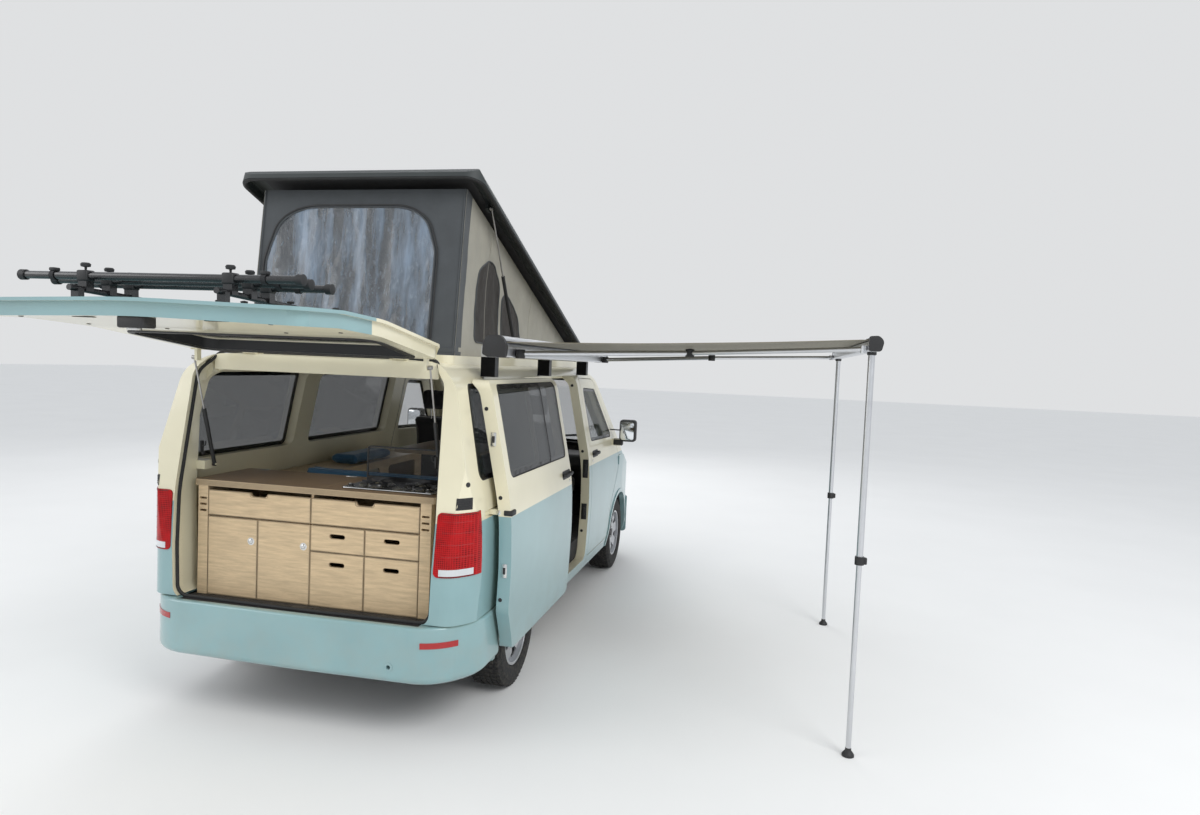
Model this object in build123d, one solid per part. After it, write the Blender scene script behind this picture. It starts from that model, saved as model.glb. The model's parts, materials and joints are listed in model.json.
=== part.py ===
from build123d import *
from functools import lru_cache
from math import atan2, cos, degrees, hypot, radians, sin, sqrt, tan
import os

# Camper van parked with its tailgate, pop-top roof, sliding door and side awning open.
# Built in millimetres with +X to the van's right, +Y to its nose and +Z up. While it is built,
# y = 0 is half way between the axles, x = 0 is the centreline and z = 0 is the ground.
# At the end every piece is moved so that the origin is under the middle of the whole object.

# Overall sizes
WHEELBASE = 3000
TRACK = 1628
NOSE_Y = 2408
TAIL_Y = -2452
HALF_WIDTH = 952
ROOF_Z = 1990
SILL_Z = 300
WALL = 70
PANEL = 40
GAP = 6
FIT = 0.3
LAMP_GAP = 0.5
HUB_IN = 6

# Wheels and suspension
TYRE_D = 686
TYRE_W = 215
RIM_D = 420
RIM_W = 190
RIM_LIP = 16
BARREL_R = 182
FACE_OUT = 60
SPOKES = 5
HUB_R = 78
HUB_BORE_R = 30
DISC_R = 150
ARCH_R = 402
ARCH_LIP_W = 34
ARCH_LIP_OUT = 8
ARCH_LINER = 18
LINER_IN_FRONT = 484
LINER_IN_REAR = 620
KINGPIN_X = 782
KINGPIN_GAP = 0.5
KINGPIN_HALF = 112
SUSPENSION_X = 626
STRUT_BODY_R = 24
REAR_SPRING_R = 50

FRONT_Y = WHEELBASE / 2
REAR_Y = -WHEELBASE / 2
WHEEL_X = TRACK / 2
WHEEL_Z = TYRE_D / 2

# Bumpers, lamps and bonnet lines
BUMPER_TOP = 632
BUMPER_FRONT_REAR_EDGE = 1990
BUMPER_REAR_FRONT_EDGE = -1960
STEP_X = (-700, 700)
STEP_DEEP = 12
REAR_SILL_T = 8
TOW_REAR = (560, 420)
TOW_R = 11
LAMP_REAR = ((762, 1000), (885, 1208))
LAMP_FRONT = ((446, 1000), (668, 838))
BONNET_EDGE_Z = 846
BONNET_HALF = 742
BONNET_REAR_R = 2556

# Floor and body openings
FLOOR_TOP = 560
FLOOR_T = 40
FLOOR_HALF = 875
RAIL_X = 430
RAIL_W = 80
RAIL_H = 110
BULKHEAD_Y = 1400
ROOF_SPLIT_X = 690
ROOF_PANEL_LOW = 1845
GLASS_Z = 1345
GLASS_TOP = 1850
GLASS_T = 6
GLASS_SINK = 4
EXHAUST_Z = 400
JACK_X = 800
JACK_Y = (-900, 880)
B_POST = (165, 265)
DOOR_BOTTOM = 395
SLIDER_REAR_Y = -1125
SLIDER_TRAVEL = 975
SLIDER_OUT = 108
SLIDER_RAIL_Z = (1150, 1190)
SLIDER_RAIL_REAR_Y = -2200
SLIDER_RAIL_SINK = 20
DOORWAY_BOTTOM = 440
TAILGATE_SILL = 636
TAILGATE_SKIN = 14
TAILGATE_REBATE = 20

# Hinges: (y, z) for those about X and (x, y) for the front doors
TAILGATE_HINGE = (-2232, 1972)
TAILGATE_OPEN = 88.6
POPTOP_HINGE = (800, 2006)
POPTOP_OPEN = 19.4
BONNET_HINGE = (1640, 1140)
BONNET_OPEN = 50
DOOR_HINGE = (950, 1396)
DOOR_OPEN = 65
HINGE_X = {"tailgate": 450, "poptop": 420, "bonnet": 350}
DOOR_HINGE_Z = (1030, 1110)

# Gas struts: radii, tube length, and their pivots as (x, y, z) with the lids shut
STRUT_TUBE_R = 11
STRUT_ROD_R = 5
STRUT_EYE_R = 11
STRUT_PIN_R = 5
TAILGATE_STRUT_BASE = (684, -2196, 1330)
TAILGATE_STRUT_LID = (-2192, 1836)
TAILGATE_STRUT_TUBE = 330
POPTOP_STRUT_BASE = (690, -1050, 2030)
POPTOP_STRUT_LID = (-1740, 2030)
POPTOP_STRUT_TUBE = 560

# Cycle rack
RACK_X = (-330, 330)
RACK_RAILS = [
    # height up the shut tailgate, stand-off, half length, tube radius
    (800, 96, 640, 16),
    (915, 96, 600, 16),
    (1030, 96, 620, 16),
    (1545, 60, 470, 13),
]

# Pop-top shell, roof opening and canvas
SHELL_HALF = 760
SHELL_REAR_Y = -2132
SHELL_FRONT_Y = 812
SHELL_T = 26
SHELL_RISE = 106
ROOF_HOLE_X = 560
ROOF_HOLE_Y = (-1880, 560)
COAMING_X = 672
COAMING_Y = (-2090, 770)
COAMING_TOP = 1996
CANVAS_X = 640
CANVAS_T = 10
CANVAS_BASE_Y = (-1960, 700)
CANVAS_TOP_Y = -1850

# Awning
AWNING_Y = (-2050, 560)
CASE_X = (838, 966)
CASE_Z = (1998, 2118)
RAIL_OUT_X = 2850
RAIL_OUT_Z = 2140
LEG_Y = (-1850, 360)
LEG_R = (17, 14)
FABRIC_T = 3
FABRIC_SAG = 10
ELBOW_FOLD = 330
BRACKET_Y = (-1850, -760, 340)
BRACKET_LOW = 1885

# Kitchen, from its rear face forwards
KITCHEN_Y = -2312
KITCHEN_DEPTH = 460
KITCHEN_HALF = 690
KITCHEN_BOTTOM = 612
WORKTOP_TOP = 1262
WORKTOP_T = 34
PLY = 15
FRONT_GAP = 4
FRONT_EDGE = 626
SPLIT_X = 318
DRAWER_Z = (1069, 1206)
SMALL_Z = (924, 1061)
BOX_Z = 628
DRAWER_TRAVEL = 360
DRAWER_DEPTH = 410
HOB_AT = (400, KITCHEN_Y + 210)

# Side cupboards and bench
UNIT_X = -520
UNIT_Y = (-1840, 150)
UNIT_TOP = 1180
BENCH_X = (-510, 760)
BENCH_Y = (-1650, -1130)
BENCH_TOP = 850


# Shape helpers
def block(x, y, z):
    """Box between the (low, high) pairs of x, y and z."""
    middle = ((x[0] + x[1]) / 2, (y[0] + y[1]) / 2, (z[0] + z[1]) / 2)
    return Pos(*middle) * Box(x[1] - x[0], y[1] - y[0], z[1] - z[0])


def face_of(rows):
    """Closed face from rows of (u, v, corner radius); a radius is limited by its two sides."""
    points = [Vector(u, v) for u, v, r in rows]
    ends = []
    for i, (u, v, radius) in enumerate(rows):
        corner = points[i]
        back = points[i - 1] - corner
        ahead = points[(i + 1) % len(points)] - corner
        bend = tan(radians(180 - back.get_angle(ahead)) / 2)
        reach = min(radius * bend, 0.48 * back.length, 0.48 * ahead.length)
        if radius == 0 or reach < 0.01:
            ends.append((corner, None, corner))
            continue
        radius = reach / bend
        middle = corner + (back.normalized() + ahead.normalized()).normalized() * (
            hypot(radius, reach) - radius)
        ends.append((corner + back.normalized() * reach, middle, corner + ahead.normalized() * reach))
    edges = []
    for i, (start, middle, end) in enumerate(ends):
        edges.append(Line(ends[i - 1][2], start))
        if middle is not None:
            edges.append(ThreePointArc(start, middle, end))
    return make_face(edges)


def mirrored_rows(rows):
    """Rows of the right half, bottom to top, completed with the left half."""
    left = [(-u, v, r) for u, v, r in reversed(rows) if u > 0]
    return rows + left


def along_x(face, x):
    """Side-view face (u is y, v is z) pushed out between two x values."""
    return extrude(Plane.YZ * face, amount=x[1] - x[0], dir=(1, 0, 0)).moved(Location((x[0], 0, 0)))


def along_y(face, y):
    """Front-view face (u is x, v is z) pushed out between two y values."""
    return extrude(Plane.XZ * face, amount=y[1] - y[0], dir=(0, 1, 0)).moved(Location((0, y[0], 0)))


def along_z(face, z):
    """Plan-view face (u is x, v is y) pushed out between two z values."""
    return extrude(face, amount=z[1] - z[0], dir=(0, 0, 1)).moved(Location((0, 0, z[0])))


def rod(start, end, radius):
    """Cylinder between two points."""
    a = Vector(*start)
    b = Vector(*end)
    return extrude(Plane(a, z_dir=b - a) * Circle(radius), amount=(b - a).length)


def pipe(points, radius, bend):
    """Bent tube along points, with tangent arcs of one bend radius."""
    path = FilletPolyline(*points, radius=bend)
    start = Plane(path @ 0, z_dir=path % 0)
    return sweep(start * Circle(radius), path=path)


def flip(shape):
    """The same shape on the van's other side."""
    return mirror(shape, Plane.YZ)


def pair(shape):
    """A right-hand shape and its left-hand twin, as solids that don't touch."""
    return Compound(children=list(shape.solids()) + list(flip(shape).solids()))


def group(*shapes):
    """Solids that share a node."""
    solids = []
    for shape in shapes:
        solids += shape.solids()
    return Compound(children=solids)


def turned(shape, pivot, angle):
    """Shape turned about the X axis through pivot (y, z)."""
    axis = Axis((0, pivot[0], pivot[1]), (1, 0, 0))
    return shape.rotate(axis, angle)


def hinge_leaf(x, pivot, radius, ends, reach):
    """Eye about X between two x offsets, with a tongue from the pivot to the (y, z) point reach."""
    eye = rod((x + ends[0], *pivot), (x + ends[1], *pivot), radius)
    run = hypot(reach[0] - pivot[0], reach[1] - pivot[1])
    tilt = degrees(atan2(reach[1] - pivot[1], reach[0] - pivot[0]))
    tongue = Pos((ends[0] + ends[1]) / 2, run / 2, 0) * Box(ends[1] - ends[0], run, 1.6 * radius)
    return eye + tongue.rotate(Axis.X, tilt).moved(Location((x, *pivot)))


def hinge_fork(x, pivot, radius, half, ear, reach):
    """Two eyes either side of a leaf, with the pin that joins them."""
    pin = rod((x - half, *pivot), (x + half, *pivot), radius * 0.45)
    near = hinge_leaf(x, pivot, radius, (-half, -half + ear), reach)
    far = hinge_leaf(x, pivot, radius, (half - ear, half), reach)
    return near + far + pin


def pin_hole(x, pivot, radius, half):
    return rod((x - half, *pivot), (x + half, *pivot), radius * 0.45 + FIT)


# Body form: one smooth hull that every outer panel is cut from
BELOW = -400
SECTION = [
    # x, z, corner radius
    (900, BELOW, 0),
    (906, SILL_Z, 60),
    (936, 430, 700),
    (HALF_WIDTH, 860, 2500),
    (944, 1180, 1400),
    (806, 1846, 170),
    (690, 1952, 200),
    (0, ROOF_Z, 4000),
]
PLAN = [
    # x, y, corner radius
    (0, TAIL_Y, 6000),
    (850, TAIL_Y + 22, 110),
    (HALF_WIDTH, TAIL_Y + 150, 500),
    (HALF_WIDTH + 4, -1900, 0),
    (HALF_WIDTH + 4, 1500, 1500),
    (928, 1980, 500),
    (800, 2262, 260),
    (0, NOSE_Y + 12, 3000),
]
TAIL_PROFILE = [
    # y, z, corner radius
    (TAIL_Y, BELOW, 0),
    (TAIL_Y, 660, 900),
    (TAIL_Y + 44, 1230, 1500),
    (TAIL_Y + 150, 1890, 90),
    (TAIL_Y + 228, 1966, 200),
    (-1800, 2010, 2500),
    (-700, 2010, 0),
    (-700, BELOW, 0),
]
PROFILE_AXIS_Y = -800
NOSE_PROFILE = [
    # y, z, corner radius
    (PROFILE_AXIS_Y, BELOW, 0),
    (2372, BELOW, 0),
    (2382, 280, 200),
    (NOSE_Y, 560, 300),
    (2398, 760, 220),
    (2316, 892, 240),
    (1765, 1128, 900),
    (1722, 1160, 60),
    (1004, 1884, 320),
    (650, 2004, 900),
    (-200, 2010, 0),
    (PROFILE_AXIS_Y, 2010, 0),
]


@lru_cache(maxsize=None)
def hull(depth):
    """Solid of the body's outer form, drawn in by depth on every side but below."""

    def shrink(face):
        return offset(face, amount=-depth, kind=Kind.INTERSECTION) if depth else face

    section = along_y(shrink(face_of(mirrored_rows(SECTION))), (-2600, 2600))
    plan = along_z(shrink(face_of(mirrored_rows(PLAN))), (-350, 2100))
    tail_face = shrink(face_of(TAIL_PROFILE)) + Pos(-650, 800 - depth) * Rectangle(500, 2400)
    tail = along_x(tail_face, (-1100, 1100)) & block((-1100, 1100), (-2600, -800), (-350, 2100))
    nose_face = shrink(face_of(NOSE_PROFILE))
    nose_face = nose_face + Pos(PROFILE_AXIS_Y + 100, 800 - depth) * Rectangle(200, 2400)
    axis = Axis((0, PROFILE_AXIS_Y, 0), (0, 0, 1))
    ahead = block((0, 1), (PROFILE_AXIS_Y, 2600), (-350, 2100))
    nose_face = (Plane.YZ * nose_face) & ahead.faces().sort_by(Axis.X)[0]
    nose = revolve(nose_face, axis, 90) + revolve(nose_face, axis, -90)
    return section & plan & (tail + nose)


# Outlines that neighbouring panels share, seen from the side (y, z) or from behind (x, z)
def door_outline(grow):
    """Front door, seen from the side."""
    g = grow
    return face_of([
        (B_POST[1] - g, DOOR_BOTTOM - g, 30 + g),
        (1044 + g, DOOR_BOTTOM - g, 60),
        (1096 + g, 700, 300),
        (DOOR_HINGE[1] - 6 + g, 1020, 120),
        (DOOR_HINGE[1] - 6 + g, 1128 + 0.4 * g, 60),
        (742 + g, 1846 + g, 90),
        (B_POST[1] - g, 1858 + g, 60),
    ])


def door_window():
    """Pane opening of the front door."""
    return face_of([
        (B_POST[1] + 66, GLASS_Z - 6, 40),
        (1150, GLASS_Z - 30, 30),
        (742, 1764, 50),
        (B_POST[1] + 66, 1782, 40),
    ])


def slider_outline(grow):
    """Sliding door, seen from the side, with its lower rear corner cut for the wheel arch."""
    g = grow
    return face_of([
        (SLIDER_REAR_Y + 130 - g, DOOR_BOTTOM - g, 40),
        (B_POST[0] + g, DOOR_BOTTOM - g, 30 + g),
        (B_POST[0] + g, GLASS_TOP + 22 + g, 50),
        (SLIDER_REAR_Y - g, GLASS_TOP + 22 + g, 50),
        (SLIDER_REAR_Y - g, 640, 120),
    ])


def slider_window():
    """Pane opening of the sliding door and of the matching left side pane."""
    low = SLIDER_REAR_Y + 78
    high = B_POST[0] - 66
    rows = [(low, GLASS_Z, 45), (high, GLASS_Z, 45), (high, GLASS_TOP, 45), (low, GLASS_TOP, 45)]
    return face_of(rows)


def quarter_window():
    """Pane opening behind the sliding door."""
    low = TAIL_Y + 236
    high = SLIDER_REAR_Y - 96
    rows = [(low, GLASS_Z, 60), (high, GLASS_Z, 45), (high, GLASS_TOP, 45), (low + 44, GLASS_TOP, 60)]
    return face_of(rows)


def tailgate_outline(grow):
    """Tailgate, seen from behind."""
    g = grow
    return face_of(mirrored_rows([
        (738 + g, TAILGATE_SILL - g, 60),
        (754 + g, 1180, 900),
        (732 + g, 1850, 90),
        (640 + g, 1968 + g, 60),
    ]))


def tailgate_window():
    """Pane opening of the tailgate."""
    return face_of(mirrored_rows([(640, 1325, 70), (590, 1836, 70)]))


def windscreen_outline(grow):
    """Windscreen opening, seen from the front."""
    g = grow
    return face_of(mirrored_rows([(752 + g, 1196 - g, 90), (640 + g, 1850 + g, 90)]))


def arch_cut(y, x_inner):
    """Space that a wheel turns in, from inside the body out through its side."""
    return rod((x_inner, y, WHEEL_Z), (1100, y, WHEEL_Z), ARCH_R)


def below_arch(y):
    """Everything under the hub line between the arch's two legs."""
    return block((400, 1100), (y - ARCH_R, y + ARCH_R), (-500, WHEEL_Z))


def arch_lip(y):
    """Raised rim round a wheel arch, with its two legs down to the sill."""

    def arch_face(grow):
        radius = ARCH_R + grow
        legs = Pos(0, (SILL_Z - WHEEL_Z) / 2) * Rectangle(2 * radius, WHEEL_Z - SILL_Z)
        return Pos(y, WHEEL_Z) * (Circle(radius) + legs)

    rim_face = arch_face(ARCH_LIP_W) - arch_face(0)
    return along_x(rim_face, (800, 1100)) & (hull(-ARCH_LIP_OUT) - hull(ARCH_LIP_OUT))


HULL = hull(0)
HULL_WALL = HULL - hull(WALL)
HULL_PANEL = HULL - hull(PANEL)
GLAZING = hull(GLASS_SINK) - hull(GLASS_SINK + GLASS_T)


def bonnet_prism(grow):
    """Plan of the bonnet, from the cowl to the nose."""
    g = grow
    half = BONNET_HALF + g
    plan = face_of(mirrored_rows([(half, 1500, 0), (half, 2080, 400), (half - 90, 2480, 0)]))
    behind = Pos(0, PROFILE_AXIS_Y, 0) * Cylinder(BONNET_REAR_R - g, 4000)
    return along_z(plan, (BONNET_EDGE_Z - g, 1400)) - behind


def rear_lamp_prism(grow):
    """Room for a tail lamp in the right rear corner."""
    g = grow
    (x0, x1), (z0, z1) = LAMP_REAR
    face = face_of([(x0 - g, z0 - g, 24), (x1, z0 - g, 0), (x1, z1 + g, 0), (x0 + 8 - g, z1 + g, 24)])
    return along_y(face, (TAIL_Y - 100, TAIL_Y + 190 + g))


def front_lamp_prism(grow):
    """Room for a headlamp in the right front corner."""
    g = grow
    (x0, x1), (z0, z1) = LAMP_FRONT
    face = face_of([
        (x0 - g, z0 + 26 - g, 20),
        (720, z0 - g, 60),
        (x1, z0 + 14 - g, 0),
        (x1, z1 + g, 0),
        (x0 + 16 - g, z1 - 8 + g, 20),
    ])
    return along_y(face, (2085 - g, 2500))


# Body panels
def side_panel():
    """Right side wall without its doorway: sill, posts, roof edge, rear corner."""
    region = face_of([
        (-2600, SILL_Z, 0),
        (1050, SILL_Z, 0),
        (1050 + GAP, DOOR_BOTTOM, 40),
        (1096 + GAP, 700, 300),
        (DOOR_HINGE[1], 1020, 120),
        (DOOR_HINGE[1], 1120, 0),
        (1760, 1120, 0),
        (1760, 2100, 0),
        (-2600, 2100, 0),
    ])
    wall = (HULL_WALL + arch_lip(REAR_Y)) & along_x(region, (ROOF_SPLIT_X, 1000))
    rear = HULL_WALL & block((640, ROOF_SPLIT_X), (-2600, -2300), (SILL_Z, ROOF_PANEL_LOW))
    post_z = (BUMPER_TOP + GAP, ROOF_PANEL_LOW)
    post = hull(WALL - 1) & block((700, 1000), (TAIL_Y + 60, TAIL_Y + 210), post_z)
    wall = wall + rear + post
    wall -= along_x(door_outline(GAP), (500, 1100))
    wall -= along_y(tailgate_outline(GAP), (-2600, -2200))
    wall -= along_y(windscreen_outline(0), (600, 2000))
    wall -= arch_cut(REAR_Y, 400)
    wall -= below_arch(REAR_Y)
    wall -= rear_lamp_prism(LAMP_GAP)
    wall -= bonnet_prism(2 * GAP)
    bumper_room = block((0, 1100), (-2700, BUMPER_REAR_FRONT_EDGE + GAP), (0, BUMPER_TOP + GAP))
    return wall - bumper_room - strut_path()


def strut_path():
    """Room behind the rear corner's skin for a tailgate strut's head."""
    x = TAILGATE_STRUT_BASE[0]
    half = STRUT_EYE_R + GAP
    y, z = TAILGATE_STRUT_LID
    room = block((x - half, x + half), (y - 128, y + 42), (z - GAP, z + 139))
    return room & hull(8)


def strut_base():
    """Bracket and pin that carry the foot of a tailgate strut."""
    x, y, z = TAILGATE_STRUT_BASE
    plate = block((x + 15, 840), (y - 60, y + 20), (z - 24, z + 24))
    pin = rod((x - 14, y, z), (x + 16, y, z), STRUT_PIN_R)
    return plate + pin


def slider_rail():
    """Groove along the right side that the sliding door's centre arm runs in."""
    room = block((800, 1000), (SLIDER_RAIL_REAR_Y, SLIDER_REAR_Y), SLIDER_RAIL_Z)
    return room - hull(SLIDER_RAIL_SINK)


def side_right():
    wall = side_panel()
    doorway = along_x(slider_outline(GAP), (500, 1100))
    window = along_x(quarter_window(), (500, 1100))
    return wall - doorway - window - slider_rail() + (strut_base() & hull(10))


def side_left():
    wall = side_panel()
    for face in (slider_window(), quarter_window()):
        wall -= along_x(face, (500, 1100))
    return flip(wall + (strut_base() & hull(10)))


def roof_panel():
    """Fixed roof with the pop-top's opening, coaming and strut brackets."""
    limits = block((-ROOF_SPLIT_X, ROOF_SPLIT_X), (-2600, 1500), (ROOF_PANEL_LOW, 2100))
    roof = HULL_WALL & limits
    roof -= along_y(tailgate_outline(GAP), (-2600, -2225))
    roof -= along_y(windscreen_outline(0), (600, 2000))
    roof -= strut_path() + flip(strut_path())
    ring = block((-COAMING_X, COAMING_X), COAMING_Y, (1930, COAMING_TOP))
    roof = roof + fillet(ring.edges().filter_by(Axis.Z), 60)
    x, y, z = POPTOP_STRUT_BASE
    for side in (-1, 1):
        ear = block((x - 34, x - 18), (y - 26, y + 26), (COAMING_TOP - 30, z + 10))
        pin = rod((x - 20, y, z), (x + 13, y, z), STRUT_PIN_R)
        roof += ear + pin if side > 0 else flip(ear + pin)
    for side in (-1, 1):
        x = side * HINGE_X["tailgate"]
        y, z = TAILGATE_HINGE
        roof += hinge_fork(x, TAILGATE_HINGE, 9, 36, 12, (y + 40, z - 18))
        x = side * HINGE_X["poptop"]
        y, z = POPTOP_HINGE
        roof += hinge_fork(x, POPTOP_HINGE, 8, 22, 9, (y, z - 70))
    hole = block((-ROOF_HOLE_X, ROOF_HOLE_X), ROOF_HOLE_Y, (1700, 2100))
    return roof - fillet(hole.edges().filter_by(Axis.Z), 80)


def bulkhead():
    """Wall between cabin and engine, with the cowl under the windscreen."""
    region = Pos(0, PROFILE_AXIS_Y, 0) * Cylinder(BONNET_REAR_R - GAP * 2, 4000)
    cowl = HULL_PANEL & region & block((-ROOF_SPLIT_X, ROOF_SPLIT_X), (1500, 1800), (1060, 1194))
    cowl -= along_y(windscreen_outline(2), (600, 2000))
    wall = block((-828, 828), (BULKHEAD_Y, BULKHEAD_Y + 20), (FLOOR_TOP - FLOOR_T, 1078))
    shelf = block((-828, 828), (BULKHEAD_Y, 1690), (1060, 1078)) & region & hull(PANEL)
    web = block((-ROOF_SPLIT_X, ROOF_SPLIT_X), (1626, 1646), (1060, 1200)) & hull(20)
    y, z = BONNET_HINGE
    for side in (-1, 1):
        x = side * HINGE_X["bonnet"]
        slot = block((x - 15, x + 15), (y - 22, y + 160), (z - 56, z + 120))
        cowl -= slot
        web -= slot
        web += hinge_fork(x, BONNET_HINGE, 9, 22, 8, (y - 6, z - 40))
    wall = wall + shelf + web
    for side in (-1, 1):
        start = LINER_IN_FRONT - ARCH_LINER - 1
        wheel = rod((start, FRONT_Y, WHEEL_Z), (1100, FRONT_Y, WHEEL_Z), ARCH_R + 30)
        wall -= wheel if side > 0 else flip(wheel)
    return wall + cowl


def bonnet():
    lid = HULL_PANEL & bonnet_prism(0) & block((-900, 900), (1500, 2500), (BONNET_EDGE_Z, 1300))
    y, z = BONNET_HINGE
    for side in (-1, 1):
        x = side * HINGE_X["bonnet"]
        lid += hinge_leaf(x, BONNET_HINGE, 9, (-8, 8), (y + 140, z - 46))
        lid -= pin_hole(x, BONNET_HINGE, 9, 14)
    return lid


def front_wings():
    """Right and left wings, from the front door's edge to the bumper and headlamp."""
    region = face_of([
        (1050 + 2 * GAP, SILL_Z, 0),
        (1056 + 2 * GAP, DOOR_BOTTOM, 40),
        (1096 + 2 * GAP, 700, 300),
        (DOOR_HINGE[1] + GAP, 1020, 120),
        (DOOR_HINGE[1] + GAP, 1114, 0),
        (1900, 1114, 0),
        (2600, 900, 0),
        (2600, BUMPER_TOP + GAP, 0),
        (BUMPER_FRONT_REAR_EDGE - GAP, BUMPER_TOP + GAP, 0),
        (BUMPER_FRONT_REAR_EDGE - GAP, SILL_Z, 0),
    ])
    wing = (HULL_PANEL + arch_lip(FRONT_Y)) & along_x(region, (600, 1100))
    wing -= bonnet_prism(GAP)
    wing -= block((0, BONNET_HALF + GAP), (1300, 1720), (900, 1300))
    wing -= arch_cut(FRONT_Y, 400)
    wing -= below_arch(FRONT_Y)
    wing -= front_lamp_prism(LAMP_GAP)
    wing &= block((446, 1100), (900, 2600), (0, 1200))
    wing -= block((0, 446 + 240), (2100, 2600), (0, BONNET_EDGE_Z - GAP))
    x, y = DOOR_HINGE
    z0, z1 = DOOR_HINGE_Z
    for low, high in ((z0, z0 + 16), (z1 - 16, z1)):
        wing += rod((x, y, low), (x, y, high), 5)
        wing += block((x - 8, x + 3), (y, y + GAP + 2), (low, high))
    wing += rod((x, y, z0), (x, y, z1), 2.5)
    return pair(wing)


def bumper_rows(back):
    """Plan of a bumper's outer face: rear when back is true, else front."""
    if back:
        return [
            (0, TAIL_Y - 44, 4000),
            (780, TAIL_Y - 30, 260),
            (HALF_WIDTH + 8, TAIL_Y + 180, 400),
            (HALF_WIDTH + 4, BUMPER_REAR_FRONT_EDGE, 0),
        ]
    return [
        (0, NOSE_Y + 2, 3000),
        (740, 2296, 330),
        (926, BUMPER_FRONT_REAR_EDGE + 60, 300),
        (938, BUMPER_FRONT_REAR_EDGE, 0),
    ]


def bumper(back):
    """Wrapped bumper, hollow behind, with softened edges."""
    low = 335 if back else 262
    face = face_of(mirrored_rows(bumper_rows(back)))
    outer = along_z(face, (low, BUMPER_TOP))
    outer = fillet(outer.faces().sort_by(Axis.Z)[0].outer_wire().edges().filter_by(
        lambda e: abs(e.center().Y) > abs(bumper_rows(back)[-1][1]) + 2), 40)
    outer = fillet(outer.faces().sort_by(Axis.Z)[-1].outer_wire().edges().filter_by(
        lambda e: abs(e.center().Y) > abs(bumper_rows(back)[-1][1]) + 2), 14)
    inner = offset(face, amount=-45, kind=Kind.INTERSECTION)
    reach = 60 if back else -60
    inner = inner + Pos(0, reach) * inner
    ledge = offset(face, amount=-100, kind=Kind.INTERSECTION)
    ledge = ledge + Pos(0, 2 * reach) * ledge
    return outer - along_z(inner, (low - 1, BUMPER_TOP - 30)) - along_z(ledge, (low, BUMPER_TOP + 1))


def rear_bumper():
    body = bumper(True)
    x0, x1 = STEP_X
    step = block((x0, x1), (TAIL_Y - 2, TAIL_Y + 110), (BUMPER_TOP - STEP_DEEP, BUMPER_TOP + 20))
    body -= step
    eye = rod((TOW_REAR[0], TAIL_Y - 60, TOW_REAR[1]), (TOW_REAR[0], TAIL_Y + 70, TOW_REAR[1]), TOW_R)
    boss = rod((TOW_REAR[0], TAIL_Y - 36, TOW_REAR[1]), (TOW_REAR[0], TAIL_Y + 62, TOW_REAR[1]), TOW_R + 12)
    for side in (-1, 1):
        x = side * RAIL_X
        body += block((x - 40, x + 40), (TAIL_Y - 6, TAIL_Y + 76), (450, 550))
    return body + boss - eye


def rear_sill():
    """Threshold under the tailgate: a tread on the bumper's step, and a riser on the floor."""
    low = BUMPER_TOP - STEP_DEEP + FIT
    high = low + REAR_SILL_T
    rear = TAIL_Y + 2
    front = KITCHEN_Y - GAP
    profile = face_of([
        (rear, low, 0),
        (rear, high, 3),
        (front, high, 6),
        (front, FLOOR_TOP + FIT, 0),
        (front - 50, FLOOR_TOP + FIT, 0),
        (front - 50, low, 4),
    ])
    return along_x(profile, (STEP_X[0] + GAP, STEP_X[1] - GAP))


def front_bumper():
    """Front bumper with the low intake and its bars."""
    body = bumper(False)
    intake = face_of(mirrored_rows([(520, 350, 30), (600, 500, 40)]))
    body -= along_y(intake, (2100, 2500))
    bars = body
    for z in (380, 420, 460):
        slat = along_y(Pos(0, z) * Rectangle(1180, 12), (2225, 2380)) & hull(24)
        slat &= along_y(intake, (2100, 2500))
        slat -= hull(54)
        bars = bars + slat
    for side in (-1, 1):
        x = side * RAIL_X
        bars += block((x - 40, x + 40), (2230, 2345), (520, 596))
    return bars


def grille():
    """Blank bar grille between the headlamps."""
    room = block((-440, 440), (2200, 2500), (BUMPER_TOP + GAP, BONNET_EDGE_Z - GAP))
    frame_solid = (HULL - hull(34)) & room
    opening = face_of(mirrored_rows([(400, 668, 20), (412, 806, 20)]))
    frame_solid -= along_y(opening, (2200, 2500))
    for z in (694, 728, 762):
        frame_solid += (hull(2) - hull(26)) & block((-420, 420), (2200, 2500), (z - 7, z + 7))
    frame_solid += (hull(30) - hull(34)) & block((-420, 420), (2200, 2500), (655, 820))
    for x in (-300, 300):
        frame_solid += block((x - 12, x + 12), (2195, 2372), (650, 670)) & hull(20)
        frame_solid += block((x - 12, x + 12), (2195, 2225), (620, 670))
    return frame_solid


def headlamps():
    lens = (hull(1) - hull(60)) & front_lamp_prism(0)
    lens -= bonnet_prism(GAP)
    return pair(lens)


def tail_lamps():
    lens = (hull(-5) - hull(46)) & rear_lamp_prism(0)
    lens -= along_y(tailgate_outline(GAP), (-2600, -2200))
    return pair(lens)


def windscreen():
    return GLAZING & along_y(windscreen_outline(0), (600, 2000))


def side_glass():
    """Fixed panes: left middle, both rear quarters, and the one in the sliding door."""
    quarter = GLAZING & along_x(quarter_window(), (500, 1100))
    middle = GLAZING & along_x(slider_window(), (500, 1100))
    return group(quarter, flip(quarter), flip(middle), middle.moved(slider_move()))


def slider_move():
    return Location((SLIDER_OUT, -SLIDER_TRAVEL, 0))


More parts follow.
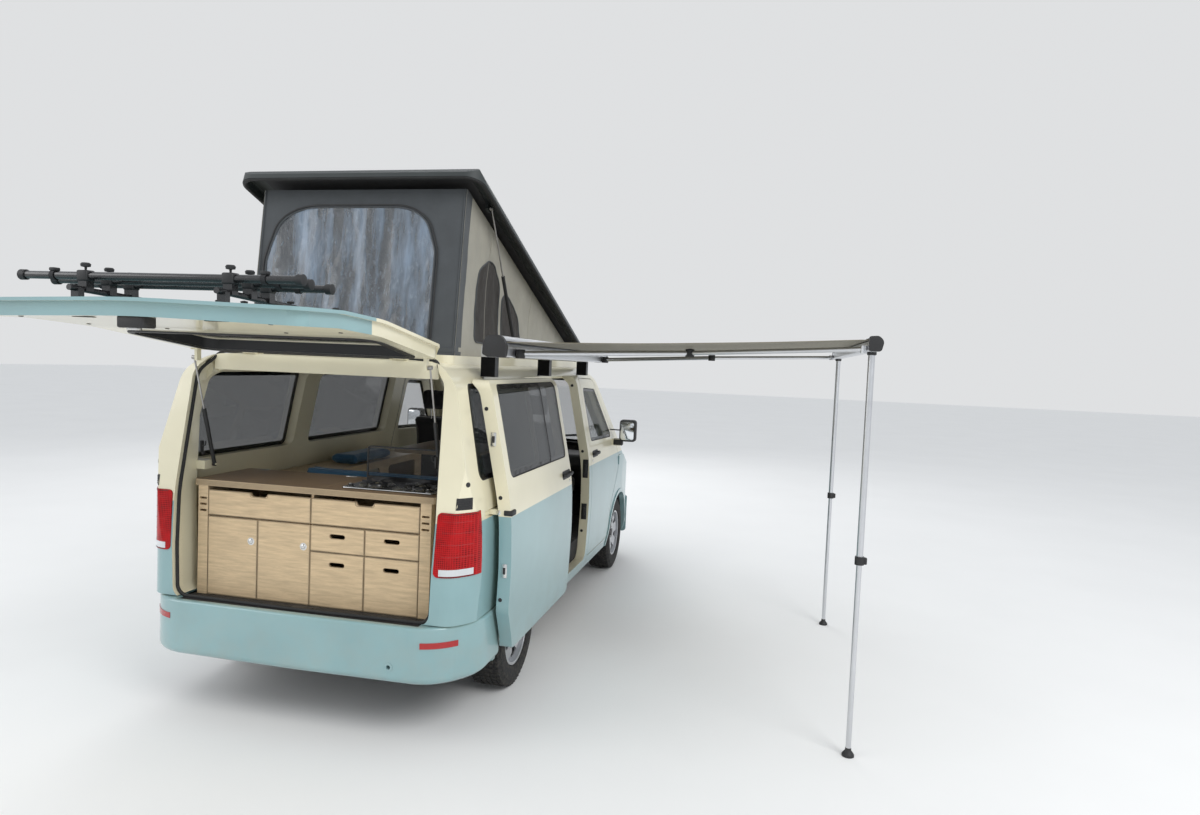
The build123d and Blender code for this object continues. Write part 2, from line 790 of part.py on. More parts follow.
def sliding_door():
    """Door in its open place, with the arms that run in the side's rails."""
    door = HULL_WALL & along_x(slider_outline(0), (ROOF_SPLIT_X, 1100))
    door -= arch_cut(REAR_Y, 400)
    door -= along_x(slider_window(), (500, 1100))
    door = door.moved(slider_move())
    rear = SLIDER_REAR_Y - SLIDER_TRAVEL
    low, high = SLIDER_RAIL_Z
    centre_arm = block((HALF_WIDTH - 60, HALF_WIDTH + 60), (rear + 10, rear + 70), (low + GAP, high - GAP))
    return door + (centre_arm - hull(SLIDER_RAIL_SINK))


# Moving body parts
def tailgate_shut():
    """Tailgate panel in its shut place: outer skin, narrower inner panel, strut ears."""
    depth = (-2600, TAILGATE_HINGE[0] - 2)
    skin = (HULL - hull(TAILGATE_SKIN)) & along_y(tailgate_outline(0), depth)
    panel = skin + (HULL_WALL & along_y(tailgate_outline(-TAILGATE_REBATE), depth))
    panel &= block((-900, 900), (-2600, TAILGATE_HINGE[0] - 2), (0, TAILGATE_HINGE[1]))
    panel -= along_y(tailgate_window(), (-2600, -2200))
    y, z = TAILGATE_STRUT_LID
    x = TAILGATE_STRUT_BASE[0]
    outside = block((-1200, 1200), (-2700, -2200), (0, 2200)) - hull(20)
    ear = block((x - 30, x - 14), (y - 108, y + 16), (z - 16, z + 16))
    pin = rod((x - 22, y, z), (x - STRUT_EYE_R - FIT, y, z), STRUT_PIN_R)
    for side in (-1, 1):
        arm = (ear + pin) - outside
        panel += arm if side > 0 else flip(arm)
    y, z = TAILGATE_HINGE
    for side in (-1, 1):
        x = side * HINGE_X["tailgate"]
        panel += hinge_leaf(x, TAILGATE_HINGE, 9, (-22, 22), (y - 40, z - 60))
        panel -= pin_hole(x, TAILGATE_HINGE, 9, 30)
    return panel


def open_tailgate(shape):
    return turned(shape, TAILGATE_HINGE, -TAILGATE_OPEN)


def tailgate_glass():
    return GLAZING & along_y(tailgate_window(), (-2600, -2200))


def tail_face_y(z):
    """Outer face of the shut tailgate on the centreline, at height z."""
    rows = [(v, u) for u, v, r in TAIL_PROFILE[1:4]]
    for (z0, y0), (z1, y1) in zip(rows, rows[1:]):
        if z <= z1:
            return y0 + (y1 - y0) * (z - z0) / (z1 - z0)
    return rows[-1][1]


def cycle_rack():
    """Tube rack folded flat on the tailgate: two uprights, cross rails and end caps."""
    solids = []
    frame_solid = None
    for x in RACK_X:
        points = [(x, tail_face_y(z) - 40, z) for z in (720, 1240, 1660)]
        points.append((x, tail_face_y(1860) - 22, 1880))
        upright = pipe(points, 12, 90)
        frame_solid = upright if frame_solid is None else frame_solid + upright
        for z in (760, 1600):
            y = tail_face_y(z)
            foot = block((x - 18, x + 18), (y - 40, y + 1), (z - 14, z + 14))
            frame_solid += foot - HULL
    for z, out, half, radius in RACK_RAILS:
        y = tail_face_y(z) - out
        rail = rod((-half, y, z), (half, y, z), radius)
        rail += rod((-half - 3, y, z), (-half + 25, y, z), radius + 4)
        rail += rod((half - 25, y, z), (half + 3, y, z), radius + 4)
        frame_solid += rail
        for x in RACK_X:
            frame_solid += block((x - 20, x + 20), (y - 8, tail_face_y(z) - 34), (z - 18, z + 18))
    return frame_solid


def strut_ends(base, lid, hinge, open_angle, sense):
    """Foot and open and shut head positions (y, z) of a lid's strut."""
    turn = radians(open_angle) * sense
    dy = lid[0] - hinge[0]
    dz = lid[1] - hinge[1]
    head = (hinge[0] + dy * cos(turn) - dz * sin(turn), hinge[1] + dy * sin(turn) + dz * cos(turn))
    return (base[1], base[2]), head, lid


def strut_reach(ends):
    """(length, angle) of a strut with its lid open, then shut."""
    foot, head, lid = ends
    result = []
    for y, z in (head, lid):
        result.append((hypot(y - foot[0], z - foot[1]), atan2(z - foot[1], y - foot[0])))
    return result


def strut_tubes(base, ends, length):
    x = base[0]
    (reach, angle), shut = strut_reach(ends)
    foot = (x, ends[0][0], ends[0][1])
    top = (x, foot[1] + length * cos(angle), foot[2] + length * sin(angle))
    near = (x, foot[1] + 8 * cos(angle), foot[2] + 8 * sin(angle))
    tube = rod(near, top, STRUT_TUBE_R)
    eye = rod((x - 8, foot[1], foot[2]), (x + 8, foot[1], foot[2]), STRUT_EYE_R)
    hole = rod((x - 20, foot[1], foot[2]), (x + 20, foot[1], foot[2]), STRUT_PIN_R + 0.5)
    bore = rod(near, top, STRUT_ROD_R + 1)
    bore &= rod((x, foot[1] + 40 * cos(angle), foot[2] + 40 * sin(angle)),
                (x, foot[1] + (length + 5) * cos(angle), foot[2] + (length + 5) * sin(angle)), 40)
    return pair(tube - bore + eye - hole)


def strut_rods(base, ends, length):
    x = base[0]
    (reach, angle), shut = strut_reach(ends)
    foot = (x, ends[0][0], ends[0][1])
    head = (x, ends[1][0], ends[1][1])
    start = (x, foot[1] + (length - 24) * cos(angle), foot[2] + (length - 24) * sin(angle))
    near = (x, head[1] - 6 * cos(angle), head[2] - 6 * sin(angle))
    bar = rod(start, near, STRUT_ROD_R)
    half = STRUT_EYE_R
    eye = rod((x - half, head[1], head[2]), (x + half, head[1], head[2]), STRUT_EYE_R)
    hole = rod((x - 20, head[1], head[2]), (x + 20, head[1], head[2]), STRUT_PIN_R - 2)
    return pair(bar + eye - hole)


TAILGATE_ENDS = strut_ends(TAILGATE_STRUT_BASE, TAILGATE_STRUT_LID, TAILGATE_HINGE, TAILGATE_OPEN, -1)
POPTOP_ENDS = strut_ends(POPTOP_STRUT_BASE, POPTOP_STRUT_LID, POPTOP_HINGE, POPTOP_OPEN, -1)


def poptop_shell():
    """Moulded roof shell, hollow underneath, turned up about its front hinge."""
    base = POPTOP_HINGE[1] - 4
    side = face_of([
        (SHELL_REAR_Y, base, 0),
        (SHELL_FRONT_Y, base, 0),
        (SHELL_FRONT_Y - 10, base + 16, 8),
        (SHELL_FRONT_Y - 330, base + SHELL_RISE - 16, 500),
        (-600, base + SHELL_RISE, 6000),
        (SHELL_REAR_Y + 70, base + SHELL_RISE - 14, 60),
        (SHELL_REAR_Y - 4, base + 22, 12),
    ])
    front = face_of(mirrored_rows([
        (SHELL_HALF, base, 0),
        (SHELL_HALF - 2, base + 20, 10),
        (SHELL_HALF - 40, base + 86, 60),
        (0, base + SHELL_RISE + 4, 3000),
    ]))
    plan = face_of(mirrored_rows([
        (SHELL_HALF, SHELL_REAR_Y, 110),
        (SHELL_HALF, 500, 900),
        (SHELL_HALF - 60, SHELL_FRONT_Y, 160),
    ]))
    depth = SHELL_T
    solid = along_x(side, (-900, 900)) & along_y(front, (-2300, 1300)) & along_z(plan, (1900, 2300))
    low = Pos(0, -100) * Rectangle(6000, 200 + 2 * base)
    inner_side = offset(side, amount=-depth, kind=Kind.INTERSECTION)
    inner_side = inner_side + Pos(inner_side.center().X, base - 50) * Rectangle(
        SHELL_FRONT_Y - SHELL_REAR_Y - 2 * depth - 190, 200)
    inner_front = offset(front, amount=-depth, kind=Kind.INTERSECTION)
    inner_front = inner_front + Pos(0, base) * Rectangle(2 * (SHELL_HALF - depth), 80)
    inner_plan = offset(plan, amount=-depth, kind=Kind.INTERSECTION)
    hollow = along_x(inner_side, (-900, 900)) & along_y(inner_front, (-2300, 1300))
    hollow &= along_z(inner_plan, (1900, 2300))
    shell = solid - hollow
    y, z = POPTOP_STRUT_LID
    x = POPTOP_STRUT_BASE[0]
    ear = block((x - 34, x - 18), (y - 22, y + 22), (z - 12, base + 70))
    pin = rod((x - 20, y, z), (x - STRUT_EYE_R - FIT, y, z), STRUT_PIN_R)
    shell += ear + pin
    shell += flip(ear + pin)
    for side in (-1, 1):
        x = side * HINGE_X["poptop"]
        y, z = POPTOP_HINGE
        shell -= block((x - 26, x + 26), (y - 60, y + 60), (z - 20, z + 26))
        shell += hinge_leaf(x, POPTOP_HINGE, 8, (-12, 12), (y, z + 40))
        shell -= pin_hole(x, POPTOP_HINGE, 8, 20)
    return turned(shell, POPTOP_HINGE, -POPTOP_OPEN)


def roof_canvas():
    """Closed outer form of the pop-top's canvas, hollow inside."""
    slope = tan(radians(POPTOP_OPEN))

    def top_z(y):
        return POPTOP_HINGE[1] + (POPTOP_HINGE[0] - y) * slope - 6

    low = COAMING_TOP + 0.3
    rear, front = CANVAS_BASE_Y
    outer = face_of([
        (rear, low, 0),
        (front, low, 0),
        (front, top_z(front), 0),
        (CANVAS_TOP_Y, top_z(CANVAS_TOP_Y), 0),
    ])
    t = CANVAS_T
    inner = face_of([
        (rear + t, low - 5, 0),
        (front - 3 * t, low - 5, 0),
        (front - 3 * t, top_z(front - 3 * t) + 5, 0),
        (CANVAS_TOP_Y + t, top_z(CANVAS_TOP_Y + t) + 5, 0),
    ])
    body = along_x(outer, (-CANVAS_X, CANVAS_X))
    return body - along_x(inner, (-CANVAS_X + t, CANVAS_X - t))


def front_door():
    """Right front door with its window cut and its mirror."""
    door = HULL_WALL & along_x(door_outline(0), (600, 1100))
    door -= along_x(door_window(), (500, 1100))
    arm = block((900, 1012), (1150, 1212), (1236, 1296))
    case = Pos(1066, 1186, 1376) * Box(152, 96, 200)
    case = fillet(case.edges(), 28)
    arm -= hull(20)
    x, y = DOOR_HINGE
    z0, z1 = DOOR_HINGE_Z
    low, high = z0 + 16 + FIT, z1 - 16 - FIT
    leaf = rod((x, y, low), (x, y, high), 5) + block((x - 5, x + 3), (y - GAP - 3, y), (low, high))
    leaf -= rod((x, y, z0), (x, y, z1), 2.5 + FIT)
    return door + arm + case + leaf


def door_pane():
    return GLAZING & along_x(door_window(), (500, 1100))


# Wheels and running gear
def tyre():
    """Tyre about the Y axis of its own frame, later turned to X: rounded shoulders, open bead."""
    half = TYRE_W / 2
    bead = RIM_D / 2 - 5.5 + FIT
    flange = RIM_W / 2 - 8 - FIT
    face = face_of([
        # x across, radius, corner radius
        (-flange, bead, 3),
        (-flange, bead + 13, 3),
        (-half + 6, bead + 18, 8),
        (-half, (bead + WHEEL_Z) / 2 + 4, 60),
        (-half + 16, WHEEL_Z - 14, 22),
        (-half + 40, WHEEL_Z, 30),
        (half - 40, WHEEL_Z, 30),
        (half - 16, WHEEL_Z - 14, 22),
        (half, (bead + WHEEL_Z) / 2 + 4, 60),
        (half - 6, bead + 18, 8),
        (flange, bead + 13, 3),
        (flange, bead, 3),
        (flange - 14, bead, 3),
        (flange - 18, bead + 18, 10),
        (half - 26, WHEEL_Z - 34, 24),
        (-half + 26, WHEEL_Z - 34, 24),
        (-flange + 18, bead + 18, 10),
        (-flange + 14, bead, 3),
    ])
    return revolve(Plane.XZ * face, Axis.X, 360)


def rim():
    """Pressed wheel with five windows, its hub and brake disc, about the X axis."""
    half = RIM_W / 2
    lip = RIM_D / 2 - 5
    well = BARREL_R
    barrel = face_of([
        (-half, lip + 10, 0),
        (-half, lip - 6, 4),
        (-half + 30, lip - 8, 8),
        (-half + 48, well, 10),
        (half - 60, well, 10),
        (half - 34, lip - 8, 8),
        (half, lip - 6, 4),
        (half, lip + 10, 0),
        (half - 7, lip + 10, 0),
        (half - 8, lip - 0.5, 3),
        (half - 40, lip - 0.5, 6),
        (half - 64, well + 7, 8),
        (-half + 50, well + 7, 8),
        (-half + 30, lip - 0.5, 6),
        (-half + 8, lip - 0.5, 3),
        (-half + 7, lip + 10, 0),
    ])
    wheel = revolve(Plane.XZ * barrel, Axis.X, 360)
    face_x = FACE_OUT
    disc = face_of([
        (face_x - 14, HUB_BORE_R, 0),
        (face_x - 14, HUB_R, 8),
        (face_x + 14, well - 30, 30),
        (half - 44, lip - 3, 0),
        (half - 32, lip - 3, 0),
        (face_x + 26, well - 40, 26),
        (face_x + 8, HUB_R + 14, 10),
        (face_x, HUB_BORE_R + 10, 6),
        (face_x, HUB_BORE_R, 0),
    ])
    wheel += revolve(Plane.XZ * disc, Axis.X, 360)
    window = face_of([
        # across, out, corner radius
        (-12, HUB_R + 22, 8),
        (12, HUB_R + 22, 8),
        (52, well - 30, 16),
        (30, well - 10, 16),
        (-30, well - 10, 16),
        (-52, well - 30, 16),
    ])
    for i in range(SPOKES):
        cutter = extrude(Plane.YZ * window, amount=200, dir=(1, 0, 0))
        wheel -= cutter.rotate(Axis.X, 360 / SPOKES * (i + 0.5))
    cap = Pos(face_x + 2, 0, 0) * Rot(0, 90, 0) * Cylinder(HUB_BORE_R + 2, 16)
    wheel += fillet(cap.edges().sort_by(Axis.X)[-1:], 5)
    hub = rod((-HUB_IN, 0, 0), (face_x - 10, 0, 0), 62)
    rotor = rod((-2, 0, 0), (20, 0, 0), DISC_R)
    return wheel + hub + rotor


WHEELS = [
    # name, side, y
    ("front_left", -1, FRONT_Y),
    ("front_right", 1, FRONT_Y),
    ("rear_left", -1, REAR_Y),
    ("rear_right", 1, REAR_Y),
]


def at_wheel(shape, side, y):
    placed = shape.moved(Location((WHEEL_X, y, WHEEL_Z)))
    return placed if side > 0 else flip(placed)


def knuckle():
    """Right steering knuckle: kingpin post, stub, caliper and steering arm."""
    x = KINGPIN_X
    inner = WHEEL_X - HUB_IN - FIT
    post = rod((x, FRONT_Y, WHEEL_Z - KINGPIN_HALF), (x, FRONT_Y, WHEEL_Z + KINGPIN_HALF), 20)
    stub = rod((x - 34, FRONT_Y, WHEEL_Z), (inner, FRONT_Y, WHEEL_Z), 52)
    arm = block((x - 60, x - 6), (FRONT_Y - 128, FRONT_Y), (WHEEL_Z - 20, WHEEL_Z + 4))
    caliper = block((WHEEL_X - 34, WHEEL_X - 7), (FRONT_Y + 70, FRONT_Y + 140), (WHEEL_Z - 60, WHEEL_Z + 60))
    bridge = block((x - 20, inner - 4), (FRONT_Y + 20, FRONT_Y + 92), (WHEEL_Z - 22, WHEEL_Z + 22))
    return post + stub + arm + caliper + bridge


def front_axle():
    """Subframe with lower arms, and spring struts that reach the wheel housings."""
    frame_solid = block((-420, 420), (FRONT_Y - 160, FRONT_Y - 60), (225, 285))
    x = KINGPIN_X
    low = WHEEL_Z - KINGPIN_HALF - KINGPIN_GAP
    high = WHEEL_Z + KINGPIN_HALF + KINGPIN_GAP
    for side in (-1, 1):
        rear = rod((400, FRONT_Y - 110, 255), (x, FRONT_Y - 2, low - 18), 14)
        front = rod((400, FRONT_Y + 110, 255), (x, FRONT_Y + 2, low - 18), 14)
        cup = rod((x, FRONT_Y, low - 30), (x, FRONT_Y, low), 20)
        cross = block((330, 420), (FRONT_Y - 160, FRONT_Y + 160), (225, 285))
        mast = block((350, 420), (FRONT_Y - 150, FRONT_Y - 90), (280, FLOOR_TOP - FLOOR_T - RAIL_H))
        arms = rear + front + cup + cross + mast
        frame_solid += arms if side > 0 else flip(arms)
    struts = []
    top = WHEEL_Z + sqrt(ARCH_R ** 2 - STRUT_BODY_R ** 2) - FIT
    for side in (-1, 1):
        body = rod((SUSPENSION_X, FRONT_Y, high + 2), (SUSPENSION_X, FRONT_Y, top), STRUT_BODY_R)
        seat = rod((SUSPENSION_X - 8, FRONT_Y, 600), (SUSPENSION_X - 8, FRONT_Y, 612), 40)
        link = rod((SUSPENSION_X, FRONT_Y, high + 15), (x, FRONT_Y, high + 15), 12)
        cup = rod((x, FRONT_Y, high), (x, FRONT_Y, high + 27), 20)
        leg = body + seat + link + cup
        struts.append(leg if side > 0 else flip(leg))
    return group(frame_solid, *struts)


def rear_axle():
    """Cross-member with trailing arms, springs and wheel bearings."""
    beam = rod((-520, REAR_Y + 330, 310), (520, REAR_Y + 330, 310), 42)
    spring_x = RAIL_X + RAIL_W / 2 + REAR_SPRING_R + GAP
    spring_y = REAR_Y + 40
    for side in (-1, 1):
        arm = rod((470, REAR_Y + 330, 310), (640, REAR_Y + 20, WHEEL_Z - 10), 34)
        carrier = rod((590, REAR_Y, WHEEL_Z), (WHEEL_X - HUB_IN - FIT, REAR_Y, WHEEL_Z), 50)
        pan = rod((spring_x, spring_y, 300), (spring_x, spring_y, 322), REAR_SPRING_R + 18)
        link = rod((spring_x, spring_y, 310), (640, REAR_Y, WHEEL_Z - 8), 30)
        spring = rod((spring_x, spring_y, 320), (spring_x, spring_y, FLOOR_TOP - FLOOR_T), REAR_SPRING_R)
        bracket_z = (310, FLOOR_TOP - FLOOR_T - RAIL_H)
        bracket = block((RAIL_X - 30, RAIL_X + 30), (REAR_Y + 300, REAR_Y + 360), bracket_z)
        one = arm + carrier + pan + link + spring + bracket
        beam += one if side > 0 else flip(one)
    return beam


def exhaust():
    """Pipe with two silencers under the floor, ending behind the left rear wheel."""
    z = EXHAUST_Z
    line = pipe([(-180, 1300, z), (-180, 300, z), (-240, -300, z), (-240, -2000, z)], 25, 120)
    line += rod((-180, 600, z), (-180, 1000, z), 84)
    line += rod((-280, -2080, z), (260, -2080, z), 98)
    line += pipe([(-260, -2080, z - 20), (-360, -2130, z - 50), (-540, -2330, z - 60)], 22, 60)
    for x, y, r in ((-180, 800, 84), (0, -2080, 98)):
        line += block((x - 14, x + 14), (y - 14, y + 14), (z + r - 6, FLOOR_TOP - FLOOR_T))
    return line


def engine():
    """Engine and gearbox as one plain block on its two mounts."""
    body = block((-380, 380), (FRONT_Y + 60, 2080), (340, 860))
    mounts = block((-RAIL_X + RAIL_W / 2, RAIL_X - RAIL_W / 2), (1860, 1920), (430, 500))
    return body + mounts


def floor_pan():
    """Floor sheet with sills, rails, cross-members, wheel housings and fuel tank."""
    sheet = block((-FLOOR_HALF, FLOOR_HALF), (TAIL_Y + 76, BULKHEAD_Y), (FLOOR_TOP - FLOOR_T, FLOOR_TOP))
    floor = sheet & hull(WALL)
    under = (FLOOR_TOP - FLOOR_T - RAIL_H, FLOOR_TOP - FLOOR_T)
    for side in (-1, 1):
        x = side * RAIL_X
        rail = block((x - RAIL_W / 2, x + RAIL_W / 2), (TAIL_Y + 80, 2230), under)
        floor += rail
    for y in (-2300, -1060, -300, 500, 1300):
        floor += block((-RAIL_X, RAIL_X), (y - 40, y + 40), (under[0] + 30, under[1]))
    sill = block((790, FLOOR_HALF), (-1080, 1040), (SILL_Z, FLOOR_TOP)) & hull(WALL)
    floor += sill
    floor += flip(sill)
    floor += block((-760, 760), (TAIL_Y + 76, TAIL_Y + 106), (390, FLOOR_TOP))
    floor += block((-RAIL_X - 40, RAIL_X + 40), (2180, 2230), (400, 620))
    for y, inner in ((REAR_Y, LINER_IN_REAR), (FRONT_Y, LINER_IN_FRONT)):
        outer = rod((inner - ARCH_LINER, y, WHEEL_Z), (HALF_WIDTH, y, WHEEL_Z), ARCH_R + ARCH_LINER)
        outer -= block((0, 1100), (y - 600, y + 600), (-200, WHEEL_Z + 60))
        outer &= hull(WALL if y < 0 else PANEL)
        floor += outer
        floor += flip(outer)
    for y, inner in ((REAR_Y, LINER_IN_REAR), (FRONT_Y, LINER_IN_FRONT)):
        for side in (-1, 1):
            room = arch_cut(y, inner) + (below_arch(y) & block((inner, 1100), (-3000, 3000), (-500, 900)))
            floor -= room if side > 0 else flip(room)
    tank = block((-30, RAIL_X - RAIL_W / 2), (-900, -360), (330, under[1]))
    floor += fillet(tank.edges().filter_by(Axis.X), 40)
    for x in (-JACK_X, JACK_X):
        for y in JACK_Y:
            floor += block((x - 30, x + 30), (y - 50, y + 50), (SILL_Z - 22, SILL_Z + 20))
    return floor


# Interior
def kitchen_carcass():
    """Plywood cabinet behind the fronts, with slotted end panels and open drawer bays."""
    back = KITCHEN_Y + KITCHEN_DEPTH
    low = KITCHEN_Y + PLY + FIT
    half = KITCHEN_HALF
    top = WORKTOP_TOP - WORKTOP_T
    ends = block((FRONT_EDGE + FRONT_GAP, half), (KITCHEN_Y, back), (KITCHEN_BOTTOM, top))
    for i in range(3):
        slot = Pos((FRONT_EDGE + half) / 2 + 1, 1090 + i * 34) * SlotOverall(44, 12)
        ends -= along_y(slot, (KITCHEN_Y - 5, KITCHEN_Y + 30))
    body = ends + flip(ends)
    body += block((-half, half), (low, back), (KITCHEN_BOTTOM, KITCHEN_BOTTOM + PLY))
    body += block((-half, half), (back - PLY, back), (KITCHEN_BOTTOM, top))
    body += block((-PLY / 2, PLY / 2), (low, back), (KITCHEN_BOTTOM, top))
    shelf_z = DRAWER_Z[0] - 2 - PLY
    body += block((-half, half), (low, back), (shelf_z, shelf_z + PLY - 4))
    body += block((SPLIT_X - PLY / 2, SPLIT_X + PLY / 2), (low, back), (KITCHEN_BOTTOM, shelf_z))
    body += block((-580, 580), (back - 60, back), (FLOOR_TOP, KITCHEN_BOTTOM))
    return body


FRONTS = [
    # x low, x high, z low, z high, hole kind
    (-FRONT_EDGE, -SPLIT_X - 2, BOX_Z, SMALL_Z[1], "knob"),
    (-SPLIT_X + 2, -2, BOX_Z, SMALL_Z[1], "knob"),
    (2, SPLIT_X - 2, SMALL_Z[0], SMALL_Z[1], "slot"),
    (SPLIT_X + 2, FRONT_EDGE, SMALL_Z[0], SMALL_Z[1], "slot"),
    (2, SPLIT_X - 2, BOX_Z, SMALL_Z[0] - 4, "slot_high"),
    (SPLIT_X + 2, FRONT_EDGE, BOX_Z, SMALL_Z[0] - 4, "slot_high"),
]


def kitchen_fronts():
    """Fixed fronts: two cupboard doors bored for their knobs, four small drawers with slots."""
    panels = []
    for x0, x1, z0, z1, kind in FRONTS:
        panel = block((x0, x1), (KITCHEN_Y, KITCHEN_Y + PLY), (z0, z1))
        middle = (x0 + x1) / 2
        if kind == "knob":
            cut = along_y(Pos(x1 - 38, z1 - 120) * Circle(17), (KITCHEN_Y - 5, KITCHEN_Y + 40))
        else:
            z = (z0 + z1) / 2 + 18 if kind == "slot" else z1 - 62
            cut = along_y(Pos(middle, z) * SlotOverall(92, 26), (KITCHEN_Y - 5, KITCHEN_Y + 40))
        panels.append(panel - cut)
    return group(*panels)


def kitchen_drawer(side):
    """Top drawer: front with a notch at its top edge, and an open box behind it."""
    x0, x1 = (2, FRONT_EDGE) if side > 0 else (-FRONT_EDGE, -2)
    z0, z1 = DRAWER_Z
    front = block((x0, x1), (KITCHEN_Y, KITCHEN_Y + PLY), (z0, z1))
    middle = (x0 + x1) / 2
    notch = along_y(Pos(middle, z1) * SlotOverall(104, 40), (KITCHEN_Y - 5, KITCHEN_Y + 40))
    inset = PLY / 2 + 9
    y0 = KITCHEN_Y + PLY
    y1 = KITCHEN_Y + DRAWER_DEPTH
    box_solid = block((x0 + inset, x1 - inset), (y0, y1), (z0 + 8, z1 - 24))
    room = block((x0 + inset + 12, x1 - inset - 12), (y0 + 1, y1 - 12), (z0 + 18, z1 + 20))
    return front - notch + (box_solid - room)


def worktop():
    """Brown top with its ply edge, cut out for the hob."""
    top = block((-KITCHEN_HALF - 26, KITCHEN_HALF + 26), (KITCHEN_Y - 6, KITCHEN_Y + KITCHEN_DEPTH + 14),
                (WORKTOP_TOP - WORKTOP_T, WORKTOP_TOP))
    top = fillet(top.edges().filter_by(Axis.Z), 24)
    x, y = HOB_AT
    cut = block((x - 262, x + 262), (y - 142, y + 142), (WORKTOP_TOP - 24, WORKTOP_TOP + 5))
    return top - cut


def hob():
    """Two-burner hob with its glass lid standing up behind it."""
    x, y = HOB_AT
    tray = block((x - 260, x + 260), (y - 140, y + 140), (WORKTOP_TOP - 24, WORKTOP_TOP + 6))
    for dx in (-130, 130):
        tray += Pos(x + dx, y, WORKTOP_TOP + 13) * Cylinder(58, 16)
        for angle in range(0, 180, 45):
            bar = Pos(x + dx, y, WORKTOP_TOP + 24) * Rot(0, 0, angle) * Box(180, 6, 8)
            tray += bar
    for dx in (-225, 225):
        tray += Pos(x + dx, y - 110, WORKTOP_TOP + 14) * Cylinder(14, 18)
    lid = block((x - 256, x + 256), (y + 124, y + 130), (WORKTOP_TOP + 4, WORKTOP_TOP + 200))
    return tray + lid


def side_units():
    """Left side cupboards and shelf, and the bench base ahead of the kitchen."""
    y0, y1 = UNIT_Y
    cupboard = block((-846, UNIT_X), (y0, y1), (FLOOR_TOP, UNIT_TOP)) & hull(WALL + 8)
    inside = block((-846, UNIT_X - 14), (y0 + PLY, y1 - PLY), (FLOOR_TOP + 200, UNIT_TOP - PLY))
    cupboard -= inside & hull(WALL + 24)
    for y in (-1400, -800, -200):
        bay = block((UNIT_X - 40, UNIT_X + 10), (y - 230, y + 230), (UNIT_TOP - 210, UNIT_TOP - 50))
        cupboard -= fillet(bay.edges().filter_by(Axis.X), 30)
    inner = -LINER_IN_REAR + ARCH_LINER + 4
    housing = rod((-1100, REAR_Y, WHEEL_Z), (inner, REAR_Y, WHEEL_Z), ARCH_R + ARCH_LINER + 4)
    cupboard -= housing
    bx0, bx1 = BENCH_X
    by0, by1 = BENCH_Y
    base = block((bx0, bx1), (by0, by1), (FLOOR_TOP, BENCH_TOP)) - flip(housing)
    base -= block((bx0 + PLY, bx1 - 160), (by0 + PLY, by1 - PLY), (FLOOR_TOP + 60, BENCH_TOP - PLY))
    base -= block((bx0 + 60, bx1 - 260), (by1 - 40, by1 + 10), (FLOOR_TOP + 60, BENCH_TOP - 60))
    return group(cupboard, base)


def bench_cushions():
    """Seat cushion, back cushion and side cushion of the bench."""
    x0, x1 = BENCH_X
    y0, y1 = BENCH_Y
    seat = block((x0 + 10, x1 - 60), (y0 + 130, y1 + 20), (BENCH_TOP + 0.3, BENCH_TOP + 110))
    back = block((x0 + 10, x1 - 60), (y0 + 6, y0 + 120), (BENCH_TOP + 0.3, BENCH_TOP + 430))
    shelf = block((UNIT_X - 250, UNIT_X - 20), (-900, -300), (UNIT_TOP + 0.3, UNIT_TOP + 70))
    return group(*[fillet(s.edges(), 24) for s in (seat, back, shelf)])


def table():
    """Brown table top on one leg, between the bench and the front seats."""
    top = block((-300, 330), (-820, -60), (1286, 1310))
    top = fillet(top.edges().filter_by(Axis.Z), 60)
    leg = rod((0, -440, FLOOR_TOP + 12), (0, -440, 1287), 28)
    foot = rod((0, -440, FLOOR_TOP), (0, -440, FLOOR_TOP + 14), 150)
    return top + leg + foot


def front_seats():
    """Two seats on their boxes, each with a headrest."""
    seats = []
    for side in (-1, 1):
        x = side * 430
        box_solid = block((x - 200, x + 200), (420, 860), (FLOOR_TOP, 800))
        side_face = face_of([
            (330, 850, 40),
            (420, 800, 30),
            (900, 800, 40),
            (960, 900, 50),
            (900, 950, 50),
            (470, 930, 60),
            (330, 1500, 50),
            (230, 1490, 50),
        ])
        seat = along_x(side_face, (x - 240, x + 240))
        rest = fillet(block((x - 130, x + 130), (196, 286), (1530, 1716)).edges(), 30)
        seat += rest
        for dx in (-60, 60):
            seat += rod((x + dx, 268, 1470), (x + dx, 244, 1560), 7)
        seats.append(box_solid + seat)
    return group(*seats)


def dashboard():
    """Dashboard across the cabin with the steering column and wheel on the left."""
    face = face_of([
        (1180, 820, 60),
        (BULKHEAD_Y - FIT, 700, 0),
        (BULKHEAD_Y - FIT, 1050, 0),
        (1560, 1058, 0),
        (1540, 1130, 40),
        (1190, 1120, 60),
        (1120, 1010, 60),
    ])
    dash = along_x(face, (-850, 850)) & hull(WALL + 10)
    dash -= block((-900, 900), (BULKHEAD_Y - FIT, 1900), (0, 1080))
    dash &= block((-850, 850), (1000, 1520), (600, 1200))
    housing = rod((460, FRONT_Y, WHEEL_Z), (1100, FRONT_Y, WHEEL_Z), ARCH_R + ARCH_LINER + 4)
    dash -= housing
    dash -= flip(housing)
    hub = (-430, 1000, 1150)
    column = rod(hub, (-430, 1260, 960), 34)
    wheel = Plane(hub, z_dir=(0, -0.85, 0.53)) * Torus(185, 15)
    hub_disc = Plane(hub, z_dir=(0, -0.85, 0.53)) * Cylinder(60, 40)
    bar = Plane(hub, z_dir=(0, -0.85, 0.53)) * Box(370, 40, 16)
    console = block((-110, 110), (1060, 1200), (780, 1080))
    return dash + column + wheel + hub_disc + bar + console


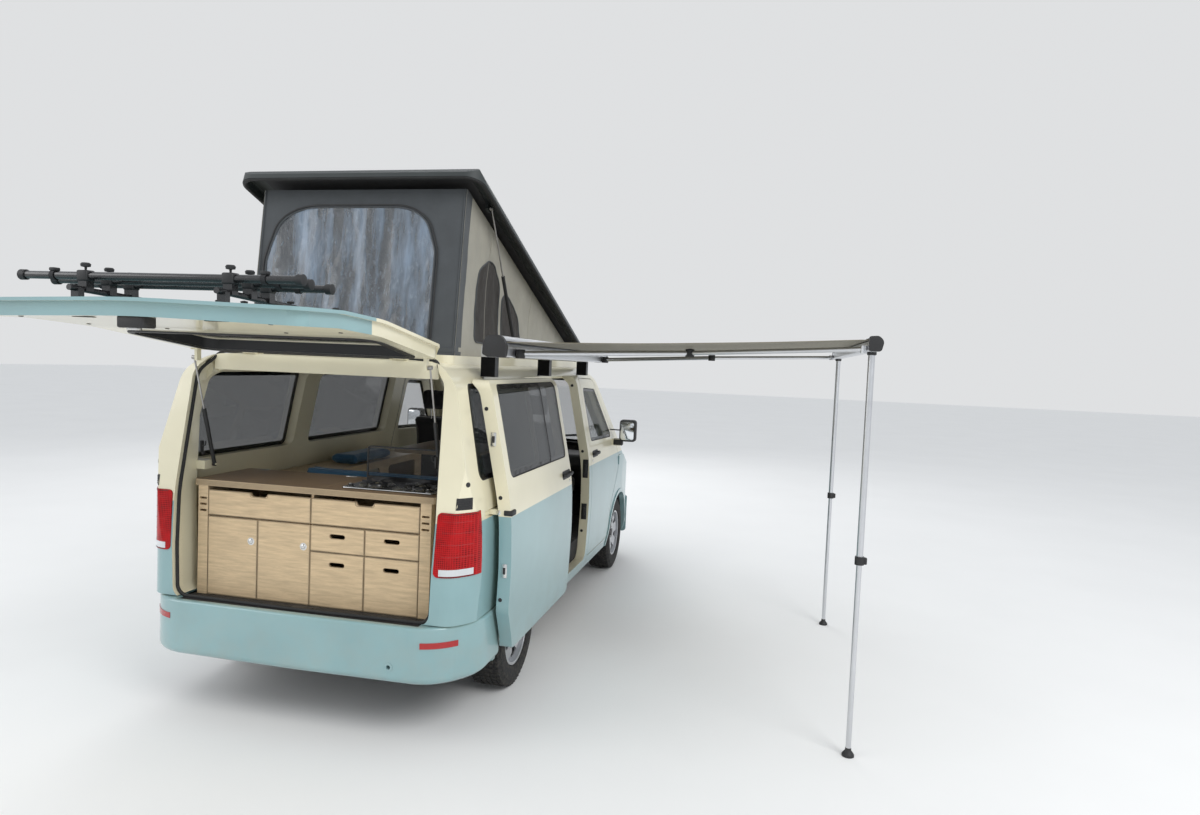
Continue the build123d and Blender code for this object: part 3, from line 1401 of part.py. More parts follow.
# Awning
def case_face():
    """Section of the awning case."""
    x0, x1 = CASE_X
    z0, z1 = CASE_Z
    return face_of([
        (x0, z0 + 14, 12),
        (x0 + 30, z0, 12),
        (x1, z0, 10),
        (x1 + 6, z0 + 60, 60),
        (x1 - 24, z1, 50),
        (x0 + 6, z1 - 10, 40),
    ])


def awning_case():
    """Aluminium case with its end caps and the brackets on the roof edge."""
    x0, x1 = CASE_X
    z0, z1 = CASE_Z
    face = case_face()
    inner = offset(face, amount=-5, kind=Kind.INTERSECTION)
    y0, y1 = AWNING_Y
    case = along_y(face, (y0, y1)) - along_y(inner, (y0 + 30, y1 - 30))
    mouth = block((x1 - 14, x1 + 20), (y0 + 34, y1 - 34), (z0 + 62, z0 + 100))
    case -= mouth
    for y in BRACKET_Y:
        bracket = block((SHELL_HALF + GAP, x0 + 12), (y - 30, y + 30), (BRACKET_LOW, z0 + 60))
        case += bracket - hull(0) - along_y(inner, (y0, y1))
    return case


def awning_fabric():
    """Fabric from the case's mouth to the lead rail, with a slight sag."""
    y0, y1 = AWNING_Y
    x0 = CASE_X[1] - 30
    x1 = RAIL_OUT_X - 10 - FIT
    z0 = CASE_Z[0] + 82
    z1 = RAIL_OUT_Z + 18
    mid = ((x0 + x1) / 2, (z0 + z1) / 2 - FABRIC_SAG)
    low_mid = (mid[0], mid[1] - FABRIC_T)
    top = ThreePointArc((x0, z0), mid, (x1, z1))
    bottom = ThreePointArc((x0, z0 - FABRIC_T), low_mid, (x1, z1 - FABRIC_T))
    face = make_face([top, bottom, Line((x0, z0), (x0, z0 - FABRIC_T)), Line((x1, z1), (x1, z1 - FABRIC_T))])
    return along_y(face, (y0 + 45, y1 - 45))


def awning_rail():
    """Lead rail at the outer edge, with end caps."""
    x, z = RAIL_OUT_X, RAIL_OUT_Z
    face = face_of([
        (x - 34, z - 40, 10),
        (x + 22, z - 40, 14),
        (x + 34, z + 10, 30),
        (x + 8, z + 34, 24),
        (x - 34, z + 30, 8),
    ])
    rail = along_y(face, (AWNING_Y[0] + 12, AWNING_Y[1] - 12))
    groove = block((x - 40, x - 10), (AWNING_Y[0] - 10, AWNING_Y[1] + 10), (z + 8, z + 24))
    return rail - groove


def awning_arms():
    """Two folding arms: shoulder at the case, elbow, wrist at the lead rail."""
    x0 = CASE_X[1] + 26
    x1 = RAIL_OUT_X - 34 - FIT - 16
    z0 = CASE_Z[0] + 24
    z1 = RAIL_OUT_Z - 30
    body = along_y(offset(case_face(), amount=FIT, kind=Kind.INTERSECTION), AWNING_Y)
    arms = []
    for shoulder, elbow, wrist in (
        (AWNING_Y[0] + 180, AWNING_Y[0] + 180 + ELBOW_FOLD, AWNING_Y[0] + 110),
        (AWNING_Y[1] - 180, AWNING_Y[1] - 180 - ELBOW_FOLD, AWNING_Y[1] - 110),
    ):
        middle = ((x0 + x1) / 2, elbow, (z0 + z1) / 2)
        upper = rod((x0, shoulder, z0), middle, 15)
        lower = rod(middle, (x1, wrist, z1), 13)
        joint = Pos(*middle) * Cylinder(24, 40)
        root_end = Pos(x0, shoulder, z0) * Cylinder(26, 40)
        tip = Pos(x1, wrist, z1) * Cylinder(16, 36)
        arms.append(upper + lower + joint + root_end + tip - body)
    return group(*arms)


def awning_legs():
    """Two telescoping legs that stand on the ground under the lead rail."""
    legs = []
    r0, r1 = LEG_R
    top = RAIL_OUT_Z - 40
    for y in LEG_Y:
        x = RAIL_OUT_X
        leg = rod((x, y, 1020), (x, y, top), r0)
        leg += rod((x, y, 12), (x, y, 1040), r1)
        foot = Pos(x, y, 6) * Cylinder(30, 12)
        collar = Pos(x, y, 1030) * Cylinder(r0 + 5, 44)
        legs.append(leg + foot + collar)
    return group(*legs)


def knuckles():
    right = knuckle()
    return right, flip(right)


# All nodes in the open, parked state of the photograph
def build():
    parts = {}
    parts["floor_pan"] = floor_pan()
    parts["side_right"] = side_right()
    parts["side_left"] = side_left()
    parts["roof_panel"] = roof_panel()
    parts["bulkhead"] = bulkhead()
    parts["bonnet"] = bonnet()
    parts["front_wings"] = front_wings()
    parts["front_bumper"] = front_bumper()
    parts["grille"] = grille()
    parts["headlamps"] = headlamps()
    parts["rear_bumper"] = rear_bumper()
    parts["rear_sill"] = rear_sill()
    parts["tail_lamps"] = tail_lamps()
    parts["windscreen"] = windscreen()
    parts["side_glass"] = side_glass()
    parts["sliding_door"] = sliding_door()
    parts["tailgate"] = open_tailgate(tailgate_shut())
    parts["tailgate_glass"] = open_tailgate(tailgate_glass())
    parts["cycle_rack"] = open_tailgate(cycle_rack())
    parts["tailgate_strut_tubes"] = strut_tubes(TAILGATE_STRUT_BASE, TAILGATE_ENDS, TAILGATE_STRUT_TUBE)
    parts["tailgate_strut_rods"] = strut_rods(TAILGATE_STRUT_BASE, TAILGATE_ENDS, TAILGATE_STRUT_TUBE)
    parts["poptop_shell"] = poptop_shell()
    parts["roof_canvas"] = roof_canvas()
    parts["poptop_strut_tubes"] = strut_tubes(POPTOP_STRUT_BASE, POPTOP_ENDS, POPTOP_STRUT_TUBE)
    parts["poptop_strut_rods"] = strut_rods(POPTOP_STRUT_BASE, POPTOP_ENDS, POPTOP_STRUT_TUBE)
    door = front_door()
    pane = door_pane()
    parts["door_right"] = door
    parts["door_left"] = flip(door)
    parts["door_glass_right"] = pane
    parts["door_glass_left"] = flip(pane)
    one_tyre = tyre()
    one_rim = rim()
    for name, side, y in WHEELS:
        parts["tyre_" + name] = at_wheel(one_tyre, side, y)
        parts["rim_" + name] = at_wheel(one_rim, side, y)
    parts["knuckle_right"], parts["knuckle_left"] = knuckles()
    parts["front_axle"] = front_axle()
    parts["rear_axle"] = rear_axle()
    parts["exhaust"] = exhaust()
    parts["engine"] = engine()
    parts["kitchen_carcass"] = kitchen_carcass()
    parts["kitchen_fronts"] = kitchen_fronts()
    parts["kitchen_drawer_left"] = kitchen_drawer(-1)
    parts["kitchen_drawer_right"] = kitchen_drawer(1)
    parts["worktop"] = worktop()
    parts["hob"] = hob()
    parts["side_units"] = side_units()
    parts["bench_cushions"] = bench_cushions()
    parts["table"] = table()
    parts["front_seats"] = front_seats()
    parts["dashboard"] = dashboard()
    parts["awning_case"] = awning_case()
    parts["awning_fabric"] = awning_fabric()
    parts["awning_rail"] = awning_rail()
    parts["awning_arms"] = awning_arms()
    parts["awning_legs"] = awning_legs()
    return parts


def main():
    parts = build()
    whole = Compound(children=[shape for part in parts.values() for shape in part.solids()])
    box_all = whole.bounding_box()
    shift = (-(box_all.min.X + box_all.max.X) / 2, -(box_all.min.Y + box_all.max.Y) / 2, -box_all.min.Z)
    print("origin shift", [round(v, 3) for v in shift])
    os.makedirs("parts", exist_ok=True)
    for name, part in parts.items():
        solids = [solid.moved(Location(shift)) for solid in part.solids()]
        export_step(solids[0] if len(solids) == 1 else Compound(children=solids), f"parts/{name}.step")


main()
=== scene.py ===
import json
import math

import bmesh
import bpy
from mathutils import Matrix, Vector, noise
from mathutils.bvhtree import BVHTree


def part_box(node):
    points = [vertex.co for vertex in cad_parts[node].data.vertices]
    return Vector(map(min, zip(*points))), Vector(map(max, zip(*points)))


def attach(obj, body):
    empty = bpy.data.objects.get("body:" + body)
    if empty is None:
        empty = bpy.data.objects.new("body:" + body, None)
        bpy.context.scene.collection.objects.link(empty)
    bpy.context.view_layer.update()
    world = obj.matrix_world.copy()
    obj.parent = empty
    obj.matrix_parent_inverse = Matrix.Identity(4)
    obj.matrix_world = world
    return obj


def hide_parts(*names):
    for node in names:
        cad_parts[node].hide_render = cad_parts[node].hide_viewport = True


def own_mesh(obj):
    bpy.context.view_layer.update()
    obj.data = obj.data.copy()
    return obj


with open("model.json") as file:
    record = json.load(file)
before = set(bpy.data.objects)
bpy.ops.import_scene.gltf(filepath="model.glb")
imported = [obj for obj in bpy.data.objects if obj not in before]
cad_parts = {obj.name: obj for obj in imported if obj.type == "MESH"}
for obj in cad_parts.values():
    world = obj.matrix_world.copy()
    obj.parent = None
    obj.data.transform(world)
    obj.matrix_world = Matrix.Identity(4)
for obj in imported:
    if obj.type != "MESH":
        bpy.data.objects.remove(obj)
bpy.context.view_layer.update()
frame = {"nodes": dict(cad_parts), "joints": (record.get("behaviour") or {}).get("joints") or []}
NODES = frame["nodes"]
JOINTS = {joint["name"]: joint for joint in frame["joints"]}

bl_info = {
    "name": "Camper Van",
    "version": (1, 0, 0),
    "blender": (4, 5, 0),
    "location": "View3D > Sidebar > Camper Van",
    "description": "Finishes, soft goods and small fittings of a camper van parked with its roof up",
    "category": "Object",
}


# Places. Van coordinates are in metres, with x = 0 on the centreline and y = 0 between the axles.
def middle(node):
    low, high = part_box(node)
    return (low + high) / 2


ORIGIN = Vector((
    (middle("tyre_rear_right").x + middle("tyre_rear_left").x) / 2,
    (middle("tyre_rear_right").y + middle("tyre_front_right").y) / 2,
    0.0,
))
VAN = Matrix.Translation(ORIGIN)


def opened(joint):
    """Matrix from van coordinates with the lid shut to the frame, where it stands open."""
    pivot = Matrix.Translation(Vector(JOINTS[joint]["pos_m"]))
    turn = Matrix.Rotation(-math.radians(JOINTS[joint]["range_deg"][1]), 4, "X")
    return pivot @ turn @ pivot.inverted() @ VAN


TAILGATE = opened("tailgate_hinge")
ROOF = opened("roof_hinge")
SLIDER = VAN @ Matrix.Translation((0.108, -0.975, 0.0))
MIRROR = Matrix.Scale(-1, 4, (1, 0, 0))
X, Y, Z = Vector((1, 0, 0)), Vector((0, 1, 0)), Vector((0, 0, 1))
SIDES = ((1, "right"), (-1, "left"))

# The commonest fittings' finishes
BLACK, STEEL = "black_plastic", "bright_steel"

# Sizes that several pieces share, in metres
CLOTH = 0.0012
WHEEL_X, WHEEL_Y = 0.814, 1.5
TYRE_RADIUS = 0.343
ARCH_RADIUS = 0.447
REAR_CORNER_Y = -2.25
LID_GLASS_Z = 1.296
SEAT_X = 0.43
WORKTOP_Z = 1.262
KITCHEN_Y = -2.312
RACK_TOP_Z = 1.545
AWNING_LEG_X = 2.85

# What all the colour settings have in common
COLOUR = {"subtype": "COLOR", "size": 3, "min": 0, "max": 1}


class VanPaintSettings(bpy.types.PropertyGroup):
    """Paint colours and where the two tones meet."""

    upper: bpy.props.FloatVectorProperty(
        name="Upper colour", description="Cream paint above the line",
        default=(0.78, 0.73, 0.54), **COLOUR)
    lower: bpy.props.FloatVectorProperty(
        name="Lower colour", description="Light blue paint below the line",
        default=(0.245, 0.4, 0.415), **COLOUR)
    shell: bpy.props.FloatVectorProperty(
        name="Roof shell colour", description="Dark grey of the lifting roof",
        default=(0.03, 0.036, 0.036), **COLOUR)
    line: bpy.props.FloatProperty(
        name="Line height", description="Height of the line between the two colours",
        default=1.15, unit="LENGTH")
    dust: bpy.props.FloatProperty(
        name="Road dust", description="Share of dust on the lowest panels", min=0, max=1, default=0.3)


class VanClothSettings(bpy.types.PropertyGroup):
    """Colours and folds of the canvas, awning and upholstery."""

    canvas_rear: bpy.props.FloatVectorProperty(
        name="Canvas, rear", description="Dark grey rear wall of the roof tent",
        default=(0.075, 0.082, 0.088), **COLOUR)
    canvas_side: bpy.props.FloatVectorProperty(
        name="Canvas, sides", description="Light grey side walls of the roof tent",
        default=(0.36, 0.345, 0.29), **COLOUR)
    awning: bpy.props.FloatVectorProperty(
        name="Awning cloth", description="Grey-brown awning cloth",
        default=(0.21, 0.19, 0.14), **COLOUR)
    cushion: bpy.props.FloatVectorProperty(
        name="Cushions", description="Blue bench cushions",
        default=(0.04, 0.13, 0.24), **COLOUR)
    seat: bpy.props.FloatVectorProperty(
        name="Front seats", description="Black front seat fabric",
        default=(0.018, 0.018, 0.02), **COLOUR)
    folds: bpy.props.FloatProperty(
        name="Fold depth", description="How far the canvas hangs in and folds",
        default=0.03, min=0, unit="LENGTH")
    sag: bpy.props.FloatProperty(
        name="Awning sag", description="How far the awning cloth hangs between its bars",
        default=0.018, min=0, unit="LENGTH")
    pressure: bpy.props.FloatProperty(
        name="Cushion pressure", description="Pressure that fills the cushions", default=4.0, min=0)


class VanWoodSettings(bpy.types.PropertyGroup):
    """Colours of the furniture."""

    ply: bpy.props.FloatVectorProperty(
        name="Plywood", description="Birch plywood faces",
        default=(0.62, 0.47, 0.29), **COLOUR)
    top: bpy.props.FloatVectorProperty(
        name="Worktop", description="Brown worktop and table laminate",
        default=(0.22, 0.145, 0.085), **COLOUR)


class VanTrimSettings(bpy.types.PropertyGroup):
    """Sizes of pane borders, seals and treads."""

    frit: bpy.props.FloatProperty(
        name="Pane border", description="Width of the black border printed on each pane",
        default=0.026, min=0, unit="LENGTH")
    seal: bpy.props.FloatProperty(
        name="Seal radius", description="Radius of the rubber seals",
        default=0.006, min=0.001, unit="LENGTH")
    tread: bpy.props.IntProperty(
        name="Tread blocks", description="Blocks around each tyre's tread", default=58, min=12)
    tread_depth: bpy.props.FloatProperty(
        name="Tread depth", description="Depth of the grooves between tread blocks",
        default=0.007, min=0.001, unit="LENGTH")


class VanStageSettings(bpy.types.PropertyGroup):
    """Floor, lamps and camera."""

    floor: bpy.props.FloatVectorProperty(
        name="Floor colour", description="Pale floor and backdrop",
        default=(0.86, 0.86, 0.85), **COLOUR)
    key: bpy.props.FloatProperty(
        name="Key lamp", description="Strength of the large soft key lamp",
        default=470.0, min=0, unit="POWER")
    sky: bpy.props.FloatProperty(
        name="Surround", description="Strength of the even surround light", default=0.8, min=0)
    focal: bpy.props.FloatProperty(
        name="Focal length", description="Camera focal length for a 36 mm wide picture",
        default=23.85, min=1)
    place: bpy.props.FloatVectorProperty(
        name="Camera place", description="Camera place in van coordinates",
        subtype="TRANSLATION", unit="LENGTH", size=3, default=(2.38, -6.09, 1.98))
    turn: bpy.props.FloatVectorProperty(
        name="Camera turn", description="Turn to the left, dip and roll of the camera",
        subtype="EULER", unit="ROTATION", size=3,
        default=(math.radians(12.34), math.radians(3.09), math.radians(2.39)))


SETTINGS = {
    "van_paint": VanPaintSettings,
    "van_cloth": VanClothSettings,
    "van_wood": VanWoodSettings,
    "van_trim": VanTrimSettings,
    "van_stage": VanStageSettings,
}


# Materials
class Finish:
    """One material's node tree, with a Principled shader at its end."""

    made = {}

    def __init__(self, name, **sockets):
        self.mat = bpy.data.materials.new(name)
        self.mat.use_nodes = True
        self.tree = self.mat.node_tree
        self.shader = self.tree.nodes["Principled BSDF"]
        self.coords = None
        for key, value in sockets.items():
            self.set(self.shader, key.replace("_", " "), value)
        Finish.made[name] = self.mat

    def set(self, node, key, value):
        socket = node.inputs[key]
        if isinstance(value, bpy.types.NodeSocket):
            self.tree.links.new(value, socket)
        elif isinstance(value, tuple) and len(value) == 3 and len(socket.default_value) == 4:
            socket.default_value = (*value, 1)
        else:
            socket.default_value = value

    def node(self, kind, out=0, sets=None, **inputs):
        node = self.tree.nodes.new("ShaderNode" + kind)
        for key, value in (sets or {}).items():
            setattr(node, key, value)
        for key, value in inputs.items():
            numbered = key[0] == "i" and key[1:].isdigit()
            self.set(node, int(key[1:]) if numbered else key.replace("_", " "), value)
        return node.outputs[out]

    def place(self, output="Object"):
        if self.coords is None:
            self.coords = self.tree.nodes.new("ShaderNodeTexCoord")
        return self.coords.outputs[output]

    def stretch(self, scale):
        return self.node("Mapping", Vector=self.place(), Scale=scale)

    def noise(self, scale, detail=3.0, rough=0.55, source=None):
        return self.node("TexNoise", Vector=source or self.place(), Scale=scale, Detail=detail,
                         Roughness=rough)

    def bands(self, direction, scale, **inputs):
        return self.node("TexWave", out=1, sets={"wave_type": "BANDS", "bands_direction": direction},
                         Vector=self.place(), Scale=scale, **inputs)

    def ramp(self, source, low, high, a=0.0, b=1.0):
        return self.node("MapRange", sets={"clamp": True}, Value=source, From_Min=low, From_Max=high,
                         To_Min=a, To_Max=b)

    def math(self, what, a, b=0.0, clamp=False, c=0.0):
        return self.node("Math", sets={"operation": what, "use_clamp": clamp}, i0=a, i1=b, i2=c)

    def mix(self, share, a, b):
        return self.node("Mix", out=2, sets={"data_type": "RGBA"}, i0=share, i6=a, i7=b)

    def vary(self, cloud, colour, dark, light, low=0.3, high=0.7):
        """A colour that goes darker and lighter with a noise."""
        return self.mix(self.ramp(cloud, low, high), shade(colour, dark), shade(colour, light))

    def dot(self, vector, direction):
        return self.node("VectorMath", out=1, sets={"operation": "DOT_PRODUCT"}, i0=vector, i1=direction)

    def bump(self, height, strength, distance=0.001, under=None):
        sockets = {"Height": height, "Strength": strength, "Distance": distance}
        if under is not None:
            sockets["Normal"] = under
        return self.node("Bump", **sockets)

    def colour(self, value):
        self.set(self.shader, "Base Color", value)

    def rough(self, value):
        self.set(self.shader, "Roughness", value)

    def normal(self, value):
        self.set(self.shader, "Normal", value)


def shade(colour, factor):
    return tuple(min(1.0, c * factor) for c in colour)


def plain_finish(name, colour, rough, vary=0.12, grain=60.0, bump=0.12, depth=0.0006, **sockets):
    """A finish with soft colour variation, uneven gloss and a fine surface grain."""
    f = Finish(name, **sockets)
    cloud = f.noise(5.0, 4.0)
    fine = f.noise(grain, 5.0, 0.6)
    f.colour(f.vary(cloud, colour, 1 - vary, 1 + vary * 0.6))
    f.rough(f.ramp(fine, 0.25, 0.75, max(0.02, rough - 0.07), min(1.0, rough + 0.09)))
    f.normal(f.bump(fine, bump, depth))


def paint_finish(name, up=(0.0, 0.0, 1.0), offset=0.0, outside=None, lower_only=False, wall=False,
                 turned=0.13, ahead=0.0):
    """Van paint: cream above the line and blue below it, measured along up. Where outside is given,
    only faces that look that way by more than turned are blue, so inner panels stay cream. On a side
    wall the rear corner and the wheel arch are outside as well, and ahead widens what counts as outside
    in front of the corner."""
    paint = bpy.context.scene.van_paint
    f = Finish(name, Coat_Weight=0.6, Coat_Roughness=0.08)
    height = f.math("SUBTRACT", f.dot(f.place(), up), offset)
    cloud = f.noise(3.0, 3.0)
    upper = f.vary(cloud, paint.upper, 0.96, 1.03)
    body = f.vary(cloud, paint.lower, 0.94, 1.05)
    if not lower_only:
        body = f.mix(f.ramp(height, paint.line - 0.0015, paint.line + 0.0015), body, upper)
    if outside is not None:
        looks = f.dot(f.place("Normal"), outside)
        if wall:
            behind = f.math("LESS_THAN", f.dot(f.place(), (0.0, 1.0, 0.0)), ORIGIN.y + REAR_CORNER_Y)
            looks_back = f.dot(f.place("Normal"), (0.0, -1.0, 0.0))
            turn = f.math("MULTIPLY", f.math("SUBTRACT", 1.0, behind), ahead)
            looks = f.math("MAXIMUM", f.math("ADD", looks, turn), f.math("MULTIPLY", behind, looks_back))
            arch = f.node("VectorMath", out=1, sets={"operation": "DISTANCE"},
                          i0=f.stretch((0.0, 1.0, 1.0)),
                          i1=(0.0, ORIGIN.y - WHEEL_Y, TYRE_RADIUS))
            looks = f.math("MAXIMUM", looks, f.math("LESS_THAN", arch, ARCH_RADIUS))
        body = f.mix(f.ramp(looks, turned - 0.03, turned + 0.03), upper, body)
    speckle = f.noise(9.0, 4.0, 0.6)
    low_down = f.ramp(height, 0.3, 0.75, 1.0, 0.0)
    dust = f.math("MULTIPLY", f.math("MULTIPLY", low_down, f.ramp(speckle, 0.35, 0.75)), paint.dust)
    f.colour(f.mix(dust, body, (0.36, 0.32, 0.26)))
    f.rough(f.math("MULTIPLY_ADD", dust, 0.5, True, 0.28))


def woven(name, colour, threads=900.0, rough=0.85, vary=0.12, strength=0.35, sheen=0.3, creases=0.0,
          **sockets):
    """Woven cloth: crossing threads in the surface, faint blotches and optional creases."""
    f = Finish(name, Sheen_Weight=sheen, Sheen_Roughness=0.5, Specular_IOR_Level=0.25, **sockets)
    warp, weft = (f.bands(way, threads / 6.283, Distortion=0.4, Detail=1.0) for way in ("Z", "DIAGONAL"))
    cross = f.math("MULTIPLY", warp, weft)
    cloud = f.noise(7.0, 5.0, 0.6)
    tone = f.vary(cloud, colour, 1 - vary, 1 + vary, high=0.72)
    f.colour(f.mix(f.ramp(cross, 0.0, 1.0, 0.0, 0.35), tone, shade(colour, 0.62)))
    f.rough(f.ramp(cloud, 0.3, 0.7, rough - 0.05, min(1.0, rough + 0.08)))
    normal = f.bump(cross, strength, 0.0006)
    if creases:
        ridges = f.noise(4.5, 3.0, 0.5, f.stretch((1.0, 1.0, 0.35)))
        normal = f.bump(ridges, creases, 0.02, normal)
    f.normal(normal)
    return f


def plywood(name, colour, face, edge=None):
    """Plywood with its faces square to one axis: long grain there, and thin layers on cut edges."""
    f = Finish(name, Specular_IOR_Level=0.35, Coat_Weight=0.12, Coat_Roughness=0.35)
    edge = edge or colour
    long_grain = {"y": (0.9, 6.0, 9.0), "z": (0.9, 9.0, 6.0), "x": (6.0, 0.9, 9.0)}[face]
    grain = f.noise(7.0, 8.0, 0.62, f.stretch(long_grain))
    pores = f.noise(60.0, 4.0, 0.6, f.stretch((long_grain[0] * 0.5, *long_grain[1:])))
    tone = f.vary(grain, colour, 0.8, 1.14, low=0.32)
    tone = f.mix(f.ramp(pores, 0.52, 0.66, 0.0, 0.22), tone, shade(colour, 0.55))
    axis = tuple(float(letter == face) for letter in "xyz")
    depth = f.math("MULTIPLY", f.dot(f.place(), axis), 1000 / 3.0)
    layers = f.math("GREATER_THAN", f.math("FRACT", depth), 0.5)
    edge_tone = f.mix(layers, shade(edge, 0.55), shade(edge, 1.0))
    looks = f.math("ABSOLUTE", f.dot(f.place("Normal"), axis))
    f.colour(f.mix(f.ramp(looks, 0.45, 0.55, 1.0, 0.0), tone, edge_tone))
    f.rough(f.ramp(grain, 0.3, 0.7, 0.42, 0.56))
    f.normal(f.bump(grain, 0.08, 0.0008))


def pane(name, colour, alpha, rough=0.04):
    """Tinted pane with faint smears."""
    f = Finish(name, Roughness=rough, Alpha=alpha, Specular_IOR_Level=0.6, IOR=1.5)
    f.colour(f.vary(f.noise(4.0, 4.0), colour, 0.85, 1.2))


def lamp_lens(name):
    """Deep red lamp cover with an upright and level prism pattern behind its smooth face."""
    f = Finish(name, Roughness=0.25, Coat_Weight=0.15, Specular_IOR_Level=0.15)
    level, upright = (f.ramp(f.bands(way, 30.0, Distortion=0.0), 0.05, 0.35) for way in ("Z", "X"))
    grid = f.math("MULTIPLY", level, upright)
    cloud = f.noise(14.0, 2.0)
    tone = f.mix(f.ramp(cloud, 0.35, 0.65), (0.16, 0.001, 0.002), (0.4, 0.002, 0.004))
    f.colour(f.mix(grid, (0.46, 0.008, 0.01), tone))
    f.normal(f.bump(grid, 0.25, 0.0008))


def case_finish(name, foot):
    """Silver anodised case, on black brackets below the given height."""
    f = Finish(name, Metallic=1.0)
    cloud = f.noise(40.0, 4.0)
    silver = f.mix(f.ramp(cloud, 0.3, 0.7), (0.62, 0.63, 0.65), (0.69, 0.7, 0.72))
    below = f.math("LESS_THAN", f.dot(f.place(), (0.0, 0.0, 1.0)), foot)
    f.colour(f.mix(below, silver, (0.012, 0.012, 0.013)))
    f.rough(f.ramp(cloud, 0.3, 0.7, 0.28, 0.4))


def hob_finish(name, lid_foot):
    """Black enamel tray and grates, and above the given height the lid's dark clear glass."""
    f = Finish(name, Coat_Weight=0.5, Roughness=0.2)
    cloud = f.noise(40.0, 4.0)
    f.colour(f.mix(f.ramp(cloud, 0.3, 0.7), (0.01, 0.01, 0.011), (0.018, 0.018, 0.019)))
    height = f.dot(f.place(), (0.0, 0.0, 1.0))
    f.set(f.shader, "Alpha", f.ramp(height, lid_foot, lid_foot + 0.002, 1.0, 0.16))


def crinkled_film(name):
    """Clear window film in the canvas, wavy from being folded, with painted reflections and highlights in
    its colour.
    """
    f = Finish(name, Roughness=0.12, Alpha=0.9, Specular_IOR_Level=0.9, Coat_Weight=0.6)
    waves_and_reflection = f.noise(9.0, 4.0, 0.6, f.stretch((1.0, 1.0, 0.12)))
    crinkle_and_highlights = f.noise(34.0, 6.0, 0.7, f.stretch((1.0, 1.0, 0.5)))
    # Near-black to light blue-grey along the waves: painted reflection
    tone = f.mix(f.ramp(waves_and_reflection, 0.42, 0.66), (0.022, 0.03, 0.038), (0.16, 0.23, 0.32))
    # Pale blue-grey on the crinkles' ridges: painted highlights
    f.colour(f.mix(f.ramp(crinkle_and_highlights, 0.55, 0.78, 0.0, 0.5), tone, (0.3, 0.38, 0.47)))
    f.normal(f.bump(crinkle_and_highlights, 0.7, 0.012, f.bump(waves_and_reflection, 0.6, 0.03)))


def mesh_net(name, colour):
    """Insect net: fine open weave."""
    f = woven(name, colour, 2600.0, 0.7, 0.1, 0.5, 0.1)
    holes = f.noise(900.0, 1.0)
    f.set(f.shader, "Alpha", f.ramp(holes, 0.3, 0.6, 0.8, 0.97))


def dusty(name, colour, dust, low, high, rough, grain, bump, depth, **sockets):
    """A dark finish with dust lying on it in patches."""
    f = Finish(name, Specular_IOR_Level=0.3, **sockets)
    grit = f.noise(grain, 6.5, 0.68)
    f.colour(f.mix(f.ramp(grit, low, high, 0.0, 0.55), colour, dust))
    f.rough(f.ramp(grit, 0.3, 0.7, rough - 0.1, rough + 0.1))
    f.normal(f.bump(grit, bump, depth))


def assign(material, *names):
    for name in names:
        mesh = NODES[name].data
        mesh.materials.clear()
        mesh.materials.append(Finish.made[material])


# Outlines and surfaces
def densify(points, step, closed=True):
    """The same polyline with long runs divided."""
    result = []
    last = len(points) if closed else len(points) - 1
    for i in range(last):
        a, b = Vector(points[i]), Vector(points[(i + 1) % len(points)])
        count = max(1, math.ceil((b - a).length / step))
        result += [a.lerp(b, k / count) for k in range(count)]
    if not closed:
        result.append(Vector(points[-1]))
    return result


def outline(rows, step=0.03):
    """Closed polyline of (u, v, corner radius) rows with its corners rounded."""
    points = []
    for i, (u, v, radius) in enumerate(rows):
        corner = Vector((u, v))
        back = Vector(rows[i - 1][:2]) - corner
        ahead = Vector(rows[(i + 1) % len(rows)][:2]) - corner
        half = back.angle(ahead) / 2
        reach = min(radius / math.tan(half), 0.48 * back.length, 0.48 * ahead.length)
        if reach < 1e-4:
            points.append(corner)
            continue
        start = corner + back.normalized() * reach
        end = corner + ahead.normalized() * reach
        bend = reach * math.tan(half)
        centre = corner + (back.normalized() + ahead.normalized()).normalized() * math.hypot(reach, bend)
        turn = math.atan2((start - centre).cross(end - centre), (start - centre).dot(end - centre))
        for k in range(9):
            points.append(centre + Matrix.Rotation(turn * k / 8, 2) @ (start - centre))
    return densify(points, step)


def inset(points, depth):
    """A closed 2D polyline drawn in by depth."""
    area = sum(a.cross(b) for a, b in zip(points, points[1:] + points[:1]))
    side = 1 if area > 0 else -1
    result = []
    for i, point in enumerate(points):
        along = (points[(i + 1) % len(points)] - points[i - 1]).normalized()
        result.append(point + Vector((-along.y, along.x)) * depth * side)
    return result


def strip(wide, low, top=None, high=None):
    """Section of a flat strip: half its width and its reach down, and the same of its upper face."""
    top, high = top or wide, high or low
    return [(-wide, -low), (wide, -low), (top, high), (-top, high)]


def oval(wide, high, sides):
    angles = [2 * math.pi * k / sides for k in range(sides)]
    return [(wide * math.cos(angle), high * math.sin(angle)) for angle in angles]


def rounded(wide, high, radius, step=0.02):
    """Outline of a rounded plate or slot about the origin, from half its width and height."""
    return outline([(u * wide, v * high, radius) for u, v in ((-1, -1), (1, -1), (1, 1), (-1, 1))], step)


def both_sides(rows):
    return rows + [(-u, v, radius) for u, v, radius in reversed(rows)]


def quads(rings, size, closed=False):
    """Faces that join each ring of points to the next, as rows of point numbers."""
    faces = []
    for i in range(rings if closed else rings - 1):
        j = (i + 1) % rings
        for k in range(size):
            m = (k + 1) % size
            faces.append((i * size + k, i * size + m, j * size + m, j * size + k))
    return faces


def turned_over(rows):
    return [row[::-1] for row in rows]


def placed(name, data):
    """A new object of a mesh, lamp or camera, in the scene."""
    obj = bpy.data.objects.new(name, data)
    bpy.context.scene.collection.objects.link(obj)
    return obj


def as_mesh(name, bm):
    """A mesh of some shapes, which are used up."""
    mesh = bpy.data.meshes.new(name)
    bm.to_mesh(mesh)
    bm.free()
    return mesh


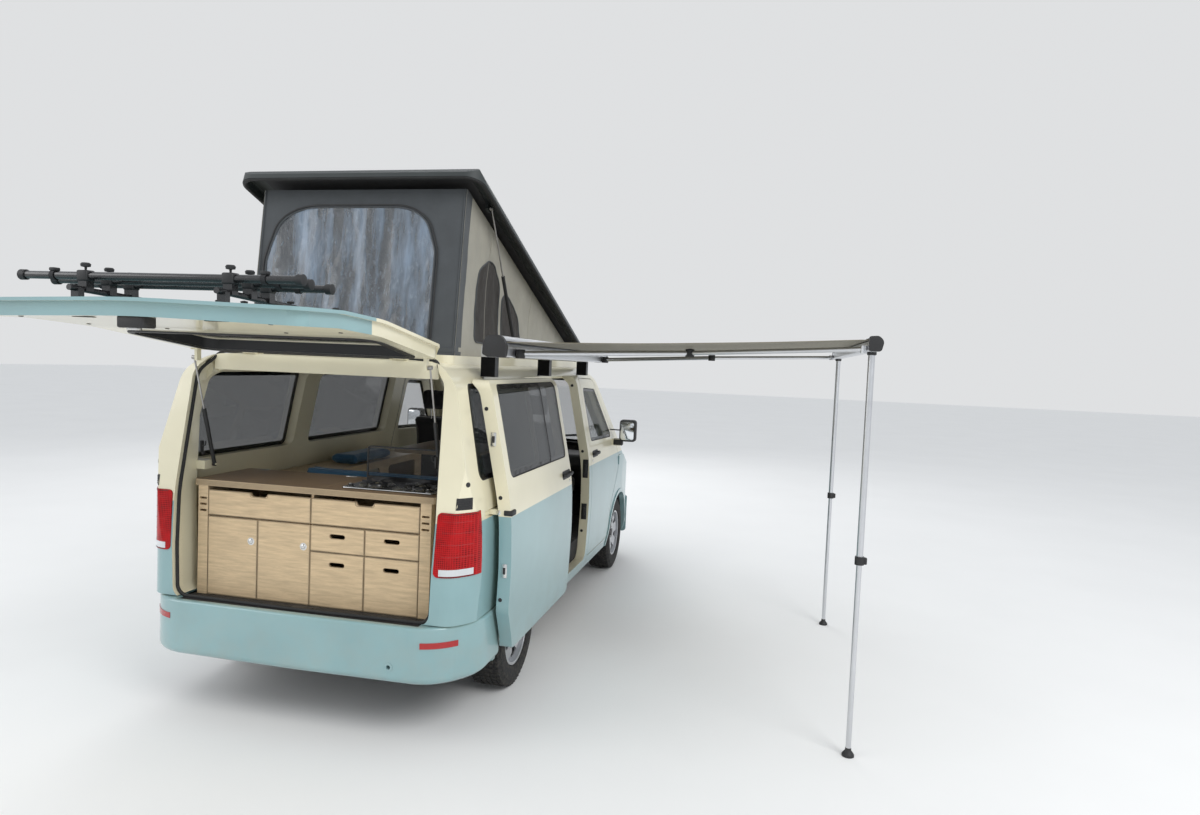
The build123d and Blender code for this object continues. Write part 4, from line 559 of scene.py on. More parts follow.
class Skin:
    """The outer surface of some CAD nodes, in van coordinates, that trim can be laid on."""

    def __init__(self, *names, matrix=VAN):
        back = matrix.inverted()
        points, faces = [], []
        for name in names:
            mesh = NODES[name].data
            first = len(points)
            points += [back @ vertex.co for vertex in mesh.vertices]
            faces += [[first + i for i in face.vertices] for face in mesh.polygons]
        self.tree = BVHTree.FromPolygons(points, faces)

    def meet(self, start, aim, lift=0.0):
        """Point where a line from start meets the surface, lifted off it, and the normal there."""
        hit, normal = self.tree.ray_cast(Vector(start), Vector(aim))[:2]
        if hit is None:
            raise RuntimeError(f"no surface ahead of {tuple(start)}")
        if normal.dot(Vector(aim)) > 0:
            normal = -normal
        return hit + normal * lift, normal

    def at(self, view, u, v, lift=0.0):
        """Surface point and normal behind a 2D point, as seen from one side of the van."""
        place, aim = VIEWS[view]
        return self.meet(place(u, v), aim, lift)

    def lay(self, points, view, lift=0.0):
        """Points and normals of a 2D line laid on the surface, as seen from one side of the van."""
        met = [self.at(view, u, v, lift) for u, v in points]
        return [p for p, n in met], [n for p, n in met]


# Profiles of small parts: (radius, height) rows for turned ones, (across, up) rows for long ones
PLUG = [(0.0, 0.004), (0.009, 0.003), (0.011, 0.0), (0.011, -0.002)]
KNOB = [(0.0, 0.012), (0.016, 0.012), (0.016, -0.0004), (0.0205, 0.0), (0.0195, 0.0004),
        (0.0125, 0.0005), (0.0118, 0.0), (0.0115, -0.0045), (0.009, -0.0066), (0.0, -0.007)]
WIPER_RUBBER = [(-0.003, -0.009), (0.003, -0.009), (0.004, 0.0), (0.002, 0.006), (-0.002, 0.006),
                (-0.004, 0.0)]
ROOF_RUBBER = [(-0.01, 0.003), (-0.01, -0.004), (-0.004, -0.008), (0.004, -0.008), (0.01, -0.004),
               (0.01, 0.003)]
VIEWS = {
    # where a (u, v) point starts from, and which way it is cast
    "right": (lambda u, v: (1.6, u, v), (-1, 0, 0)),
    "left": (lambda u, v: (-1.6, u, v), (1, 0, 0)),
    "back": (lambda u, v: (u, -3.4, v), (0, 1, 0)),
    "front": (lambda u, v: (u, 3.2, v), (0, -1, 0)),
    "inside": (lambda u, v: (u, -1.2, v), (0, -1, 0)),
    "cab": (lambda u, v: (u, 0.6, v), (0, 1, 0)),
    "under": (lambda u, v: (u, v, 1.99), (0, 0, 1)),
}


class Form:
    """Shapes in van coordinates, gathered into one piece."""

    def __init__(self, matrix=VAN):
        self.bm = bmesh.new()
        self.names = []
        self.matrix = matrix

    def take(self, bm, material, closed=True):
        if closed:
            bmesh.ops.recalc_face_normals(bm, faces=bm.faces)
        if material not in self.names:
            self.names.append(material)
        for face in bm.faces:
            face.material_index = self.names.index(material)
        return self.add(bm)

    def add(self, bm):
        mesh = as_mesh("part", bm)
        self.bm.from_mesh(mesh)
        bpy.data.meshes.remove(mesh)
        return self

    def faces(self, points, faces, material, closed=True):
        bm = bmesh.new()
        made = [bm.verts.new(point) for point in points]
        for face in faces:
            bm.faces.new([made[i] for i in face])
        if closed:
            bmesh.ops.remove_doubles(bm, verts=bm.verts, dist=1e-6)
        return self.take(bm, material, closed)

    def box(self, centre, size, material, radius=0.003, turn=None, segments=2):
        bm = bmesh.new()
        bmesh.ops.create_cube(bm, size=1)
        bmesh.ops.scale(bm, vec=size, verts=bm.verts)
        bmesh.ops.bevel(bm, geom=bm.edges[:], offset=min(radius, 0.42 * min(size)), segments=segments,
                        profile=0.5, affect="EDGES")
        spin = turn.to_4x4() if turn is not None else Matrix.Identity(4)
        bmesh.ops.transform(bm, matrix=Matrix.Translation(centre) @ spin, verts=bm.verts)
        return self.take(bm, material)

    def sweep(self, points, profile, material, up=Z, closed=False):
        """A (u, v) profile carried along points, with its v side towards up."""
        points = [Vector(p) for p in points]
        ups = up if isinstance(up, list) else [Vector(up)] * len(points)
        count, ring = len(points), len(profile)
        places = []
        for i, point in enumerate(points):
            ahead = points[(i + 1) % count] if closed or i < count - 1 else point
            behind = points[i - 1] if closed or i > 0 else point
            along = (ahead - behind).normalized()
            side = along.cross(ups[i]).normalized()
            rise = side.cross(along)
            places += [point + side * u + rise * v for u, v in profile]
        faces = quads(count, ring, closed)
        if not closed:
            faces.append(tuple(range(ring)))
            faces.append(tuple((count - 1) * ring + k for k in range(ring)))
        return self.faces(places, faces, material)

    def tube(self, points, radius, material, sides=12, closed=False, up=None):
        points = [Vector(p) for p in points]
        if up is None:
            run = points[1 if closed else -1] - points[0]
            up = Z if abs(run.normalized().z) < 0.8 else Y
        return self.sweep(points, oval(radius, radius, sides), material, up, closed)

    def lathe(self, profile, centre, axis, material, sides=32):
        """A profile of (radius, height) turned about an axis through centre, closed at its ends."""
        axis = Vector(axis).normalized()
        first = axis.orthogonal().normalized()
        second = axis.cross(first)
        places = []
        for radius, height in profile:
            for across, along in oval(1, 1, sides):
                turn = first * across + second * along
                places.append(Vector(centre) + axis * height + turn * radius)
        faces = quads(len(profile), sides)
        faces.append(tuple(range(sides)))
        faces.append(tuple((len(profile) - 1) * sides + k for k in range(sides)))
        return self.faces(places, faces, material)

    def plate(self, rim, centre, u_dir, v_dir, thickness, material, radius=0.001):
        """A flat outline given as (u, v) points, made thick along u x v, with softened edges."""
        u_dir, v_dir = Vector(u_dir), Vector(v_dir)
        out = u_dir.cross(v_dir).normalized()
        count = len(rim)
        places = []
        for lift in (-thickness / 2, thickness / 2):
            places += [Vector(centre) + u_dir * u + v_dir * v + out * lift for u, v in rim]
        bm = bmesh.new()
        made = [bm.verts.new(place) for place in places]
        low = bm.faces.new(made[:count])
        high = bm.faces.new(made[count:])
        for k in range(count):
            m = (k + 1) % count
            bm.faces.new((made[k], made[m], made[count + m], made[count + k]))
        if radius:
            rims = list(low.edges) + list(high.edges)
            bmesh.ops.bevel(bm, geom=rims, offset=min(radius, 0.4 * thickness), segments=2, profile=0.5,
                            affect="EDGES", clamp_overlap=True)
        return self.take(bm, material)

    def sheet(self, rows, material, thickness=0.0):
        """A grid of points as a skin, or as a closed sheet of some thickness below its normals."""
        high, wide = len(rows), len(rows[0])
        places = [Vector(p) for row in rows for p in row]
        cells = [(i * wide + j, i * wide + j + 1, (i + 1) * wide + j + 1, (i + 1) * wide + j)
                 for i in range(high - 1) for j in range(wide - 1)]
        if not thickness:
            return self.faces(places, cells, material, closed=False)
        normals = [Vector() for _ in places]
        for cell in cells:
            a, b, c, d = (places[i] for i in cell)
            normal = (c - a).cross(d - b)
            for i in cell:
                normals[i] += normal
        count = len(places)
        places += [p - n.normalized() * thickness for p, n in zip(places, normals)]
        rim = ([j for j in range(wide)] + [i * wide + wide - 1 for i in range(1, high)]
               + [(high - 1) * wide + j for j in range(wide - 2, -1, -1)]
               + [i * wide for i in range(high - 2, 0, -1)])
        faces = cells + [tuple(i + count for i in reversed(cell)) for cell in cells]
        for k in range(len(rim)):
            a, b = rim[k], rim[(k + 1) % len(rim)]
            faces.append((b, a, a + count, b + count))
        return self.faces(places, faces, material)

    def band(self, skin, rows, view, width, material, lift=0.0008):
        """A flat border laid on a surface inside an outline."""
        outer = inset(outline(rows), 0.0015)
        inner = inset(outer, width)
        rings = [skin.lay(line, view, high)[0] for line, high in
                 ((outer, lift), (inner, lift), (inner, -0.001), (outer, -0.001))]
        return self.faces(sum(rings, []), quads(4, len(outer), closed=True), material)

    def edging(self, rows, y):
        """Sanded ply edge round a front that faces the rear."""
        line = [(u, y, v) for u, v in inset(outline(rows, 0.02), 0.0022)]
        return self.sweep(line, strip(0.0022, 0.0006, 0.0022, 0.001), "ply_edge", Y, closed=True)

    def pad(self, skin, line, view, rise, slope, material):
        """A low pad laid on a surface inside a closed line, with sloping sides."""
        rings = [skin.lay(ring, view, high)[0] for ring, high in
                 ((line, -0.002), (line, 0.0006), (inset(line, slope), rise))]
        count = len(line)
        faces = [tuple(range(count)), tuple(range(2 * count, 3 * count))]
        return self.faces(sum(rings, []), faces + quads(3, count), material)

    def seal(self, skin, rows, view, radius, material, inside):
        """A rubber bead laid on a surface, some way inside an outline."""
        points, normals = skin.lay(inset(outline(rows), inside), view)
        return self.sweep(points, oval(radius, radius * 0.8, 8), material, normals, closed=True)

    def mirrored(self):
        """Adds the same shapes on the van's other side."""
        twin = self.bm.copy()
        bmesh.ops.transform(twin, matrix=MIRROR, verts=twin.verts)
        bmesh.ops.reverse_faces(twin, faces=twin.faces)
        return self.add(twin)

    def flip(self):
        """Moves the shapes to the van's other side."""
        bmesh.ops.transform(self.bm, matrix=MIRROR, verts=self.bm.verts)
        bmesh.ops.reverse_faces(self.bm, faces=self.bm.faces)
        return self

    def piece(self, name, body="van_body", slot=BLACK, angle=40):
        """Makes the shapes one object that rides on a body."""
        bmesh.ops.transform(self.bm, matrix=self.matrix, verts=self.bm.verts)
        mesh = as_mesh(name, self.bm)
        for face in mesh.polygons:
            face.use_smooth = True
        mesh.set_sharp_from_angle(angle=math.radians(angle))
        for material in self.names:
            mesh.materials.append(Finish.made[material])
        obj = placed(name, mesh)
        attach(obj, body)
        return obj


def pattern_tree(material):
    """Geometry nodes that copy a shape Count times, each copy one Step and one Turn further on."""
    tree = bpy.data.node_groups.new("copies", "GeometryNodeTree")
    inputs = {"Geometry": "Geometry", "Count": "Int", "Step": "Vector", "Turn": "Vector"}
    for label, kind in inputs.items():
        tree.interface.new_socket(label, in_out="INPUT", socket_type="NodeSocket" + kind)
    tree.interface.new_socket("Geometry", in_out="OUTPUT", socket_type="NodeSocketGeometry")
    new, link = tree.nodes.new, tree.links.new
    start, end = new("NodeGroupInput"), new("NodeGroupOutput")
    index = new("GeometryNodeInputIndex")
    points = new("GeometryNodePoints")
    copies = new("GeometryNodeInstanceOnPoints")
    realize = new("GeometryNodeRealizeInstances")
    paint = new("GeometryNodeSetMaterial")
    paint.inputs["Material"].default_value = material
    link(start.outputs["Count"], points.inputs["Count"])
    for label, target in (("Step", points.inputs["Position"]), ("Turn", copies.inputs["Rotation"])):
        scale = new("ShaderNodeVectorMath")
        scale.operation = "SCALE"
        link(start.outputs[label], scale.inputs[0])
        link(index.outputs[0], scale.inputs["Scale"])
        link(scale.outputs[0], target)
    link(points.outputs[0], copies.inputs["Points"])
    link(start.outputs["Geometry"], copies.inputs["Instance"])
    link(copies.outputs[0], realize.inputs[0])
    link(realize.outputs[0], paint.inputs["Geometry"])
    link(paint.outputs[0], end.inputs[0])
    return tree


def repeated(form, count, step=(0, 0, 0), turn=(0, 0, 0), start=(0, 0, 0)):
    """The form's shapes copied in a row or a ring by geometry nodes, and moved to their start."""
    obj = placed("copies", as_mesh("copies", form.bm))
    tree = pattern_tree(Finish.made[form.names[0]])
    modifier = obj.modifiers.new("copies", "NODES")
    modifier.node_group = tree
    values = {"Count": count, "Step": step, "Turn": turn}
    for item in tree.interface.items_tree:
        if item.in_out == "INPUT" and item.name in values:
            modifier[item.identifier] = values[item.name]
    settle(obj)
    result = Form(form.matrix)
    result.names = list(form.names)
    result.bm.from_mesh(obj.data)
    for face in result.bm.faces:
        face.material_index = 0
    bmesh.ops.translate(result.bm, vec=start, verts=result.bm.verts)
    bpy.data.objects.remove(obj)
    return result


def settle(obj):
    """The object's modifiers become its mesh."""
    bpy.context.view_layer.update()
    graph = bpy.context.evaluated_depsgraph_get()
    mesh = bpy.data.meshes.new_from_object(obj.evaluated_get(graph))
    obj.modifiers.clear()
    obj.data = mesh
    return obj


# Operators
class VAN_OT_finishes(bpy.types.Operator):
    """Make the van's materials and give them to the solid pieces"""

    bl_idname = "van.finishes"
    bl_label = "Finishes"

    def execute(self, context):
        self.paints(context.scene.van_paint)
        self.metals_and_plastics()
        self.cloths(context.scene.van_cloth)
        wood = context.scene.van_wood
        plywood("ply_front", wood.ply, "y")
        plywood("ply_side", wood.ply, "x")
        plywood("ply_top", wood.top, "z", edge=shade(wood.ply, 0.8))
        plain_finish("ply_edge", shade(wood.ply, 0.55), 0.6, vary=0.3, grain=120.0, bump=0.2)
        for material, names in NODE_FINISHES.items():
            assign(material, *names)
        for corner in ("front_left", "front_right", "rear_left", "rear_right"):
            assign("tyre_rubber", "tyre_" + corner)
            assign("wheel_silver", "rim_" + corner)
        return {"FINISHED"}

    def paints(self, paint):
        paint_finish("body_paint")
        paint_finish("right_wall_paint", outside=(1.0, 0.0, 0.0), wall=True)
        paint_finish("right_door_paint", outside=(1.0, 0.0, 0.0), turned=-0.3)
        paint_finish("left_wall_paint", outside=(-1.0, 0.0, 0.0), wall=True, ahead=0.43)
        plain_finish("cream_paint", tuple(paint.upper), 0.3, vary=0.04, grain=90.0, bump=0.04,
                     Coat_Weight=0.5)
        paint_finish("blue_paint", lower_only=True)
        up = TAILGATE.to_3x3() @ Z
        pivot = Vector(JOINTS["tailgate_hinge"]["pos_m"])
        out = -(TAILGATE.to_3x3() @ Y)
        paint_finish("tailgate_paint", tuple(up), pivot.dot(up) - pivot.z, tuple(out), turned=-0.4)
        plain_finish("roof_shell", tuple(paint.shell), 0.52, grain=180.0, bump=0.1)

    def metals_and_plastics(self):
        for name, (colour, rough, vary, grain, bump, sockets) in PLAIN_FINISHES.items():
            plain_finish(name, colour, rough, vary, grain, bump, **sockets)
        lamp_lens("tail_lens")
        hob_finish("hob_enamel", LID_GLASS_Z)
        case_finish("case_silver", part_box("awning_case")[1].z - 0.119)
        pane("privacy_glass", (0.012, 0.016, 0.016), 0.62)
        pane("clear_glass", (0.05, 0.07, 0.07), 0.28)
        pane("clear_lens", (0.62, 0.68, 0.72), 0.3, 0.05)
        dusty("tyre_rubber", (0.02, 0.02, 0.021), (0.15, 0.135, 0.11),
              0.45, 0.8, 0.82, 45.0, 0.3, 0.0006)
        dusty("underbody_wax", (0.022, 0.022, 0.023), (0.23, 0.2, 0.165),
              0.5, 0.8, 0.78, 18.0, 0.35, 0.002)

    def cloths(self, cloth):
        woven("canvas_rear", tuple(cloth.canvas_rear), 1500.0, 0.8, 0.12, 0.25, 0.15, creases=0.25)
        woven("canvas_side", tuple(cloth.canvas_side), 1500.0, 0.85, 0.1, 0.25, 0.2, creases=0.25)
        woven("awning_cloth", tuple(cloth.awning), 1200.0, 0.75, 0.1, 0.2, 0.15)
        woven("cushion_cloth", tuple(cloth.cushion), 900.0, 0.9, 0.15, 0.45, 0.4)
        woven("seat_cloth", tuple(cloth.seat), 900.0, 0.9, 0.15, 0.45, 0.4)
        woven("webbing", (0.025, 0.025, 0.027), 1400.0, 0.7, 0.1, 0.6, 0.1)
        crinkled_film("clear_film")
        mesh_net("insect_net", (0.045, 0.04, 0.036))


PLAIN_FINISHES = {
    # colour, roughness, how far the colour varies, fineness and strength of the grain, other sockets
    "shell_liner": ((0.045, 0.045, 0.047), 0.85, 0.12, 160, 0.3, {}),
    "black_plastic": ((0.02, 0.02, 0.021), 0.55, 0.12, 220, 0.22, {}),
    "black_paint": ((0.012, 0.012, 0.013), 0.28, 0.12, 90, 0.04, {"Coat_Weight": 0.5}),
    "grey_plastic": ((0.1, 0.1, 0.105), 0.6, 0.12, 240, 0.25, {}),
    "anodised": ((0.66, 0.67, 0.69), 0.34, 0.06, 40, 0.03, {"Metallic": 1.0}),
    "mirror_glass": ((0.75, 0.78, 0.8), 0.05, 0.03, 8, 0.01, {"Metallic": 1.0}),
    "wheel_silver": ((0.5, 0.51, 0.53), 0.32, 0.1, 90, 0.05, {"Metallic": 0.7, "Coat_Weight": 0.3}),
    "bare_steel": ((0.4, 0.39, 0.38), 0.42, 0.25, 30, 0.1, {"Metallic": 0.9}),
    "bright_steel": ((0.68, 0.68, 0.67), 0.22, 0.06, 50, 0.04, {"Metallic": 1.0}),
    "cast_metal": ((0.11, 0.11, 0.115), 0.62, 0.25, 40, 0.3, {"Metallic": 0.6}),
    "red_lens": ((0.4, 0.006, 0.008), 0.16, 0.12, 20, 0.02, {"Coat_Weight": 0.5}),
    "white_lens": ((0.62, 0.64, 0.66), 0.1, 0.12, 20, 0.02, {"Coat_Weight": 0.8}),
    "amber_lens": ((0.65, 0.22, 0.02), 0.12, 0.12, 20, 0.02, {"Coat_Weight": 0.8}),
    "seal_rubber": ((0.022, 0.022, 0.023), 0.75, 0.25, 130, 0.25, {}),
    "frit": ((0.01, 0.01, 0.011), 0.25, 0.1, 300, 0.03, {}),
    "white_plate": ((0.72, 0.72, 0.7), 0.4, 0.04, 120, 0.05, {}),
    # near-black for hand holes, open holes and dial recesses: painted shade inside them
    "painted_recess_shade": ((0.004, 0.004, 0.004), 0.9, 0.12, 90, 0.1, {}),
}

NODE_FINISHES = {
    "body_paint": ("roof_panel",),
    "right_wall_paint": ("side_right",),
    "right_door_paint": ("sliding_door", "door_right"),
    "left_wall_paint": ("side_left", "door_left"),
    "tailgate_paint": ("tailgate",),
    "blue_paint": ("bonnet", "front_bumper", "rear_bumper", "front_wings"),
    "roof_shell": ("poptop_shell",),
    "black_plastic": ("grille", "dashboard", "rear_sill", "tailgate_strut_tubes", "poptop_strut_tubes"),
    "black_paint": ("cycle_rack",),
    "hob_enamel": ("hob",),
    "tail_lens": ("tail_lamps",),
    "clear_lens": ("headlamps",),
    "privacy_glass": ("side_glass", "tailgate_glass"),
    "clear_glass": ("windscreen", "door_glass_right", "door_glass_left"),
    "underbody_wax": ("floor_pan", "bulkhead", "front_axle", "rear_axle"),
    "cast_metal": ("engine", "knuckle_right", "knuckle_left"),
    "bare_steel": ("exhaust", "tailgate_strut_rods", "poptop_strut_rods"),
    "ply_front": ("kitchen_carcass", "kitchen_fronts", "kitchen_drawer_left", "kitchen_drawer_right"),
    "ply_side": ("side_units",),
    "ply_top": ("worktop", "table"),
    "cushion_cloth": ("bench_cushions",),
    "seat_cloth": ("front_seats",),
    "case_silver": ("awning_case",),
    "anodised": ("awning_rail", "awning_arms", "awning_legs"),
    "awning_cloth": ("awning_fabric",),
    "canvas_side": ("roof_canvas",),
}

# Roof tent: where its walls stand, in van coordinates
TENT_BASE = 1.997
TENT_HALF = 0.64
TENT_REAR = (-1.96, -1.85)
TENT_FRONT = 0.7


def tent_top(y):
    """Height of the raised shell's underside over the canvas at y."""
    pivot = Vector(JOINTS["roof_hinge"]["pos_m"]) - ORIGIN
    slope = math.tan(math.radians(JOINTS["roof_hinge"]["range_deg"][1]))
    return pivot.z + (pivot.y - y) * slope - 0.008


class VAN_OT_roof_canvas(bpy.types.Operator):
    """Sew the roof tent: four walls of cloth, clear rear window, net side windows, zips"""

    bl_idname = "van.roof_canvas"
    bl_label = "Roof Canvas"

    def execute(self, context):
        self.folds = context.scene.van_cloth.folds
        self.rear_wall()
        for side, name in SIDES:
            self.side_wall(side, name)
        self.front_wall()
        return {"FINISHED"}

    def crease(self, place, seed):
        """Small uneven folds at a place on the cloth."""
        long_fold = noise.noise(Vector((place.x * 9 + seed, place.y * 9, place.z * 1.6)))
        crumple = noise.noise(Vector((place.x * 26, place.y * 26 + seed, place.z * 14)))
        return self.folds * (0.28 * long_fold + 0.1 * crumple)

    def rear_at(self, s, t, lift=0.0):
        """Rear wall point: s from left to right, t from foot to top."""
        x = TENT_HALF * (2 * s - 1)
        y = TENT_REAR[0] + (TENT_REAR[1] - TENT_REAR[0]) * t
        z = TENT_BASE + (tent_top(TENT_REAR[1]) - TENT_BASE) * t
        loose = math.sin(math.pi * t) * math.sin(math.pi * s) ** 0.6
        place = Vector((x, y, z))
        hang = self.folds * 0.5 * loose - self.crease(place, 3.0) * min(1, 4 * loose)
        return Vector((x, y + hang - lift, z))

    def side_at(self, y, t, side, lift=0.0):
        """Side wall point: y along the van, t from foot to top."""
        rear = TENT_REAR[0] + (TENT_REAR[1] - TENT_REAR[0]) * t
        share = (y - TENT_REAR[0]) / (TENT_FRONT - TENT_REAR[0])
        y = rear + (TENT_FRONT - rear) * share
        z = TENT_BASE + (tent_top(y) - TENT_BASE) * t
        height = (tent_top(y) - TENT_BASE) / 0.93
        loose = math.sin(math.pi * t) * min(1, 8 * share) * height
        place = Vector((side, y, z))
        hang = self.folds * 0.9 * loose - self.crease(place, 11.0 * side) * min(1, 3 * loose)
        return Vector((side * (TENT_HALF - hang + lift), y, z))

    def hung(self, form, name):
        """One piece of the canvas, attached to the van's body."""
        obj = form.piece(name, slot="canvas")
        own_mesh(obj)
        return obj

    def rear_wall(self):
        wall = Form()
        rows = [[self.rear_at(i / 72, j / 52) for i in range(73)] for j in range(53)]
        wall.sheet(rows, "canvas_rear", CLOTH)
        cloth = self.hung(wall, "canvas_rear_wall")
        rim = outline([(0.04, 0.06, 0.05), (0.87, 0.06, 0.05), (0.87, 0.62, 0.25), (0.8, 0.89, 0.18),
                       (0.12, 0.89, 0.22), (0.04, 0.56, 0.25)], 0.02)
        window = Form()
        self.fill(window, rim, lambda u, v: self.rear_at(u, v, 0.004), "clear_film", 60, 44)
        film = self.hung(window, "canvas_rear_window")
        trim = Form()
        edge = [self.rear_at(u, v, 0.005) for u, v in rim]
        trim.tube(edge, 0.0045, "canvas_rear", 8, closed=True, up=Y)
        zip_line = [self.rear_at(u, v, 0.006) for u, v in inset(rim, -0.014)]
        trim.sweep(zip_line, strip(0.004, 0.001, 0.004, 0.002), BLACK, Y, closed=True)
        for s in (0.008, 0.992):
            seam = [self.rear_at(s, t / 40, 0.003) for t in range(41)]
            trim.tube(seam, 0.004, "canvas_rear", 8, up=Y)
        hem = [self.rear_at(s / 40, 0.03, 0.003) for s in range(41)]
        trim.sweep(hem, strip(0.012, 0.001), "canvas_rear", Y)
        seams = self.hung(trim, "canvas_rear_seams")
        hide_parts("roof_canvas")

    def fill(self, form, rim, place, material, wide, high):
        """A patch inside a closed (u, v) rim, as a grid whose rows end on the rim."""
        lows, highs = min(p.y for p in rim), max(p.y for p in rim)
        rows = []
        for j in range(high + 1):
            v = lows + (highs - lows) * (0.003 + 0.994 * j / high)
            cuts = []
            for a, b in zip(rim, rim[1:] + rim[:1]):
                if (a.y - v) * (b.y - v) < 0:
                    cuts.append(a.x + (b.x - a.x) * (v - a.y) / (b.y - a.y))
            left, right = min(cuts), max(cuts)
            rows.append([place(left + (right - left) * i / wide, v) for i in range(wide + 1)])
        form.sheet(rows, material, 0.0008)

    def side_wall(self, side, name):
        wall = Form()
        stations = [TENT_REAR[0] + (TENT_FRONT - TENT_REAR[0]) * (i / 110) for i in range(111)]
        rows = [[self.side_at(y, j / 44, side) for y in stations] for j in range(45)]
        if side < 0:
            rows = turned_over(rows)
        wall.sheet(rows, "canvas_side", CLOTH)
        cloth = self.hung(wall, f"canvas_{name}_wall")
        trim = Form()
        dark = [[self.side_at(TENT_REAR[0] + 0.085 * i / 6, j / 44, side, 0.0015) for i in range(7)]
                for j in range(45)]
        if side < 0:
            dark = turned_over(dark)
        trim.sheet(dark, "canvas_rear", 0.0008)
        net = Form()
        for rim_rows in NET_WINDOWS:
            rim = outline(rim_rows)
            self.net_patch(net, rim, side)
            edge = [self.side_at(y, t, side, 0.003) for y, t in rim]
            trim.tube(edge, 0.004, "canvas_rear", 8, closed=True, up=X)
        windows = self.hung(net, f"canvas_{name}_windows")
        for y in (-1.5, -0.62):
            seam = [self.side_at(y, k / 30, side, 0.001) for k in range(31)]
            trim.tube(seam, 0.0022, "canvas_side", 6, up=X)
        hem = [self.side_at(y, 0.035, side, 0.001) for y in stations[2:-6]]
        trim.sweep(hem, strip(0.001, 0.012), "canvas_side", Z)
        seams = self.hung(trim, f"canvas_{name}_seams")

    def net_patch(self, form, rim, side):
        stand_in = Form()
        self.fill(stand_in, rim, lambda y, t: self.side_at(y, t, side, 0.002), "insect_net", 40, 30)
        if side < 0:
            bmesh.ops.reverse_faces(stand_in.bm, faces=stand_in.bm.faces)
        form.take(stand_in.bm, "insect_net", closed=False)

    def front_wall(self):
        wall = Form()
        rows = []
        for j in range(5):
            z = TENT_BASE + (tent_top(TENT_FRONT) - TENT_BASE) * j / 4
            rows.append([Vector((TENT_HALF * (1 - i / 20), TENT_FRONT, z)) for i in range(41)])
        wall.sheet(rows, "canvas_side", CLOTH)
        cloth = self.hung(wall, "canvas_front_wall")


NET_WINDOWS = [
    # (y, share of the wall's height, corner radius) around each half of the side window
    [(-1.66, 0.1, 0.04), (-1.27, 0.1, 0.02), (-1.27, 0.66, 0.12), (-1.45, 0.8, 0.14), (-1.64, 0.62, 0.2)],
    [(-1.21, 0.1, 0.02), (-0.8, 0.1, 0.06), (-0.88, 0.52, 0.25), (-1.21, 0.68, 0.1)],
]


class VAN_OT_awning(bpy.types.Operator):
    """Stretch the awning cloth between its case and its rail, with hems and seams"""

    bl_idname = "van.awning"
    bl_label = "Awning"

    def execute(self, context):
        low, high = (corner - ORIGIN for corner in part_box("awning_fabric"))
        sag = context.scene.van_cloth.sag
        rows = []
        for j in range(61):
            share = j / 60
            row = []
            for i in range(41):
                t = i / 40
                x = low.x + 0.004 + (high.x - low.x - 0.006) * t
                y = low.y + (high.y - low.y) * share
                ripple = 0.0025 * noise.noise(Vector((x * 2.2, y * 3.5, 0.7)))
                z = 2.0785 + (high.z - 0.0015 - 2.0785) * t
                belly = sag * math.sin(math.pi * t) * (0.65 + 0.35 * math.sin(math.pi * share))
                row.append(Vector((x, y, z - belly + ripple * math.sin(math.pi * t))))
            rows.append(row)
        sheet = Form().sheet(rows, "awning_cloth", CLOTH)
        cloth = sheet.piece("awning_cloth", "van_body", "awning_cloth")
        trim = Form()
        for edge in (0.006, 0.994):
            j = round(edge * 60)
            line = [p + Vector((0, 0.009 if j == 0 else -0.009, 0.0006)) for p in rows[j]]
            trim.sweep(line, strip(0.009, 0.0012), "awning_cloth")
        for k in (15, 30, 45):
            trim.tube([p + Vector((0, 0, 0.0004)) for p in rows[k]], 0.0012, "awning_cloth", 6)
        hem = trim.piece("awning_cloth_hems", "van_body", "awning_cloth")
        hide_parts("awning_fabric")
        return {"FINISHED"}


def swollen(name, size, cap, context, voxel=0.01, slack=0.012):
    """Closed pad about the origin, blown up inside a limit, as a mesh."""
    bm = bmesh.new()
    bmesh.ops.create_cube(bm, size=1)
    bmesh.ops.scale(bm, vec=[s - 2 * slack for s in size], verts=bm.verts)
    bmesh.ops.bevel(bm, geom=bm.edges[:], offset=min(0.022, 0.3 * min(size)), segments=3, profile=0.5,
                    affect="EDGES")
    obj = placed(name, as_mesh(name, bm))
    remesh = obj.modifiers.new("remesh", "REMESH")
    remesh.mode = "VOXEL"
    remesh.voxel_size = voxel
    settle(obj)
    start = [vertex.co.copy() for vertex in obj.data.vertices]
    moved = self_inflated(obj, context)
    for vertex, old, new in zip(obj.data.vertices, start, moved):
        step = new - old
        if step.length > cap:
            step *= cap / step.length
        co = old + step
        vertex.co = [max(-s / 2, min(s / 2, c)) for c, s in zip(co, size)]
    smooth = obj.modifiers.new("smooth", "SUBSURF")
    smooth.levels = smooth.render_levels = 1
    settle(obj)
    mesh = obj.data
    bpy.data.objects.remove(obj)
    return mesh


def self_inflated(obj, context):
    """Where cloth simulation under pressure moves the object's points."""
    cloth = obj.modifiers.new("cloth", "CLOTH")
    cloth.settings.use_pressure = True
    cloth.settings.uniform_pressure_force = context.scene.van_cloth.pressure
    cloth.settings.effector_weights.gravity = 0
    cloth.settings.quality = 4
    cloth.point_cache.frame_start = 1
    cloth.point_cache.frame_end = 20
    for number in range(1, 21):
        context.scene.frame_set(number)
    graph = context.evaluated_depsgraph_get()
    moved = [vertex.co.copy() for vertex in obj.evaluated_get(graph).data.vertices]
    obj.modifiers.clear()
    context.scene.frame_set(1)
    return moved


def padded_piece(name, mesh, matrix, body, material):
    """A pad's mesh set in its place on a body, smooth shaded, with its finish."""
    mesh = mesh.copy()
    mesh.transform(VAN @ matrix)
    mesh.materials.clear()
    mesh.materials.append(Finish.made[material])
    for face in mesh.polygons:
        face.use_smooth = True
    obj = placed(name, mesh)
    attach(obj, body)
    return obj


